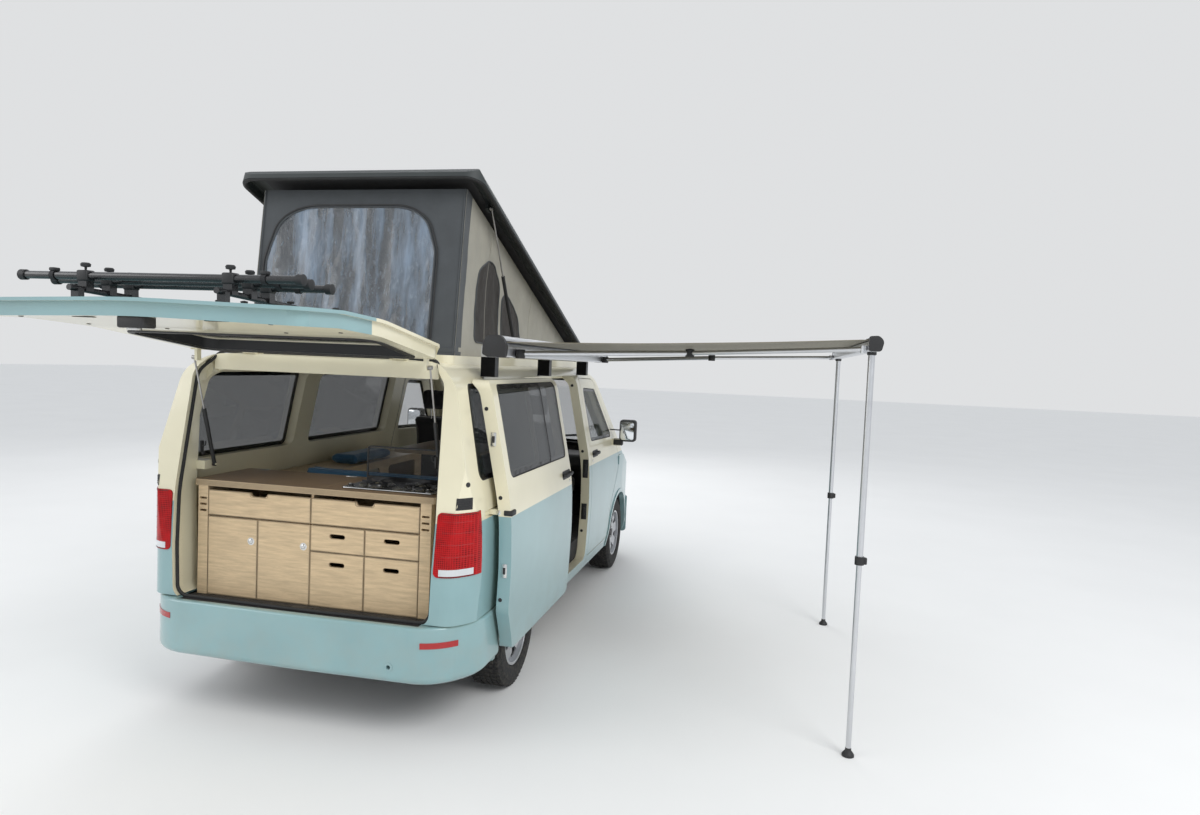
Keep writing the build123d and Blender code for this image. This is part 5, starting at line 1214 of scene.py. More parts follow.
def piping(form, mesh, matrix, size, axis, material, radius=0.004):
    """Piped seams laid on a pad along the two rims square to an axis."""
    tree = BVHTree.FromPolygons([v.co for v in mesh.vertices],
                                [tuple(p.vertices) for p in mesh.polygons])
    u, v = [i for i in range(3) if i != axis]
    half = [s / 2 for s in size]
    rim = rounded(half[u], half[v], 0.03)
    for side in (-1, 1):
        line, ups = [], []
        for point, inner in zip(rim, inset(rim, 0.03)):
            start, aim = Vector((0, 0, 0)), Vector((0, 0, 0))
            out = point - inner
            start[u], start[v] = point.x + out.x, point.y + out.y
            start[axis] = side * (half[axis] + 0.03)
            aim[u], aim[v], aim[axis] = -out.x, -out.y, -side * 0.03
            hit, normal = tree.ray_cast(start, aim.normalized())[:2]
            if hit is not None:
                line.append(matrix @ (hit + normal * radius * 0.3))
                ups.append(matrix.to_3x3() @ normal)
        form.sweep(line, oval(radius, radius, 8), material, ups, closed=True)


class VAN_OT_cushions(bpy.types.Operator):
    """Fill the bench cushions and the front seats"""

    bl_idname = "van.cushions"
    bl_label = "Cushions and Seats"

    def execute(self, context):
        self.bench(context)
        self.seats(context)
        return {"FINISHED"}

    def bench(self, context):
        seams = Form()
        for name, centre, size, axis in BENCH_PADS:
            mesh = swollen(name, size, 0.022, context, 0.011)
            matrix = Matrix.Translation(centre)
            padded_piece(name, mesh, matrix, "van_body", "cushion_cloth")
            piping(seams, mesh, matrix, size, axis, "cushion_cloth")
        seams.piece("bench_cushion_piping", "van_body", "cushion")
        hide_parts("bench_cushions")

    def seats(self, context):
        first = None
        for name, centre, size, lean, axis in SEAT_PADS:
            mesh = swollen(name, size, 0.02, context, 0.01)
            for side, word in SIDES[::-1]:
                seams = Form()
                matrix = Matrix.Translation((side * SEAT_X, *centre))
                matrix = matrix @ Matrix.Rotation(math.radians(lean), 4, "X")
                obj = padded_piece(f"{name}_{word}", mesh, matrix, "van_body", "seat_cloth")
                piping(seams, mesh, matrix, size, axis, "seat_cloth", 0.0035)
                seams.piece(f"{name}_{word}_piping", "van_body", "seat_fabric")
                first = first or obj
        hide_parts("front_seats")
        for side, word in SIDES[::-1]:
            x = side * SEAT_X
            base = Form()
            base.box((x, 0.63, 0.665), (0.4, 0.44, 0.21), "grey_plastic", 0.02)
            base.box((x, 0.64, 0.785), (0.42, 0.5, 0.03), BLACK, 0.01)
            for dx in (-0.06, 0.06):
                base.tube([(x + dx, 0.268, 1.45), (x + dx, 0.246, 1.56)], 0.006, STEEL)
            for dx in (-0.235, 0.235):
                base.box((x + dx, 0.42, 0.845), (0.03, 0.22, 0.11), BLACK, 0.02)
            base.box((x - side * 0.262, 0.42, 1.1), (0.05, 0.3, 0.055), "seat_cloth", 0.02)
            base.lathe([(0.0, 0.0), (0.03, 0.002), (0.032, 0.02), (0.02, 0.026)],
                       (x + side * 0.25, 0.4, 0.86), (side, 0, 0), BLACK, 20)
            base.tube([(x - 0.12, 0.93, 0.815), (x + 0.12, 0.93, 0.815)], 0.008, BLACK)
            base.piece(f"front_seat_base_{word}")


BENCH_PADS = [
    # name, centre, size, axis that its faces are square to
    ("bench_seat_pad", (0.07, -1.325, 0.906), (1.14, 0.39, 0.11), 2),
    ("bench_back_pad", (0.07, -1.587, 1.066), (1.14, 0.114, 0.43), 1),
    ("shelf_pad", (-0.655, -0.6, 1.216), (0.23, 0.6, 0.07), 2),
]
SEAT_PADS = [
    # name, (y, z) of the centre, size, lean in degrees, axis that its faces are square to
    ("seat_pad", (0.655, 0.87), (0.48, 0.56, 0.15), 3, 2),
    ("seat_back", (0.345, 1.2), (0.47, 0.135, 0.6), 8.5, 1),
    ("seat_head", (0.243, 1.622), (0.26, 0.09, 0.186), 6, 1),
]
# Outlines of the panes, as (y, z) from the side or (x, z) from behind, with a corner radius
DOOR_WINDOW = [
    (0.331, 1.339, 0.04), (1.15, 1.315, 0.03), (0.742, 1.764, 0.05), (0.331, 1.782, 0.04)]
SLIDER_WINDOW = [
    (-1.047, 1.345, 0.045), (0.099, 1.345, 0.045), (0.099, 1.85, 0.045), (-1.047, 1.85, 0.045)]
QUARTER_WINDOW = [
    (-2.216, 1.345, 0.06), (-1.221, 1.345, 0.045), (-1.221, 1.85, 0.045), (-2.172, 1.85, 0.06)]
TAILGATE_WINDOW = both_sides([(0.64, 1.325, 0.07), (0.59, 1.836, 0.07)])
TAILGATE_EDGE = both_sides([
    (0.738, 0.636, 0.06), (0.754, 1.18, 0.9), (0.732, 1.85, 0.09), (0.64, 1.968, 0.06)])
WINDSCREEN = both_sides([(0.752, 1.196, 0.09), (0.64, 1.85, 0.09)])
PANES = [
    # name, outline, side it is seen from, node it lies on, place, body
    ("slider_pane", SLIDER_WINDOW, "right", "side_glass", SLIDER, "van_body"),
    ("quarter_pane_right", QUARTER_WINDOW, "right", "side_glass", VAN, "van_body"),
    ("quarter_pane_left", QUARTER_WINDOW, "left", "side_glass", VAN, "van_body"),
    ("middle_pane_left", SLIDER_WINDOW, "left", "side_glass", VAN, "van_body"),
    ("door_pane_right", DOOR_WINDOW, "right", "door_glass_right", VAN, "door_right_body"),
    ("door_pane_left", DOOR_WINDOW, "left", "door_glass_left", VAN, "door_left_body"),
    ("tailgate_pane", TAILGATE_WINDOW, "back", "tailgate_glass", TAILGATE, "tailgate_lid"),
    ("windscreen_pane", WINDSCREEN, "front", "windscreen", VAN, "van_body"),
]


class VAN_OT_glazing(bpy.types.Operator):
    """Print the panes' black borders, set their rubber seals, and fit the wipers"""

    bl_idname = "van.glazing"
    bl_label = "Glazing"

    def execute(self, context):
        trim = context.scene.van_trim
        for name, rows, view, node, matrix, body in PANES:
            form = Form(matrix)
            skin = Skin(node, matrix=matrix)
            form.band(skin, rows, view, trim.frit, "frit")
            form.seal(skin, rows, view, trim.seal * 0.7, "seal_rubber", 0.003)
            form.piece(name + "_border", body, "rubber")
        self.wipers()
        return {"FINISHED"}

    def wipers(self):
        form = Form()
        skin = Skin("windscreen")
        for root, tip in (((-0.58, 1.205), (0.02, 1.275)), ((0.02, 1.205), (0.6, 1.275))):
            blade = [Vector(root).lerp(Vector(tip), k / 12) for k in range(13)]
            line, normals = skin.lay(blade, "front", 0.012)
            form.sweep(line, WIPER_RUBBER, "seal_rubber", normals)
            spine = [p + n * 0.01 for p, n in zip(line, normals)]
            form.sweep(spine, strip(0.006, 0.002, 0.004, 0.003), BLACK, normals)
            middle = spine[6] + normals[6] * 0.006
            foot = Vector((root[0] + 0.05, line[0].y + 0.004, 1.19))
            elbow = foot.lerp(middle, 0.4) + Vector((0, 0.012, 0.006))
            form.tube([foot, elbow, middle], 0.006, BLACK, 8)
            form.lathe([(0.0, -0.008), (0.016, -0.006), (0.017, 0.008), (0.01, 0.014)],
                       foot, normals[0], BLACK, 20)
        form.piece("windscreen_wipers")


def wrapped(skin, centre, angles, heights, lift=0.001, steps=24):
    """Grid of points laid on a corner, from the directions that look at an upright axis. Each row
    stops short of the surface's own edges."""
    rows = []
    for level in range(7):
        foot = Vector((*centre, heights[0] + (heights[1] - heights[0]) * level / 6))

        def ray(angle):
            way = Vector((math.cos(math.radians(angle)), math.sin(math.radians(angle)), 0))
            return foot + way * 0.6, -way

        seen = [a for a in range(angles[0], angles[1] + 1) if skin.tree.ray_cast(*ray(a))[0]]
        first, last = seen[0] + 0.6, seen[-1] - 0.6
        angles_here = [first + (last - first) * k / steps for k in range(steps + 1)]
        rows.append([skin.meet(*ray(angle), lift)[0] for angle in angles_here])
    return rows


class VAN_OT_lamps(bpy.types.Operator):
    """Fit the insides and edges of the lamps, and the bumper's reflectors"""

    bl_idname = "van.lamps"
    bl_label = "Lamps"

    def execute(self, context):
        tail = Skin("tail_lamps")
        form = Form()
        axis = (0.78, -2.29)
        form.sheet(wrapped(tail, axis, (-86, -12), (0.893, 0.926)), "white_lens", 0.0012)
        for z in (0.9295, 0.99, 1.05, 1.11, 1.165):
            form.sheet(wrapped(tail, axis, (-82, -14), (z - 0.0012, z + 0.0012)), "red_lens", 0.0016)
        form.mirrored().piece("tail_lamp_strips", "van_body", "lens_red")
        rings = Form()
        for low, high in ((0.8885, 0.8905), (1.2005, 1.2025)):
            rings.sheet(wrapped(tail, axis, (-84, -10), (low, high), 0.0016), BLACK, 0.002)
        rings.mirrored().piece("tail_lamp_edges")
        bumper = Skin("rear_bumper")
        form = Form()
        reflector = wrapped(bumper, (0.7, -2.29), (-84, -22), (0.528, 0.558), 0.003, 40)
        form.sheet(reflector, "red_lens", 0.004)
        form.mirrored().piece("bumper_reflectors", "van_body", "lens_red")
        self.headlamp_insides()
        return {"FINISHED"}

    def headlamp_insides(self):
        skin = Skin("headlamps")
        form = Form()
        for x, z, radius in ((0.56, 0.752, 0.052), (0.7, 0.752, 0.056)):
            centre = skin.at("front", x, z)[0] - Vector((0, 0.052, 0))
            form.lathe([(0.01, -0.004), (radius * 0.55, 0.006), (radius * 0.86, 0.022), (radius, 0.036),
                        (radius + 0.004, 0.036), (radius + 0.004, -0.004)], centre, Y, STEEL, 36)
            form.lathe([(0.0, 0.03), (radius * 0.3, 0.028), (radius * 0.42, 0.018),
                        (radius * 0.42, 0.008)], centre, Y, "clear_lens", 24)
        form.mirrored().piece("headlamp_bowls", "van_body", "lens_clear")
        trim = Form()
        for k in range(9):
            x = 0.5 + 0.042 * k
            point = skin.at("front", x, 0.704 if k < 7 else 0.712)[0]
            trim.box(point - Vector((0, 0.016, 0)), (0.034, 0.01, 0.014), STEEL, 0.002)
        amber = [[skin.at("front", 0.792 + 0.068 * k / 12, z, -0.006)[0] for k in range(13)]
                 for z in (0.734, 0.752, 0.77, 0.788)]
        trim.sheet(turned_over(amber), "amber_lens", 0.003)
        trim.mirrored().piece("headlamp_trim", "van_body", "lens_clear")


# Outline of a front door's inner edge, as (y, z, corner radius)
DOOR_EDGE = [
    (0.265, 0.395, 0.03), (1.044, 0.395, 0.06), (1.096, 0.7, 0.3), (1.39, 1.02, 0.12),
    (1.39, 1.128, 0.06), (0.742, 1.846, 0.09), (0.265, 1.858, 0.06)]


class VAN_OT_doors(bpy.types.Operator):
    """Fit the door handles, mirrors, catches and the sliding door's runners"""

    bl_idname = "van.doors"
    bl_label = "Door Fittings"

    def execute(self, context):
        for side, word in SIDES:
            form = Form()
            self.handle(form, Skin("door_right"), 0.325)
            self.lock(form, Skin("door_right"), 0.315)
            self.mirror(form)
            if side < 0:
                form.flip()
            form.piece(f"door_{word}_fittings", f"door_{word}_body")
        slider = Form(SLIDER)
        skin = Skin("sliding_door", matrix=SLIDER)
        self.handle(slider, skin, -0.055)
        self.lock(slider, skin, 0.118)
        self.slider_edge(slider)
        slider.piece("sliding_door_fittings")
        self.catches()
        return {"FINISHED"}

    def handle(self, form, skin, start, z=1.232):
        """Pull handle over a dished plate, from y = start forwards."""
        centre = start + 0.1
        rim = rounded(0.105, 0.028, 0.026)
        form.pad(skin, [Vector((centre + u, z + v)) for u, v in rim], "right", 0.003, 0.008, BLACK)
        ends = [skin.at("right", centre + dy, z + 0.004)[0] for dy in (-0.098, 0.0, 0.098)]
        bulge = ends[1] - ends[0].lerp(ends[2], 0.5)
        bar = []
        for k in range(17):
            t = k / 16
            base = ends[0].lerp(ends[2], t) + bulge * (1 - (2 * t - 1) ** 2)
            bar.append(base + Vector((0.006 + 0.026 * math.sin(math.pi * t) ** 0.35, 0, 0)))
        form.sweep(bar, oval(0.011, 0.006, 12), BLACK, X)

    def lock(self, form, skin, y, z=1.182):
        point, normal = skin.at("right", y, z)
        form.lathe([(0.0, 0.002), (0.008, 0.0022), (0.012, 0.0012), (0.0125, -0.003)], point, normal,
                   STEEL, 24)

    def mirror(self, form):
        form.box((1.066, 1.186, 1.376), (0.156, 0.1, 0.204), BLACK, 0.03, segments=5)
        form.box((0.976, 1.181, 1.266), (0.09, 0.066, 0.064), BLACK, 0.012, segments=3)
        rim = rounded(0.062, 0.084, 0.022)
        form.plate(rim, (1.066, 1.1352, 1.376), X, Z, 0.0035, "mirror_glass", 0.0012)
        frame_line = [Vector((1.066 + u, 1.135, 1.376 + v)) for u, v in inset(rim, -0.003)]
        form.tube(frame_line, 0.0028, BLACK, 8, closed=True, up=Y)
        form.box((1.084, 1.2345, 1.33), (0.085, 0.006, 0.012), "amber_lens", 0.002)

    def slider_edge(self, form):
        """Roller arm, catches and buffers in the door's rear edge."""
        rear = -1.125
        skin = Skin("sliding_door", matrix=SLIDER)

        def edge(z, depth):
            return skin.at("right", rear + 0.03, z)[0].x - depth

        for z in (0.86, 1.56):
            form.box((edge(z, 0.036), rear - 0.002, z), (0.03, 0.006, 0.075), STEEL, 0.002)
            form.box((edge(z, 0.036), rear - 0.007, z), (0.014, 0.01, 0.036), BLACK, 0.003)
        form.box((0.925, rear + 0.03, 1.17), (0.05, 0.07, 0.03), BLACK, 0.006)
        form.lathe([(0.0, -0.012), (0.014, -0.012), (0.016, 0.0), (0.014, 0.012), (0.0, 0.012)],
                   (0.872, rear + 0.012, 1.17), Z, STEEL, 24)
        for z in (0.7, 1.25, 1.72):
            form.lathe(PLUG, (edge(z, 0.05), rear, z), -Y, "seal_rubber", 20)

    def catches(self):
        """Strikers on the middle post, which the doors shut on."""
        form = Form()
        for z, high in ((1.13, 0.15), (0.78, 0.13)):
            form.box((0.912, 0.1685, z), (0.044, 0.008, high), BLACK, 0.003)
            form.box((0.912, 0.16, z), (0.016, 0.014, high * 0.5), BLACK, 0.003)
        skin = Skin("door_right")
        for z in (0.62, 1.27, 1.8):
            x = skin.at("right", 0.3, z)[0].x - 0.045
            form.lathe([(0.0, 0.005), (0.01, 0.004), (0.012, 0.0), (0.012, -0.002)], (x, 0.171, z), -Y,
                       "seal_rubber", 20)
        form.piece("middle_post_catches")
        for side, word in SIDES:
            rim = Form()
            points, normals = Skin("door_right").lay(inset(outline(DOOR_EDGE), 0.012), "right", -0.066)
            rim.sweep(points, oval(0.006, 0.005, 8), "seal_rubber", normals, closed=True)
            if side < 0:
                rim.flip()
            rim.piece(f"door_{word}_seal", f"door_{word}_body", "rubber")


class VAN_OT_rear_opening(bpy.types.Operator):
    """Line the rear opening: rubber seal, inner jamb, sill tread, striker, vent and plugs"""

    bl_idname = "van.rear_opening"
    bl_label = "Rear Opening"

    def execute(self, context):
        gate = Skin("tailgate", matrix=TAILGATE)
        edge = outline(TAILGATE_EDGE, 0.04)
        top = 1.915

        def depth(u, v):
            here = gate.at("back", u, min(v, top))[0].y
            if v <= top:
                return here
            below = gate.at("back", u, top - 0.05)[0].y
            return here + (here - below) * (v - top) / 0.05

        depths = [depth(u, v) for u, v in inset(edge, 0.004)]
        ring = inset(edge, -0.001)
        rubber = [Vector((u, y + 0.03 + 0.14 * min(max(v - 1.82, 0.0), 0.1), v))
                  for (u, v), y in zip(ring, depths)]
        form = Form()
        clear = [not (p.z > 1.9 and 0.41 < abs(p.x) < 0.49) for p in rubber]
        starts = [k for k in range(len(rubber)) if clear[k] and not clear[k - 1]]
        for start in starts:
            run = []
            while clear[start % len(rubber)]:
                run.append(rubber[start % len(rubber)])
                start += 1
            form.sweep(run, oval(0.01, 0.009, 12), "seal_rubber", Y)
        form.piece("rear_opening_seal", "van_body", "rubber")
        form = Form()
        cream = [Vector((u, y + 0.056, v)) for (u, v), y in zip(inset(edge, -0.0045), depths)]
        first = next(k for k in range(len(cream)) if cream[k].z > 0.66 and cream[k - 1].z <= 0.66)
        ordered = [p for p in cream[first:] + cream[:first] if p.z > 0.66]
        form.sweep(ordered, strip(0.0008, 0.019), "cream_paint", Y)
        form.piece("rear_opening_lining", "van_body", "paint_upper")
        self.sill()
        self.corner()
        return {"FINISHED"}

    def sill(self):
        rib = Form().box((0, 0, 0), (0.006, 0.09, 0.003), BLACK, 0.001)
        ribs = repeated(rib, 40, step=(0.0155, 0, 0), start=(0.0775, -2.372, 0.6285))
        ribs.mirrored()
        ribs.box((0, -2.385, 0.63), (0.12, 0.05, 0.008), BLACK, 0.003)
        ribs.tube([(-0.022, -2.39, 0.632), (-0.022, -2.412, 0.632), (0.022, -2.412, 0.632),
                   (0.022, -2.39, 0.632)], 0.0025, STEEL, 8, up=Z)
        ribs.piece("rear_sill_tread")

    def corner(self):
        """Vent and plugs on the rear posts, and the struts' ball ends."""
        form = Form()
        body = Skin("side_right")
        vent = [[body.at("back", 0.862 + 0.06 * k / 6, z, 0.0015)[0] for k in range(7)]
                for z in (1.224, 1.244, 1.264, 1.284)]
        form.sheet(vent, BLACK, 0.003)
        for z in (1.236, 1.248, 1.26, 1.272):
            line = [body.at("back", 0.868 + 0.048 * k / 6, z, 0.003)[0] for k in range(7)]
            form.tube(line, 0.002, BLACK, 6)
        point, normal = body.at("back", 0.905, 1.35)
        form.lathe([(0.0, 0.003), (0.011, 0.0025), (0.013, 0.0), (0.013, -0.002)],
                   point, normal, BLACK, 24)
        form.mirrored().piece("rear_post_vents")
        post = Form()
        for side in (-1, 1):
            x = side * 0.7
            post.lathe(PLUG, (x, -2.268, 1.4), (-side, 0, 0), BLACK, 24)
            post.box((x - side * 0.004, -2.285, 1.44), (0.01, 0.026, 0.06), BLACK, 0.004)
            post.tube([(x - side * 0.008, -2.285, 1.44), (x - side * 0.026, -2.285, 1.446),
                       (x - side * 0.028, -2.285, 1.47)], 0.004, BLACK, 8)
        post.piece("rear_post_hooks")


class VAN_OT_tailgate(bpy.types.Operator):
    """Fit the tailgate's latch, inner pane trim, plugs, handle and high lamp"""

    bl_idname = "van.tailgate"
    bl_label = "Tailgate"

    def execute(self, context):
        skin = Skin("tailgate", matrix=TAILGATE)
        form = Form(TAILGATE)
        ring = outline(TAILGATE_WINDOW, 0.04)
        points, normals = skin.lay(inset(ring, -0.012), "inside", 0.002)
        form.sweep(points, strip(0.016, 0.002, 0.013, 0.004), BLACK, normals, closed=True)
        point, normal = skin.at("inside", 0.0, 0.7)
        form.box(point + normal * 0.02, (0.12, 0.046, 0.07), BLACK, 0.008, segments=3)
        form.box(point + normal * 0.044 + Vector((0, 0, -0.01)), (0.046, 0.014, 0.03), STEEL, 0.003)
        # Two open holes in the inner panel, drawn as near-black plates on the skin: painted shade inside
        # them
        for x in (-0.3, 0.3):
            rim = rounded(0.048, 0.024, 0.024, 0.01)
            centre, out = skin.at("inside", x, 0.76)
            form.plate(rim, centre + out * 0.0008, X, Z, 0.003, "painted_recess_shade", 0.001)
        for x, z in ((-0.56, 0.72), (0.56, 0.72), (-0.62, 1.1), (0.62, 1.1), (-0.3, 1.2), (0.3, 1.2)):
            point, normal = skin.at("inside", x, z)
            form.lathe([(0.0, 0.003), (0.008, 0.0025), (0.0095, 0.0), (0.0095, -0.002)], point, normal,
                       BLACK, 20)
        lip = skin.lay(inset(ring, -0.004), "inside")[0]
        reveal = [(u, p.y - 0.028, v) for (u, v), p in zip(inset(ring, 0.0015), lip)]
        form.sweep(reveal, strip(0.0008, 0.026), BLACK, Y, closed=True)
        self.outside(form, skin)
        form.piece("tailgate_fittings", "tailgate_lid")
        return {"FINISHED"}

    def outside(self, form, skin):
        """Pull handle under the trim strip, and the lamp above the pane."""
        line, normals = skin.lay([(x / 10 * 0.3, 1.215) for x in range(-10, 11)], "back", 0.002)
        form.sweep(line, strip(0.02, 0.003, 0.016, 0.008), BLACK, normals)
        line, normals = skin.lay([(x / 10 * 0.2, 1.884) for x in range(-10, 11)], "back", 0.002)
        form.sweep(line, strip(0.013, 0.003, 0.01, 0.006), "red_lens", normals)


class VAN_OT_cycle_rack(bpy.types.Operator):
    """Fit the cycle rack's clamps, wheel straps and end plugs"""

    bl_idname = "van.cycle_rack"
    bl_label = "Cycle Rack"

    def execute(self, context):
        form = Form(TAILGATE)
        rack = Skin("cycle_rack", matrix=TAILGATE)
        for z, half, radius in ((0.8, 0.64, 0.016), (0.915, 0.6, 0.016), (1.03, 0.62, 0.016),
                                (RACK_TOP_Z, 0.47, 0.013)):
            y = rack.at("back", 0.1, z)[0].y + radius
            for side in (-1, 1):
                end = Vector((side * (half + 0.003), y, z))
                form.lathe([(radius + 0.005, -0.026), (radius + 0.0055, 0.0), (radius * 0.8, 0.005),
                            (0.0, 0.006)], end, (side, 0, 0), BLACK, 24)
            for x in (-0.33, 0.33):
                size = (0.05, radius * 2 + 0.012, radius * 2 + 0.014)
                form.box((x, y, z), size, BLACK, 0.007, segments=3)
                knob = Vector((x, y - radius - 0.006, z))
                form.lathe([(0.004, 0.0), (0.005, 0.012), (0.017, 0.014), (0.019, 0.024), (0.014, 0.03),
                            (0.0, 0.031)], knob, -Y, BLACK, 10)
        for z, places in ((0.8, (-0.48, 0.48)), (0.915, (-0.46, 0.46)), (1.03, (-0.47, 0.47))):
            y = rack.at("back", 0.1, z)[0].y + 0.016
            for x in places:
                loop = [Vector((x, y + u, z + v)) for u, v in oval(0.019, 0.019, 20)]
                form.sweep(loop, strip(0.01, 0.001, 0.01, 0.0015), "webbing",
                           [(p - Vector((x, y, z))).normalized() for p in loop], closed=True)
                form.box((x, y - 0.024, z), (0.026, 0.014, 0.032), BLACK, 0.004)
        form.piece("cycle_rack_clamps", "tailgate_lid")
        self.arms()
        return {"FINISHED"}

    def arms(self):
        """Folded frame holders on the top rail."""
        form = Form(TAILGATE)
        rack = Skin("cycle_rack", matrix=TAILGATE)
        y = rack.at("back", 0.05, RACK_TOP_Z)[0].y + 0.013
        for x, lean, reach in ((-0.2, 0.1, 0.26), (0.06, -0.06, 0.22), (0.24, 0.05, 0.3)):
            tip = Vector((x + lean, y - 0.02, RACK_TOP_Z - reach))
            form.tube([(x, y - 0.014, RACK_TOP_Z), (x + lean * 0.3, y - 0.028, 1.52), tip],
                      0.008, BLACK, 12)
            form.box((x, y, RACK_TOP_Z), (0.034, 0.04, 0.04), BLACK, 0.008, segments=3)
            form.box(tip, (0.036, 0.03, 0.056), BLACK, 0.01, segments=3)
            form.lathe([(0.004, 0.0), (0.004, 0.016), (0.015, 0.018), (0.017, 0.026), (0.0, 0.03)],
                       tip + Vector((0, -0.012, 0)), -Y, BLACK, 10)
        form.piece("cycle_rack_arms", "tailgate_lid")


class VAN_OT_roof_fittings(bpy.types.Operator):
    """Seal the lifting roof's rim, line it and fit its catches"""

    bl_idname = "van.roof_fittings"
    bl_label = "Roof Fittings"

    def execute(self, context):
        rim = outline(both_sides([(0.76, -2.132, 0.11), (0.76, 0.5, 0.9), (0.7, 0.812, 0.16)]), 0.05)
        shell = Form(ROOF)
        line = [(u, v, 1.9995) for u, v in inset(rim, 0.013)]
        shell.sweep(line, ROOF_RUBBER, "seal_rubber", Z, closed=True)
        shell.piece("roof_shell_seal", "roof_lid", "rubber")
        under = Skin("poptop_shell", matrix=ROOF)
        across = [-0.655 + 1.31 * i / 24 for i in range(25)]
        along = [-2.09 + 2.8 * j / 30 for j in range(31)]
        rows = [[Vector((x, y, max(2.01, under.at("under", x, y)[0].z - 0.002))) for x in across]
                for y in along]
        liner = Form(ROOF).sheet(turned_over(rows), "shell_liner", 0.0015)
        liner.piece("roof_shell_liner", "roof_lid", "shell_grey")
        base = Form()
        for x in (-0.3, 0.3):
            base.box((x, -2.085, 1.985), (0.05, 0.03, 0.022), BLACK, 0.005)
            base.tube([(x - 0.018, -2.098, 1.988), (x - 0.018, -2.106, 1.982),
                       (x + 0.018, -2.106, 1.982), (x + 0.018, -2.098, 1.988)], 0.003, STEEL, 8)
        base.piece("roof_catches")
        return {"FINISHED"}


HAND_HOLE = rounded(0.046, 0.013, 0.013, 0.01)
# Fixed fronts of the kitchen: x low, x high, z low, z high
FRONTS = [
    (-0.626, -0.32, 0.628, 1.061),
    (-0.316, -0.002, 0.628, 1.061),
    (0.002, 0.316, 0.924, 1.061),
    (0.32, 0.626, 0.924, 1.061),
    (0.002, 0.316, 0.628, 0.92),
    (0.32, 0.626, 0.628, 0.92),
]


class VAN_OT_kitchen(bpy.types.Operator):
    """Fit the kitchen's knobs, ply edges, slot liners, drawer runners, hob details and worktop trim"""

    bl_idname = "van.kitchen"
    bl_label = "Kitchen"

    def execute(self, context):
        form = Form()
        for x in (-0.358, -0.04):
            form.lathe(KNOB, (x, KITCHEN_Y, 0.941), Y, STEEL, 32)
        form.piece("kitchen_knobs", "van_body", "alloy")
        edges = Form()
        for x0, x1, z0, z1 in FRONTS:
            edges.edging([(x0, z0, 0.003), (x1, z0, 0.003), (x1, z1, 0.003), (x0, z1, 0.003)],
                         KITCHEN_Y)
        edges.piece("kitchen_front_edges", "van_body", "ply")
        liners = Form()
        for x, z in ((0.159, 1.0105), (0.472, 1.0105), (0.159, 0.858), (0.472, 0.858)):
            line = [(x + u, KITCHEN_Y + 0.0062, z + v) for u, v in inset(HAND_HOLE, 0.0006)]
            liners.sweep(line, strip(0.0006, 0.006), "ply_edge", Y, closed=True)
        liners.piece("kitchen_slot_liners", "van_body", "ply")
        for side, word in SIDES[::-1]:
            drawer = Form()
            x0, x1 = 0.002, 0.626
            mid = side * (x0 + x1) / 2
            for dx in (-0.285, 0.285):
                drawer.box((mid + dx, KITCHEN_Y + 0.215, 1.088), (0.01, 0.38, 0.024), STEEL, 0.001)
            low, high = sorted((side * x0, side * x1))
            z0, z1 = 1.069, 1.206
            drawer.edging([(low, z0, 0.003), (high, z0, 0.003), (high, z1, 0.003),
                           (mid + 0.052, z1, 0.001), (mid + 0.052, z1 - 0.02, 0.019),
                           (mid - 0.052, z1 - 0.02, 0.019), (mid - 0.052, z1, 0.001),
                           (low, z1, 0.003)], KITCHEN_Y)
            drawer.piece(f"kitchen_drawer_{word}_fittings", f"drawer_{word}", "alloy")
        self.hob()
        self.worktop()
        return {"FINISHED"}

    def hob(self):
        form = Form()
        x, y, top = 0.4, -2.102, WORKTOP_Z
        for dx in (-0.13, 0.13):
            form.lathe([(0.034, 0.012), (0.034, 0.018), (0.032, 0.021), (0.026, 0.024), (0.0, 0.024)],
                       (x + dx, y, top), Z, STEEL, 32)
            form.lathe([(0.09, 0.0066), (0.094, 0.0086), (0.098, 0.0066), (0.094, 0.0052)],
                       (x + dx, y, top), Z, STEEL, 40)
        for dx in (-0.225, 0.225):
            form.box((x + dx, y - 0.118, top + 0.0245), (0.004, 0.016, 0.003), "white_plate", 0.001)
            form.lathe([(0.0155, 0.006), (0.0175, 0.0075), (0.0175, 0.0095), (0.015, 0.01)],
                       (x + dx, y - 0.11, top), Z, STEEL, 32)
        edge = rounded(0.262, 0.142, 0.02, 0.03)
        line = [(x + u, y + v, top + 0.0052) for u, v in edge]
        form.sweep(line, strip(0.004, 0.001, 0.003, 0.002), STEEL, Z, closed=True)
        glass = outline([(-0.257, -0.098, 0.012), (0.257, -0.098, 0.012), (0.257, 0.1, 0.02),
                         (-0.257, 0.1, 0.02)])
        lid = [(x + u, y + 0.127, top + 0.102 + v) for u, v in glass]
        form.sweep(lid, strip(0.004, 0.0045), BLACK, Y, closed=True)
        form.piece("hob_fittings", "van_body", "steel")

    def worktop(self):
        """Joint strips of the worktop's lift-up panel, and its ply front edge."""
        form = Form()
        top, front = WORKTOP_Z, -2.318
        form.box((0.045, -2.082, top + 0.0003), (0.003, 0.44, 0.0012), "ply_edge", 0.0003)
        for x in (-0.6, -0.02):
            form.box((x, -1.862, top + 0.0012), (0.06, 0.026, 0.003), STEEL, 0.001)
        for z in (1.2345, 1.2405, 1.2465, 1.2525):
            form.box((0, front - 0.0003, z), (1.376, 0.0016, 0.0022), "ply_edge", 0.0006)
        form.piece("worktop_trim", "van_body", "brown_top")


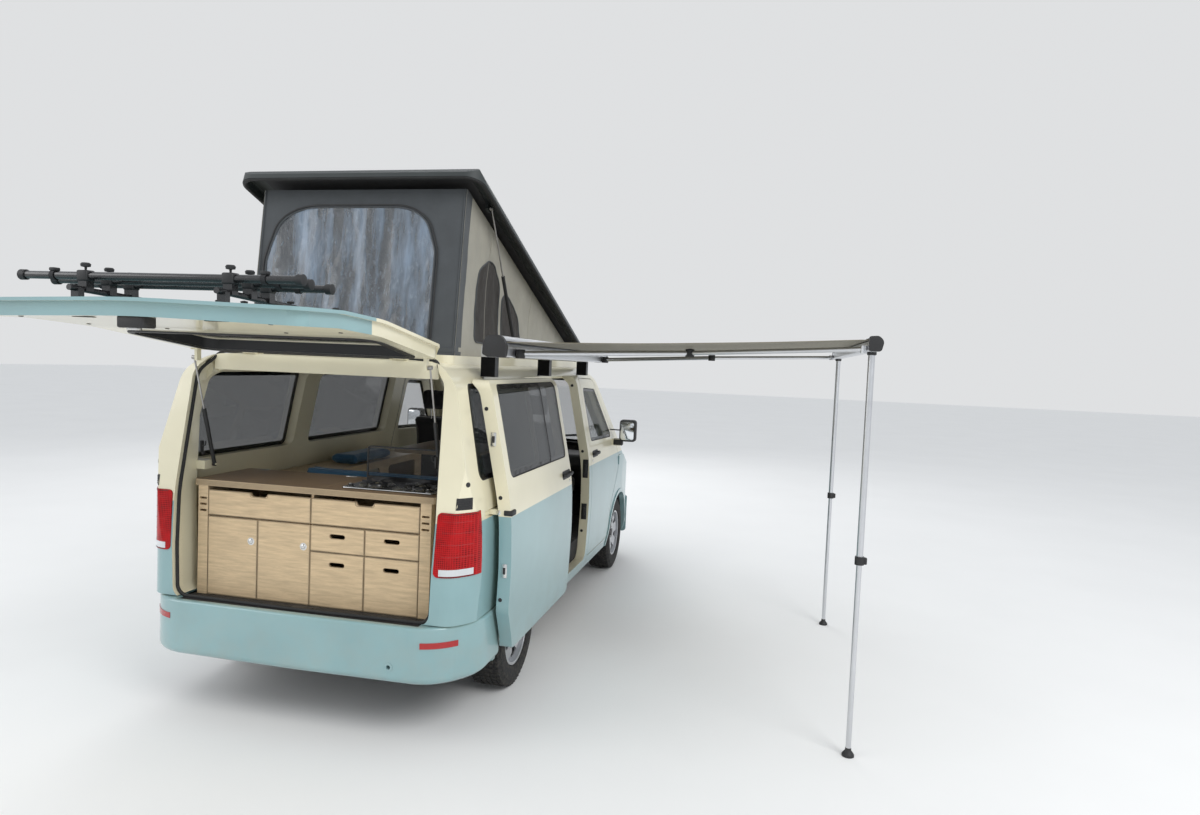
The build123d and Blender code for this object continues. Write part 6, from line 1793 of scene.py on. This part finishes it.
class VAN_OT_cabinets(bpy.types.Operator):
    """Fit the side cupboards' doors, the bench's front and the table's fittings"""

    bl_idname = "van.cabinets"
    bl_label = "Cabinets and Table"

    def execute(self, context):
        form = Form()
        # Each door's hand hole is a near-black plate laid on the door: painted shade inside the hole
        for y in (-1.4, -0.8, -0.2):
            form.box((-0.5165, y, 0.765), (0.012, 0.56, 0.37), "ply_side", 0.0015)
            form.plate(HAND_HOLE, (-0.5104, y, 0.905), Y, Z, 0.0016, "painted_recess_shade", 0.0)
        for x in (-0.33, 0.06):
            form.box((x, -1.1275, 0.7), (0.37, 0.012, 0.23), "ply_front", 0.0015)
            form.plate(HAND_HOLE, (x, -1.121, 0.77), X, Z, 0.0016, "painted_recess_shade", 0.0)
        form.piece("cupboard_doors", "van_body", "ply")
        self.table()
        return {"FINISHED"}

    def table(self):
        form = Form()
        rim = outline([(-0.3, -0.82, 0.06), (0.33, -0.82, 0.06), (0.33, -0.06, 0.06),
                       (-0.3, -0.06, 0.06)])
        line = [(u, v, 1.298) for u, v in inset(rim, -0.0006)]
        form.sweep(line, strip(0.0014, 0.0105), "ply_edge", Z, closed=True)
        leg = (0, -0.44, 0)
        form.lathe([(0.029, 1.228), (0.034, 1.23), (0.04, 1.27), (0.075, 1.276), (0.075, 1.284)],
                   leg, Z, BLACK, 32)
        form.lathe([(0.151, 0.5745), (0.095, 0.578), (0.05, 0.59), (0.046, 0.632), (0.029, 0.64)],
                   leg, Z, BLACK, 36)
        for y in (-0.72, -0.16):
            form.box((0.262, y, 1.278), (0.06, 0.026, 0.016), BLACK, 0.003)
        form.piece("table_fittings", "van_body", "brown_top")


class VAN_OT_cab(bpy.types.Operator):
    """Fit the dashboard's vents, screens, stalks and lever, and the steering wheel's cover"""

    bl_idname = "van.cab"
    bl_label = "Cab"

    def execute(self, context):
        form = Form()
        face = Skin("dashboard")
        spots = [(-0.7, 1.06, 0.09, 0.05), (-0.17, 1.07, 0.1, 0.044), (0.17, 1.07, 0.1, 0.044),
                 (0.7, 1.06, 0.09, 0.05)]
        for x, z, wide, high in spots:
            point, normal = face.at("cab", x, z)
            turn = normal.to_track_quat("Z", "Y").to_matrix()
            form.box(point + normal * 0.003, (wide, high, 0.014), "grey_plastic", 0.006, turn=turn)
            for k in range(4):
                shift = turn @ Vector((0, (k - 1.5) * high * 0.2, 0.011))
                form.box(point + shift, (wide * 0.82, high * 0.06, 0.004), BLACK, 0.001, turn=turn)
        point, normal = face.at("cab", 0.0, 0.995)
        turn = normal.to_track_quat("Z", "Y").to_matrix()
        form.box(point + normal * 0.004, (0.21, 0.1, 0.016), "black_paint", 0.008, turn=turn)
        form.box(point + normal * 0.012, (0.18, 0.076, 0.003), "clear_lens", 0.001, turn=turn)
        for dx in (-0.05, 0.0, 0.05):
            form.lathe([(0.02, 0.0), (0.019, 0.012), (0.015, 0.016), (0.0, 0.017)],
                       (dx, 1.058, 0.9), -Y, "grey_plastic", 24)
        form.piece("dashboard_fittings")
        self.wheel()
        self.lever()
        return {"FINISHED"}

    def wheel(self):
        form = Form()
        hub = Vector((-SEAT_X, 1.0, 1.15))
        axis = Vector((0, -0.85, 0.53)).normalized()
        side, up = X, axis.cross(X)
        ring = [hub + (side * u + up * v) * 0.185 for u, v in oval(1, 1, 72)]
        form.tube(ring, 0.0168, "seat_cloth", 14, closed=True, up=axis)
        form.lathe([(0.062, -0.02), (0.064, 0.016), (0.05, 0.026), (0.0, 0.03)],
                   hub, axis, "grey_plastic", 36)
        for sign in (-1, 1):
            inner = hub + side * sign * 0.05 - axis * 0.03
            outer = hub + side * sign * 0.16 - axis * 0.045 + up * 0.02
            form.tube([inner, outer], 0.007, BLACK, 10)
        hood = [hub + Vector((0, 0.16, -0.02)) + Vector((0.145 * math.cos(a), 0, 0.075 * math.sin(a)))
                for a in [math.pi * k / 20 for k in range(21)]]
        form.sweep(hood, strip(0.004, 0.05), BLACK, Y)
        # Two dial recesses under the hood in near-black: painted shade under the hood
        for dx in (-0.065, 0.065):
            form.lathe([(0.05, -0.012), (0.054, -0.01), (0.052, 0.0), (0.0, 0.0)],
                       hub + Vector((dx, 0.15, 0.012)), Y, "painted_recess_shade", 32)
        form.piece("steering_wheel_cover")

    def lever(self):
        form = Form()
        form.lathe([(0.05, 0.0), (0.04, 0.03), (0.02, 0.06), (0.01, 0.07)],
                   (0.0, 1.075, 1.01), (0, -0.5, 0.86), "seat_cloth", 24)
        form.tube([(0.0, 1.05, 1.05), (0.0, 1.02, 1.11)], 0.006, STEEL, 10)
        form.lathe([(0.01, -0.02), (0.022, 0.0), (0.024, 0.016), (0.014, 0.03), (0.0, 0.032)],
                   (0.0, 1.014, 1.122), (0, -0.45, 0.89), BLACK, 24)
        for x in (-0.54, -0.46, -0.36):
            form.box((x, 1.3, 0.68), (0.06, 0.016, 0.08), "seal_rubber", 0.005,
                     turn=Matrix.Rotation(math.radians(-35), 3, "X"))
            form.tube([(x, 1.31, 0.69), (x, 1.385, 0.76)], 0.008, "bare_steel", 8)
        form.piece("gear_lever_and_pedals")


TREAD_BLOCKS = [
    # x, width, slant, length as a share of the pitch
    (-0.08, 0.024, 0.25, 0.74),
    (-0.051, 0.022, 0.3, 0.8),
    (-0.0165, 0.025, 0.0, 0.86),
    (0.0165, 0.025, 0.0, 0.86),
    (0.051, 0.022, -0.3, 0.8),
    (0.08, 0.024, -0.25, 0.74),
]


class VAN_OT_wheels(bpy.types.Operator):
    """Mould the tyres with their tread blocks, and fit the bolts, caps and valves"""

    bl_idname = "van.wheels"
    bl_label = "Wheels"

    def execute(self, context):
        trim = context.scene.van_trim
        for end, y in (("front", WHEEL_Y), ("rear", -WHEEL_Y)):
            for side, word in SIDES:
                corner = f"{end}_{word}"
                place = VAN @ Matrix.Translation((side * WHEEL_X, y, TYRE_RADIUS))
                if side < 0:
                    place = place @ MIRROR
                self.tyre(corner, place, trim)
                self.bolts(corner, place)
        return {"FINISHED"}

    def tyre(self, corner, place, trim):
        base = TYRE_RADIUS - trim.tread_depth
        outer = [(0.0867, 0.2048), (0.0867, 0.2178), (0.101, 0.224), (0.1072, 0.242), (0.1075, 0.275),
                 (0.105, 0.298), (0.1062, 0.3), (0.1062, 0.304), (0.104, 0.306), (0.099, 0.32),
                 (0.093, 0.331), (0.083, base - 0.001), (0.06, base), (0.025, base), (0.0, base)]
        inner = [(0.0, 0.3085), (0.06, 0.3085), (0.08, 0.3), (0.081, 0.236), (0.069, 0.223),
                 (0.072, 0.205)]
        profile = [(r, x) for x, r in outer] + [(r, -x) for x, r in reversed(outer[:-1])]
        profile += [(r, -x) for x, r in reversed(inner[1:])] + [(r, x) for x, r in inner]
        form = Form(place)
        points = [(x, radius * v, radius * u) for u, v in oval(1, 1, 96) for radius, x in profile]
        form.faces(points, quads(96, len(profile), closed=True), "tyre_rubber")
        pitch = 2 * math.pi * TYRE_RADIUS / trim.tread
        block = Form()
        for x, wide, slant, long in TREAD_BLOCKS:
            drop = 0.0035 if abs(x) > 0.07 else 0.0
            self.tread_block(block, x, wide, slant, pitch * long, base - 0.003 - drop,
                             TYRE_RADIUS - 0.0006 - drop)
        tread = repeated(block, trim.tread, turn=(2 * math.pi / trim.tread, 0, 0))
        form.take(tread.bm, "tyre_rubber", closed=False)
        obj = form.piece("tyre_cover_" + corner, "wheel_" + corner, "rubber", 35)
        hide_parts("tyre_" + corner)

    def tread_block(self, form, x, wide, slant, long, low, high):
        points = []
        for radius, grow in ((low, 0.0), (high - 0.001, 0.0), (high, -0.0012)):
            for u, v in ((-1, -1), (1, -1), (1, 1), (-1, 1)):
                across = x + u * (wide / 2 + grow) + v * slant * long * 0.3
                angle = v * (long / 2 + grow) / high
                points.append((across, radius * math.sin(angle), radius * math.cos(angle)))
        form.faces(points, [(0, 3, 2, 1), (8, 9, 10, 11)] + quads(3, 4), "tyre_rubber")

    def bolts(self, corner, place):
        bolt = Form()
        bolt.lathe([(0.0125, -0.01), (0.0125, 0.004), (0.0105, 0.012), (0.007, 0.013),
                    (0.006, 0.006), (0.0, 0.006)], (0.0595, 0, 0.056), X, STEEL, 6)
        ring = repeated(bolt, 5, turn=(2 * math.pi / 5, 0, 0))
        ring.matrix = place
        ring.lathe([(0.033, -0.004), (0.034, 0.003), (0.03, 0.0065), (0.012, 0.0075), (0.0, 0.0075)],
                   (0.0685, 0, 0), X, "grey_plastic", 36)
        ring.tube([(0.03, 0, 0.172), (0.058, 0, 0.168), (0.072, 0, 0.166)], 0.0035, "seal_rubber", 10)
        ring.lathe([(0.0045, -0.01), (0.005, 0.0), (0.0, 0.001)], (0.076, 0, 0.1655), X, BLACK, 12)
        ring.piece("wheel_bolts_" + corner, "wheel_" + corner, "steel")


class VAN_OT_nose(bpy.types.Operator):
    """Trim the grille, and fit the front bumper's lamps and strip"""

    bl_idname = "van.nose"
    bl_label = "Nose"

    def execute(self, context):
        form = Form()
        grille = Skin("grille")
        for z in (0.694, 0.728, 0.762):
            line, normals = grille.lay([(x / 24 * 0.408, z) for x in range(-24, 25)], "front", 0.0008)
            form.sweep(line, strip(0.0055, 0.001, 0.004, 0.0028), STEEL, normals)
        wire = Form().tube([(-0.4, 0, 0), (0.4, 0, 0)], 0.0016, BLACK, 5)
        back = grille.at("front", 0.1, 0.711)[0].y
        repeated(wire, 11, step=(0, 0, 0.012), start=(0, back + 0.004, 0.68)).piece("grille_mesh")
        form.piece("grille_strips", "van_body", "alloy")
        self.bumper()
        return {"FINISHED"}

    def bumper(self):
        form = Form()
        skin = Skin("front_bumper")
        for side in (-1, 1):
            point, normal = skin.at("front", side * 0.7, 0.455)
            form.lathe([(0.056, -0.004), (0.056, 0.003), (0.05, 0.005), (0.046, 0.002), (0.0, 0.0)],
                       point, normal, BLACK, 32)
            form.lathe([(0.043, 0.0), (0.04, 0.005), (0.02, 0.009), (0.0, 0.01)],
                       point, normal, "clear_lens", 32)
        line, normals = skin.lay([(x / 24 * 0.6, 0.3) for x in range(-24, 25)], "front", 0.001)
        form.sweep(line, strip(0.016, 0.002, 0.012, 0.008), BLACK, normals)
        form.piece("front_bumper_trim")


class VAN_OT_awning_fittings(bpy.types.Operator):
    """Cap the awning's case and rail, and fit its joints, clamps and feet"""

    bl_idname = "van.awning_fittings"
    bl_label = "Awning Fittings"

    def execute(self, context):
        form = Form()
        case = outline([(0.838, 2.012, 0.012), (0.868, 1.998, 0.012), (0.966, 1.998, 0.01),
                        (0.972, 2.058, 0.06), (0.942, 2.118, 0.05), (0.844, 2.108, 0.04)], 0.02)
        for y in (-2.0375, 0.5475):
            form.plate(inset(case, -0.0018), (0, y, 0), X, Z, 0.031, BLACK, 0.004)
        rail = outline([(2.816, 2.1, 0.01), (2.872, 2.1, 0.014), (2.884, 2.15, 0.03),
                        (2.858, 2.174, 0.024), (2.816, 2.17, 0.008)], 0.02)
        for y in (-2.03, 0.54):
            form.plate(inset(rail, -0.0016), (0, y, 0), X, Z, 0.022, BLACK, 0.004)
        form.piece("awning_end_caps")
        joints = Form()
        for y in (-1.85, 0.36):
            joints.lathe([(0.015, 0.044), (0.016, 0.03), (0.026, 0.018), (0.0315, 0.01), (0.0315, 0.0)],
                         (AWNING_LEG_X, y, 0.0006), Z, BLACK, 28)
            joints.box((2.874, y, 1.03), (0.026, 0.02, 0.036), BLACK, 0.005)
            joints.lathe([(0.0235, -0.021), (0.024, 0.0), (0.0235, 0.021), (0.0185, 0.023),
                          (0.0185, -0.023)], (AWNING_LEG_X, y, 1.03), Z, BLACK, 28)
            joints.box((AWNING_LEG_X, y, 2.094), (0.044, 0.04, 0.02), BLACK, 0.005)
        joints.piece("awning_leg_fittings")
        arm = Form()
        shoulder_x = 0.992
        elbow_x = (shoulder_x + 2.7997) / 2
        for shoulder, elbow in ((-1.87, -1.54), (0.38, 0.05)):
            arm.lathe([(0.025, -0.022), (0.026, -0.01), (0.026, 0.01), (0.025, 0.022), (0.01, 0.026),
                       (0.0, 0.026)], (elbow_x, elbow, 2.066), Z, BLACK, 28)
            arm.lathe([(0.025, -0.026), (0.0275, -0.018), (0.0275, 0.018), (0.025, 0.023),
                       (0.0, 0.024)], (shoulder_x, shoulder, 2.022), Z, BLACK, 28)
        arm.piece("awning_arm_joints")
        return {"FINISHED"}


class VAN_OT_stage(bpy.types.Operator):
    """Make the floor, the lamps and the camera"""

    bl_idname = "van.stage"
    bl_label = "Stage"

    def execute(self, context):
        stage = context.scene.van_stage
        self.floor(context, stage)
        self.world(context, stage)
        self.lamps(context, stage)
        self.camera(context, stage)
        context.scene.view_settings.view_transform = "Standard"
        return {"FINISHED"}

    def floor(self, context, stage):
        f = Finish("pale_floor", Roughness=0.9, Specular_IOR_Level=0.1)
        f.colour(f.vary(f.noise(0.8, 3.0), stage.floor, 0.985, 1.01))
        size = 60.0
        mesh = bpy.data.meshes.new("floor")
        mesh.from_pydata([(-size, -size, 0), (size, -size, 0), (size, size, 0), (-size, size, 0)], [],
                         [(0, 1, 2, 3)])
        mesh.materials.append(f.mat)
        placed("floor", mesh)

    def world(self, context, stage):
        world = bpy.data.worlds.new("surround")
        context.scene.world = world
        world.use_nodes = True
        tree = world.node_tree
        light = tree.nodes["Background"]
        light.inputs["Color"].default_value = (0.93, 0.96, 1.0, 1)
        light.inputs["Strength"].default_value = stage.sky
        seen = tree.nodes.new("ShaderNodeBackground")
        seen.inputs["Color"].default_value = (0.74, 0.75, 0.76, 1)
        path = tree.nodes.new("ShaderNodeLightPath")
        either = tree.nodes.new("ShaderNodeMath")
        either.operation = "MAXIMUM"
        mixed = tree.nodes.new("ShaderNodeMixShader")
        for source, target in (
            (path.outputs["Is Camera Ray"], either.inputs[0]),
            (path.outputs["Is Transmission Ray"], either.inputs[1]),
            (either.outputs[0], mixed.inputs[0]),
            (light.outputs[0], mixed.inputs[1]),
            (seen.outputs[0], mixed.inputs[2]),
            (mixed.outputs[0], tree.nodes["World Output"].inputs["Surface"]),
        ):
            tree.links.new(source, target)

    def lamps(self, context, stage):
        for name, place, aim, size, share in LAMPS:
            data = bpy.data.lights.new(name, "AREA")
            data.shape = "DISK"
            data.size = size
            data.energy = stage.key * share
            lamp = placed(name, data)
            spot = VAN @ Vector(place)
            look = (VAN @ Vector(aim)) - spot
            turn = look.to_track_quat("-Z", "Y").to_matrix().to_4x4()
            lamp.matrix_world = Matrix.Translation(spot) @ turn

    def camera(self, context, stage):
        yaw, dip, roll = stage.turn
        ahead = Vector((-math.sin(yaw) * math.cos(dip), math.cos(yaw) * math.cos(dip), -math.sin(dip)))
        side = Vector((math.cos(yaw), math.sin(yaw), 0))
        rise = side.cross(ahead)
        right = side * math.cos(roll) + rise * math.sin(roll)
        up = rise * math.cos(roll) - side * math.sin(roll)
        data = bpy.data.cameras.new("camera")
        data.sensor_fit = "HORIZONTAL"
        data.sensor_width = 36.0
        data.lens = stage.focal
        data.clip_end = 200.0
        cam = placed("camera", data)
        spot = VAN @ Vector(stage.place)
        cam.matrix_world = Matrix((
            (right.x, up.x, -ahead.x, spot.x),
            (right.y, up.y, -ahead.y, spot.y),
            (right.z, up.z, -ahead.z, spot.z),
            (0, 0, 0, 1),
        ))
        context.scene.camera = cam


LAMPS = [
    # name, place, aim, size, share of the key lamp's strength
    ("key_lamp", (7.5, -7.0, 7.5), (0.6, -0.5, 1.0), 5.0, 1.0),
    ("fill_lamp", (-7.0, -6.5, 5.0), (0.0, -1.5, 1.0), 6.0, 0.42),
    ("back_lamp", (-3.0, 8.5, 6.5), (0.5, 0.0, 1.0), 6.0, 0.5),
]


class VAN_PT_panel(bpy.types.Panel):
    """Buttons for each group of pieces, and the sizes and colours they use"""

    bl_idname = "VAN_PT_panel"
    bl_label = "Camper Van"
    bl_space_type = "VIEW_3D"
    bl_region_type = "UI"
    bl_category = "Camper Van"

    def draw(self, context):
        column = self.layout.column(align=True)
        for operator in OPERATORS:
            column.operator(operator.bl_idname)
        for name, group in SETTINGS.items():
            box = self.layout.box()
            for key in group.__annotations__:
                box.prop(getattr(context.scene, name), key)


OPERATORS = [
    VAN_OT_finishes,
    VAN_OT_roof_canvas,
    VAN_OT_awning,
    VAN_OT_awning_fittings,
    VAN_OT_cushions,
    VAN_OT_glazing,
    VAN_OT_lamps,
    VAN_OT_doors,
    VAN_OT_rear_opening,
    VAN_OT_tailgate,
    VAN_OT_cycle_rack,
    VAN_OT_roof_fittings,
    VAN_OT_kitchen,
    VAN_OT_cabinets,
    VAN_OT_cab,
    VAN_OT_wheels,
    VAN_OT_nose,
    VAN_OT_stage,
]


def register():
    for name, group in SETTINGS.items():
        bpy.utils.register_class(group)
        setattr(bpy.types.Scene, name, bpy.props.PointerProperty(type=group))
    for operator in OPERATORS:
        bpy.utils.register_class(operator)
    bpy.utils.register_class(VAN_PT_panel)


def unregister():
    bpy.utils.unregister_class(VAN_PT_panel)
    for operator in reversed(OPERATORS):
        bpy.utils.unregister_class(operator)
    for name, group in SETTINGS.items():
        delattr(bpy.types.Scene, name)
        bpy.utils.unregister_class(group)


def main():
    register()
    for operator in OPERATORS:
        area, name = operator.bl_idname.split(".")
        getattr(getattr(bpy.ops, area), name)()


if __name__ == "__main__":
    main()
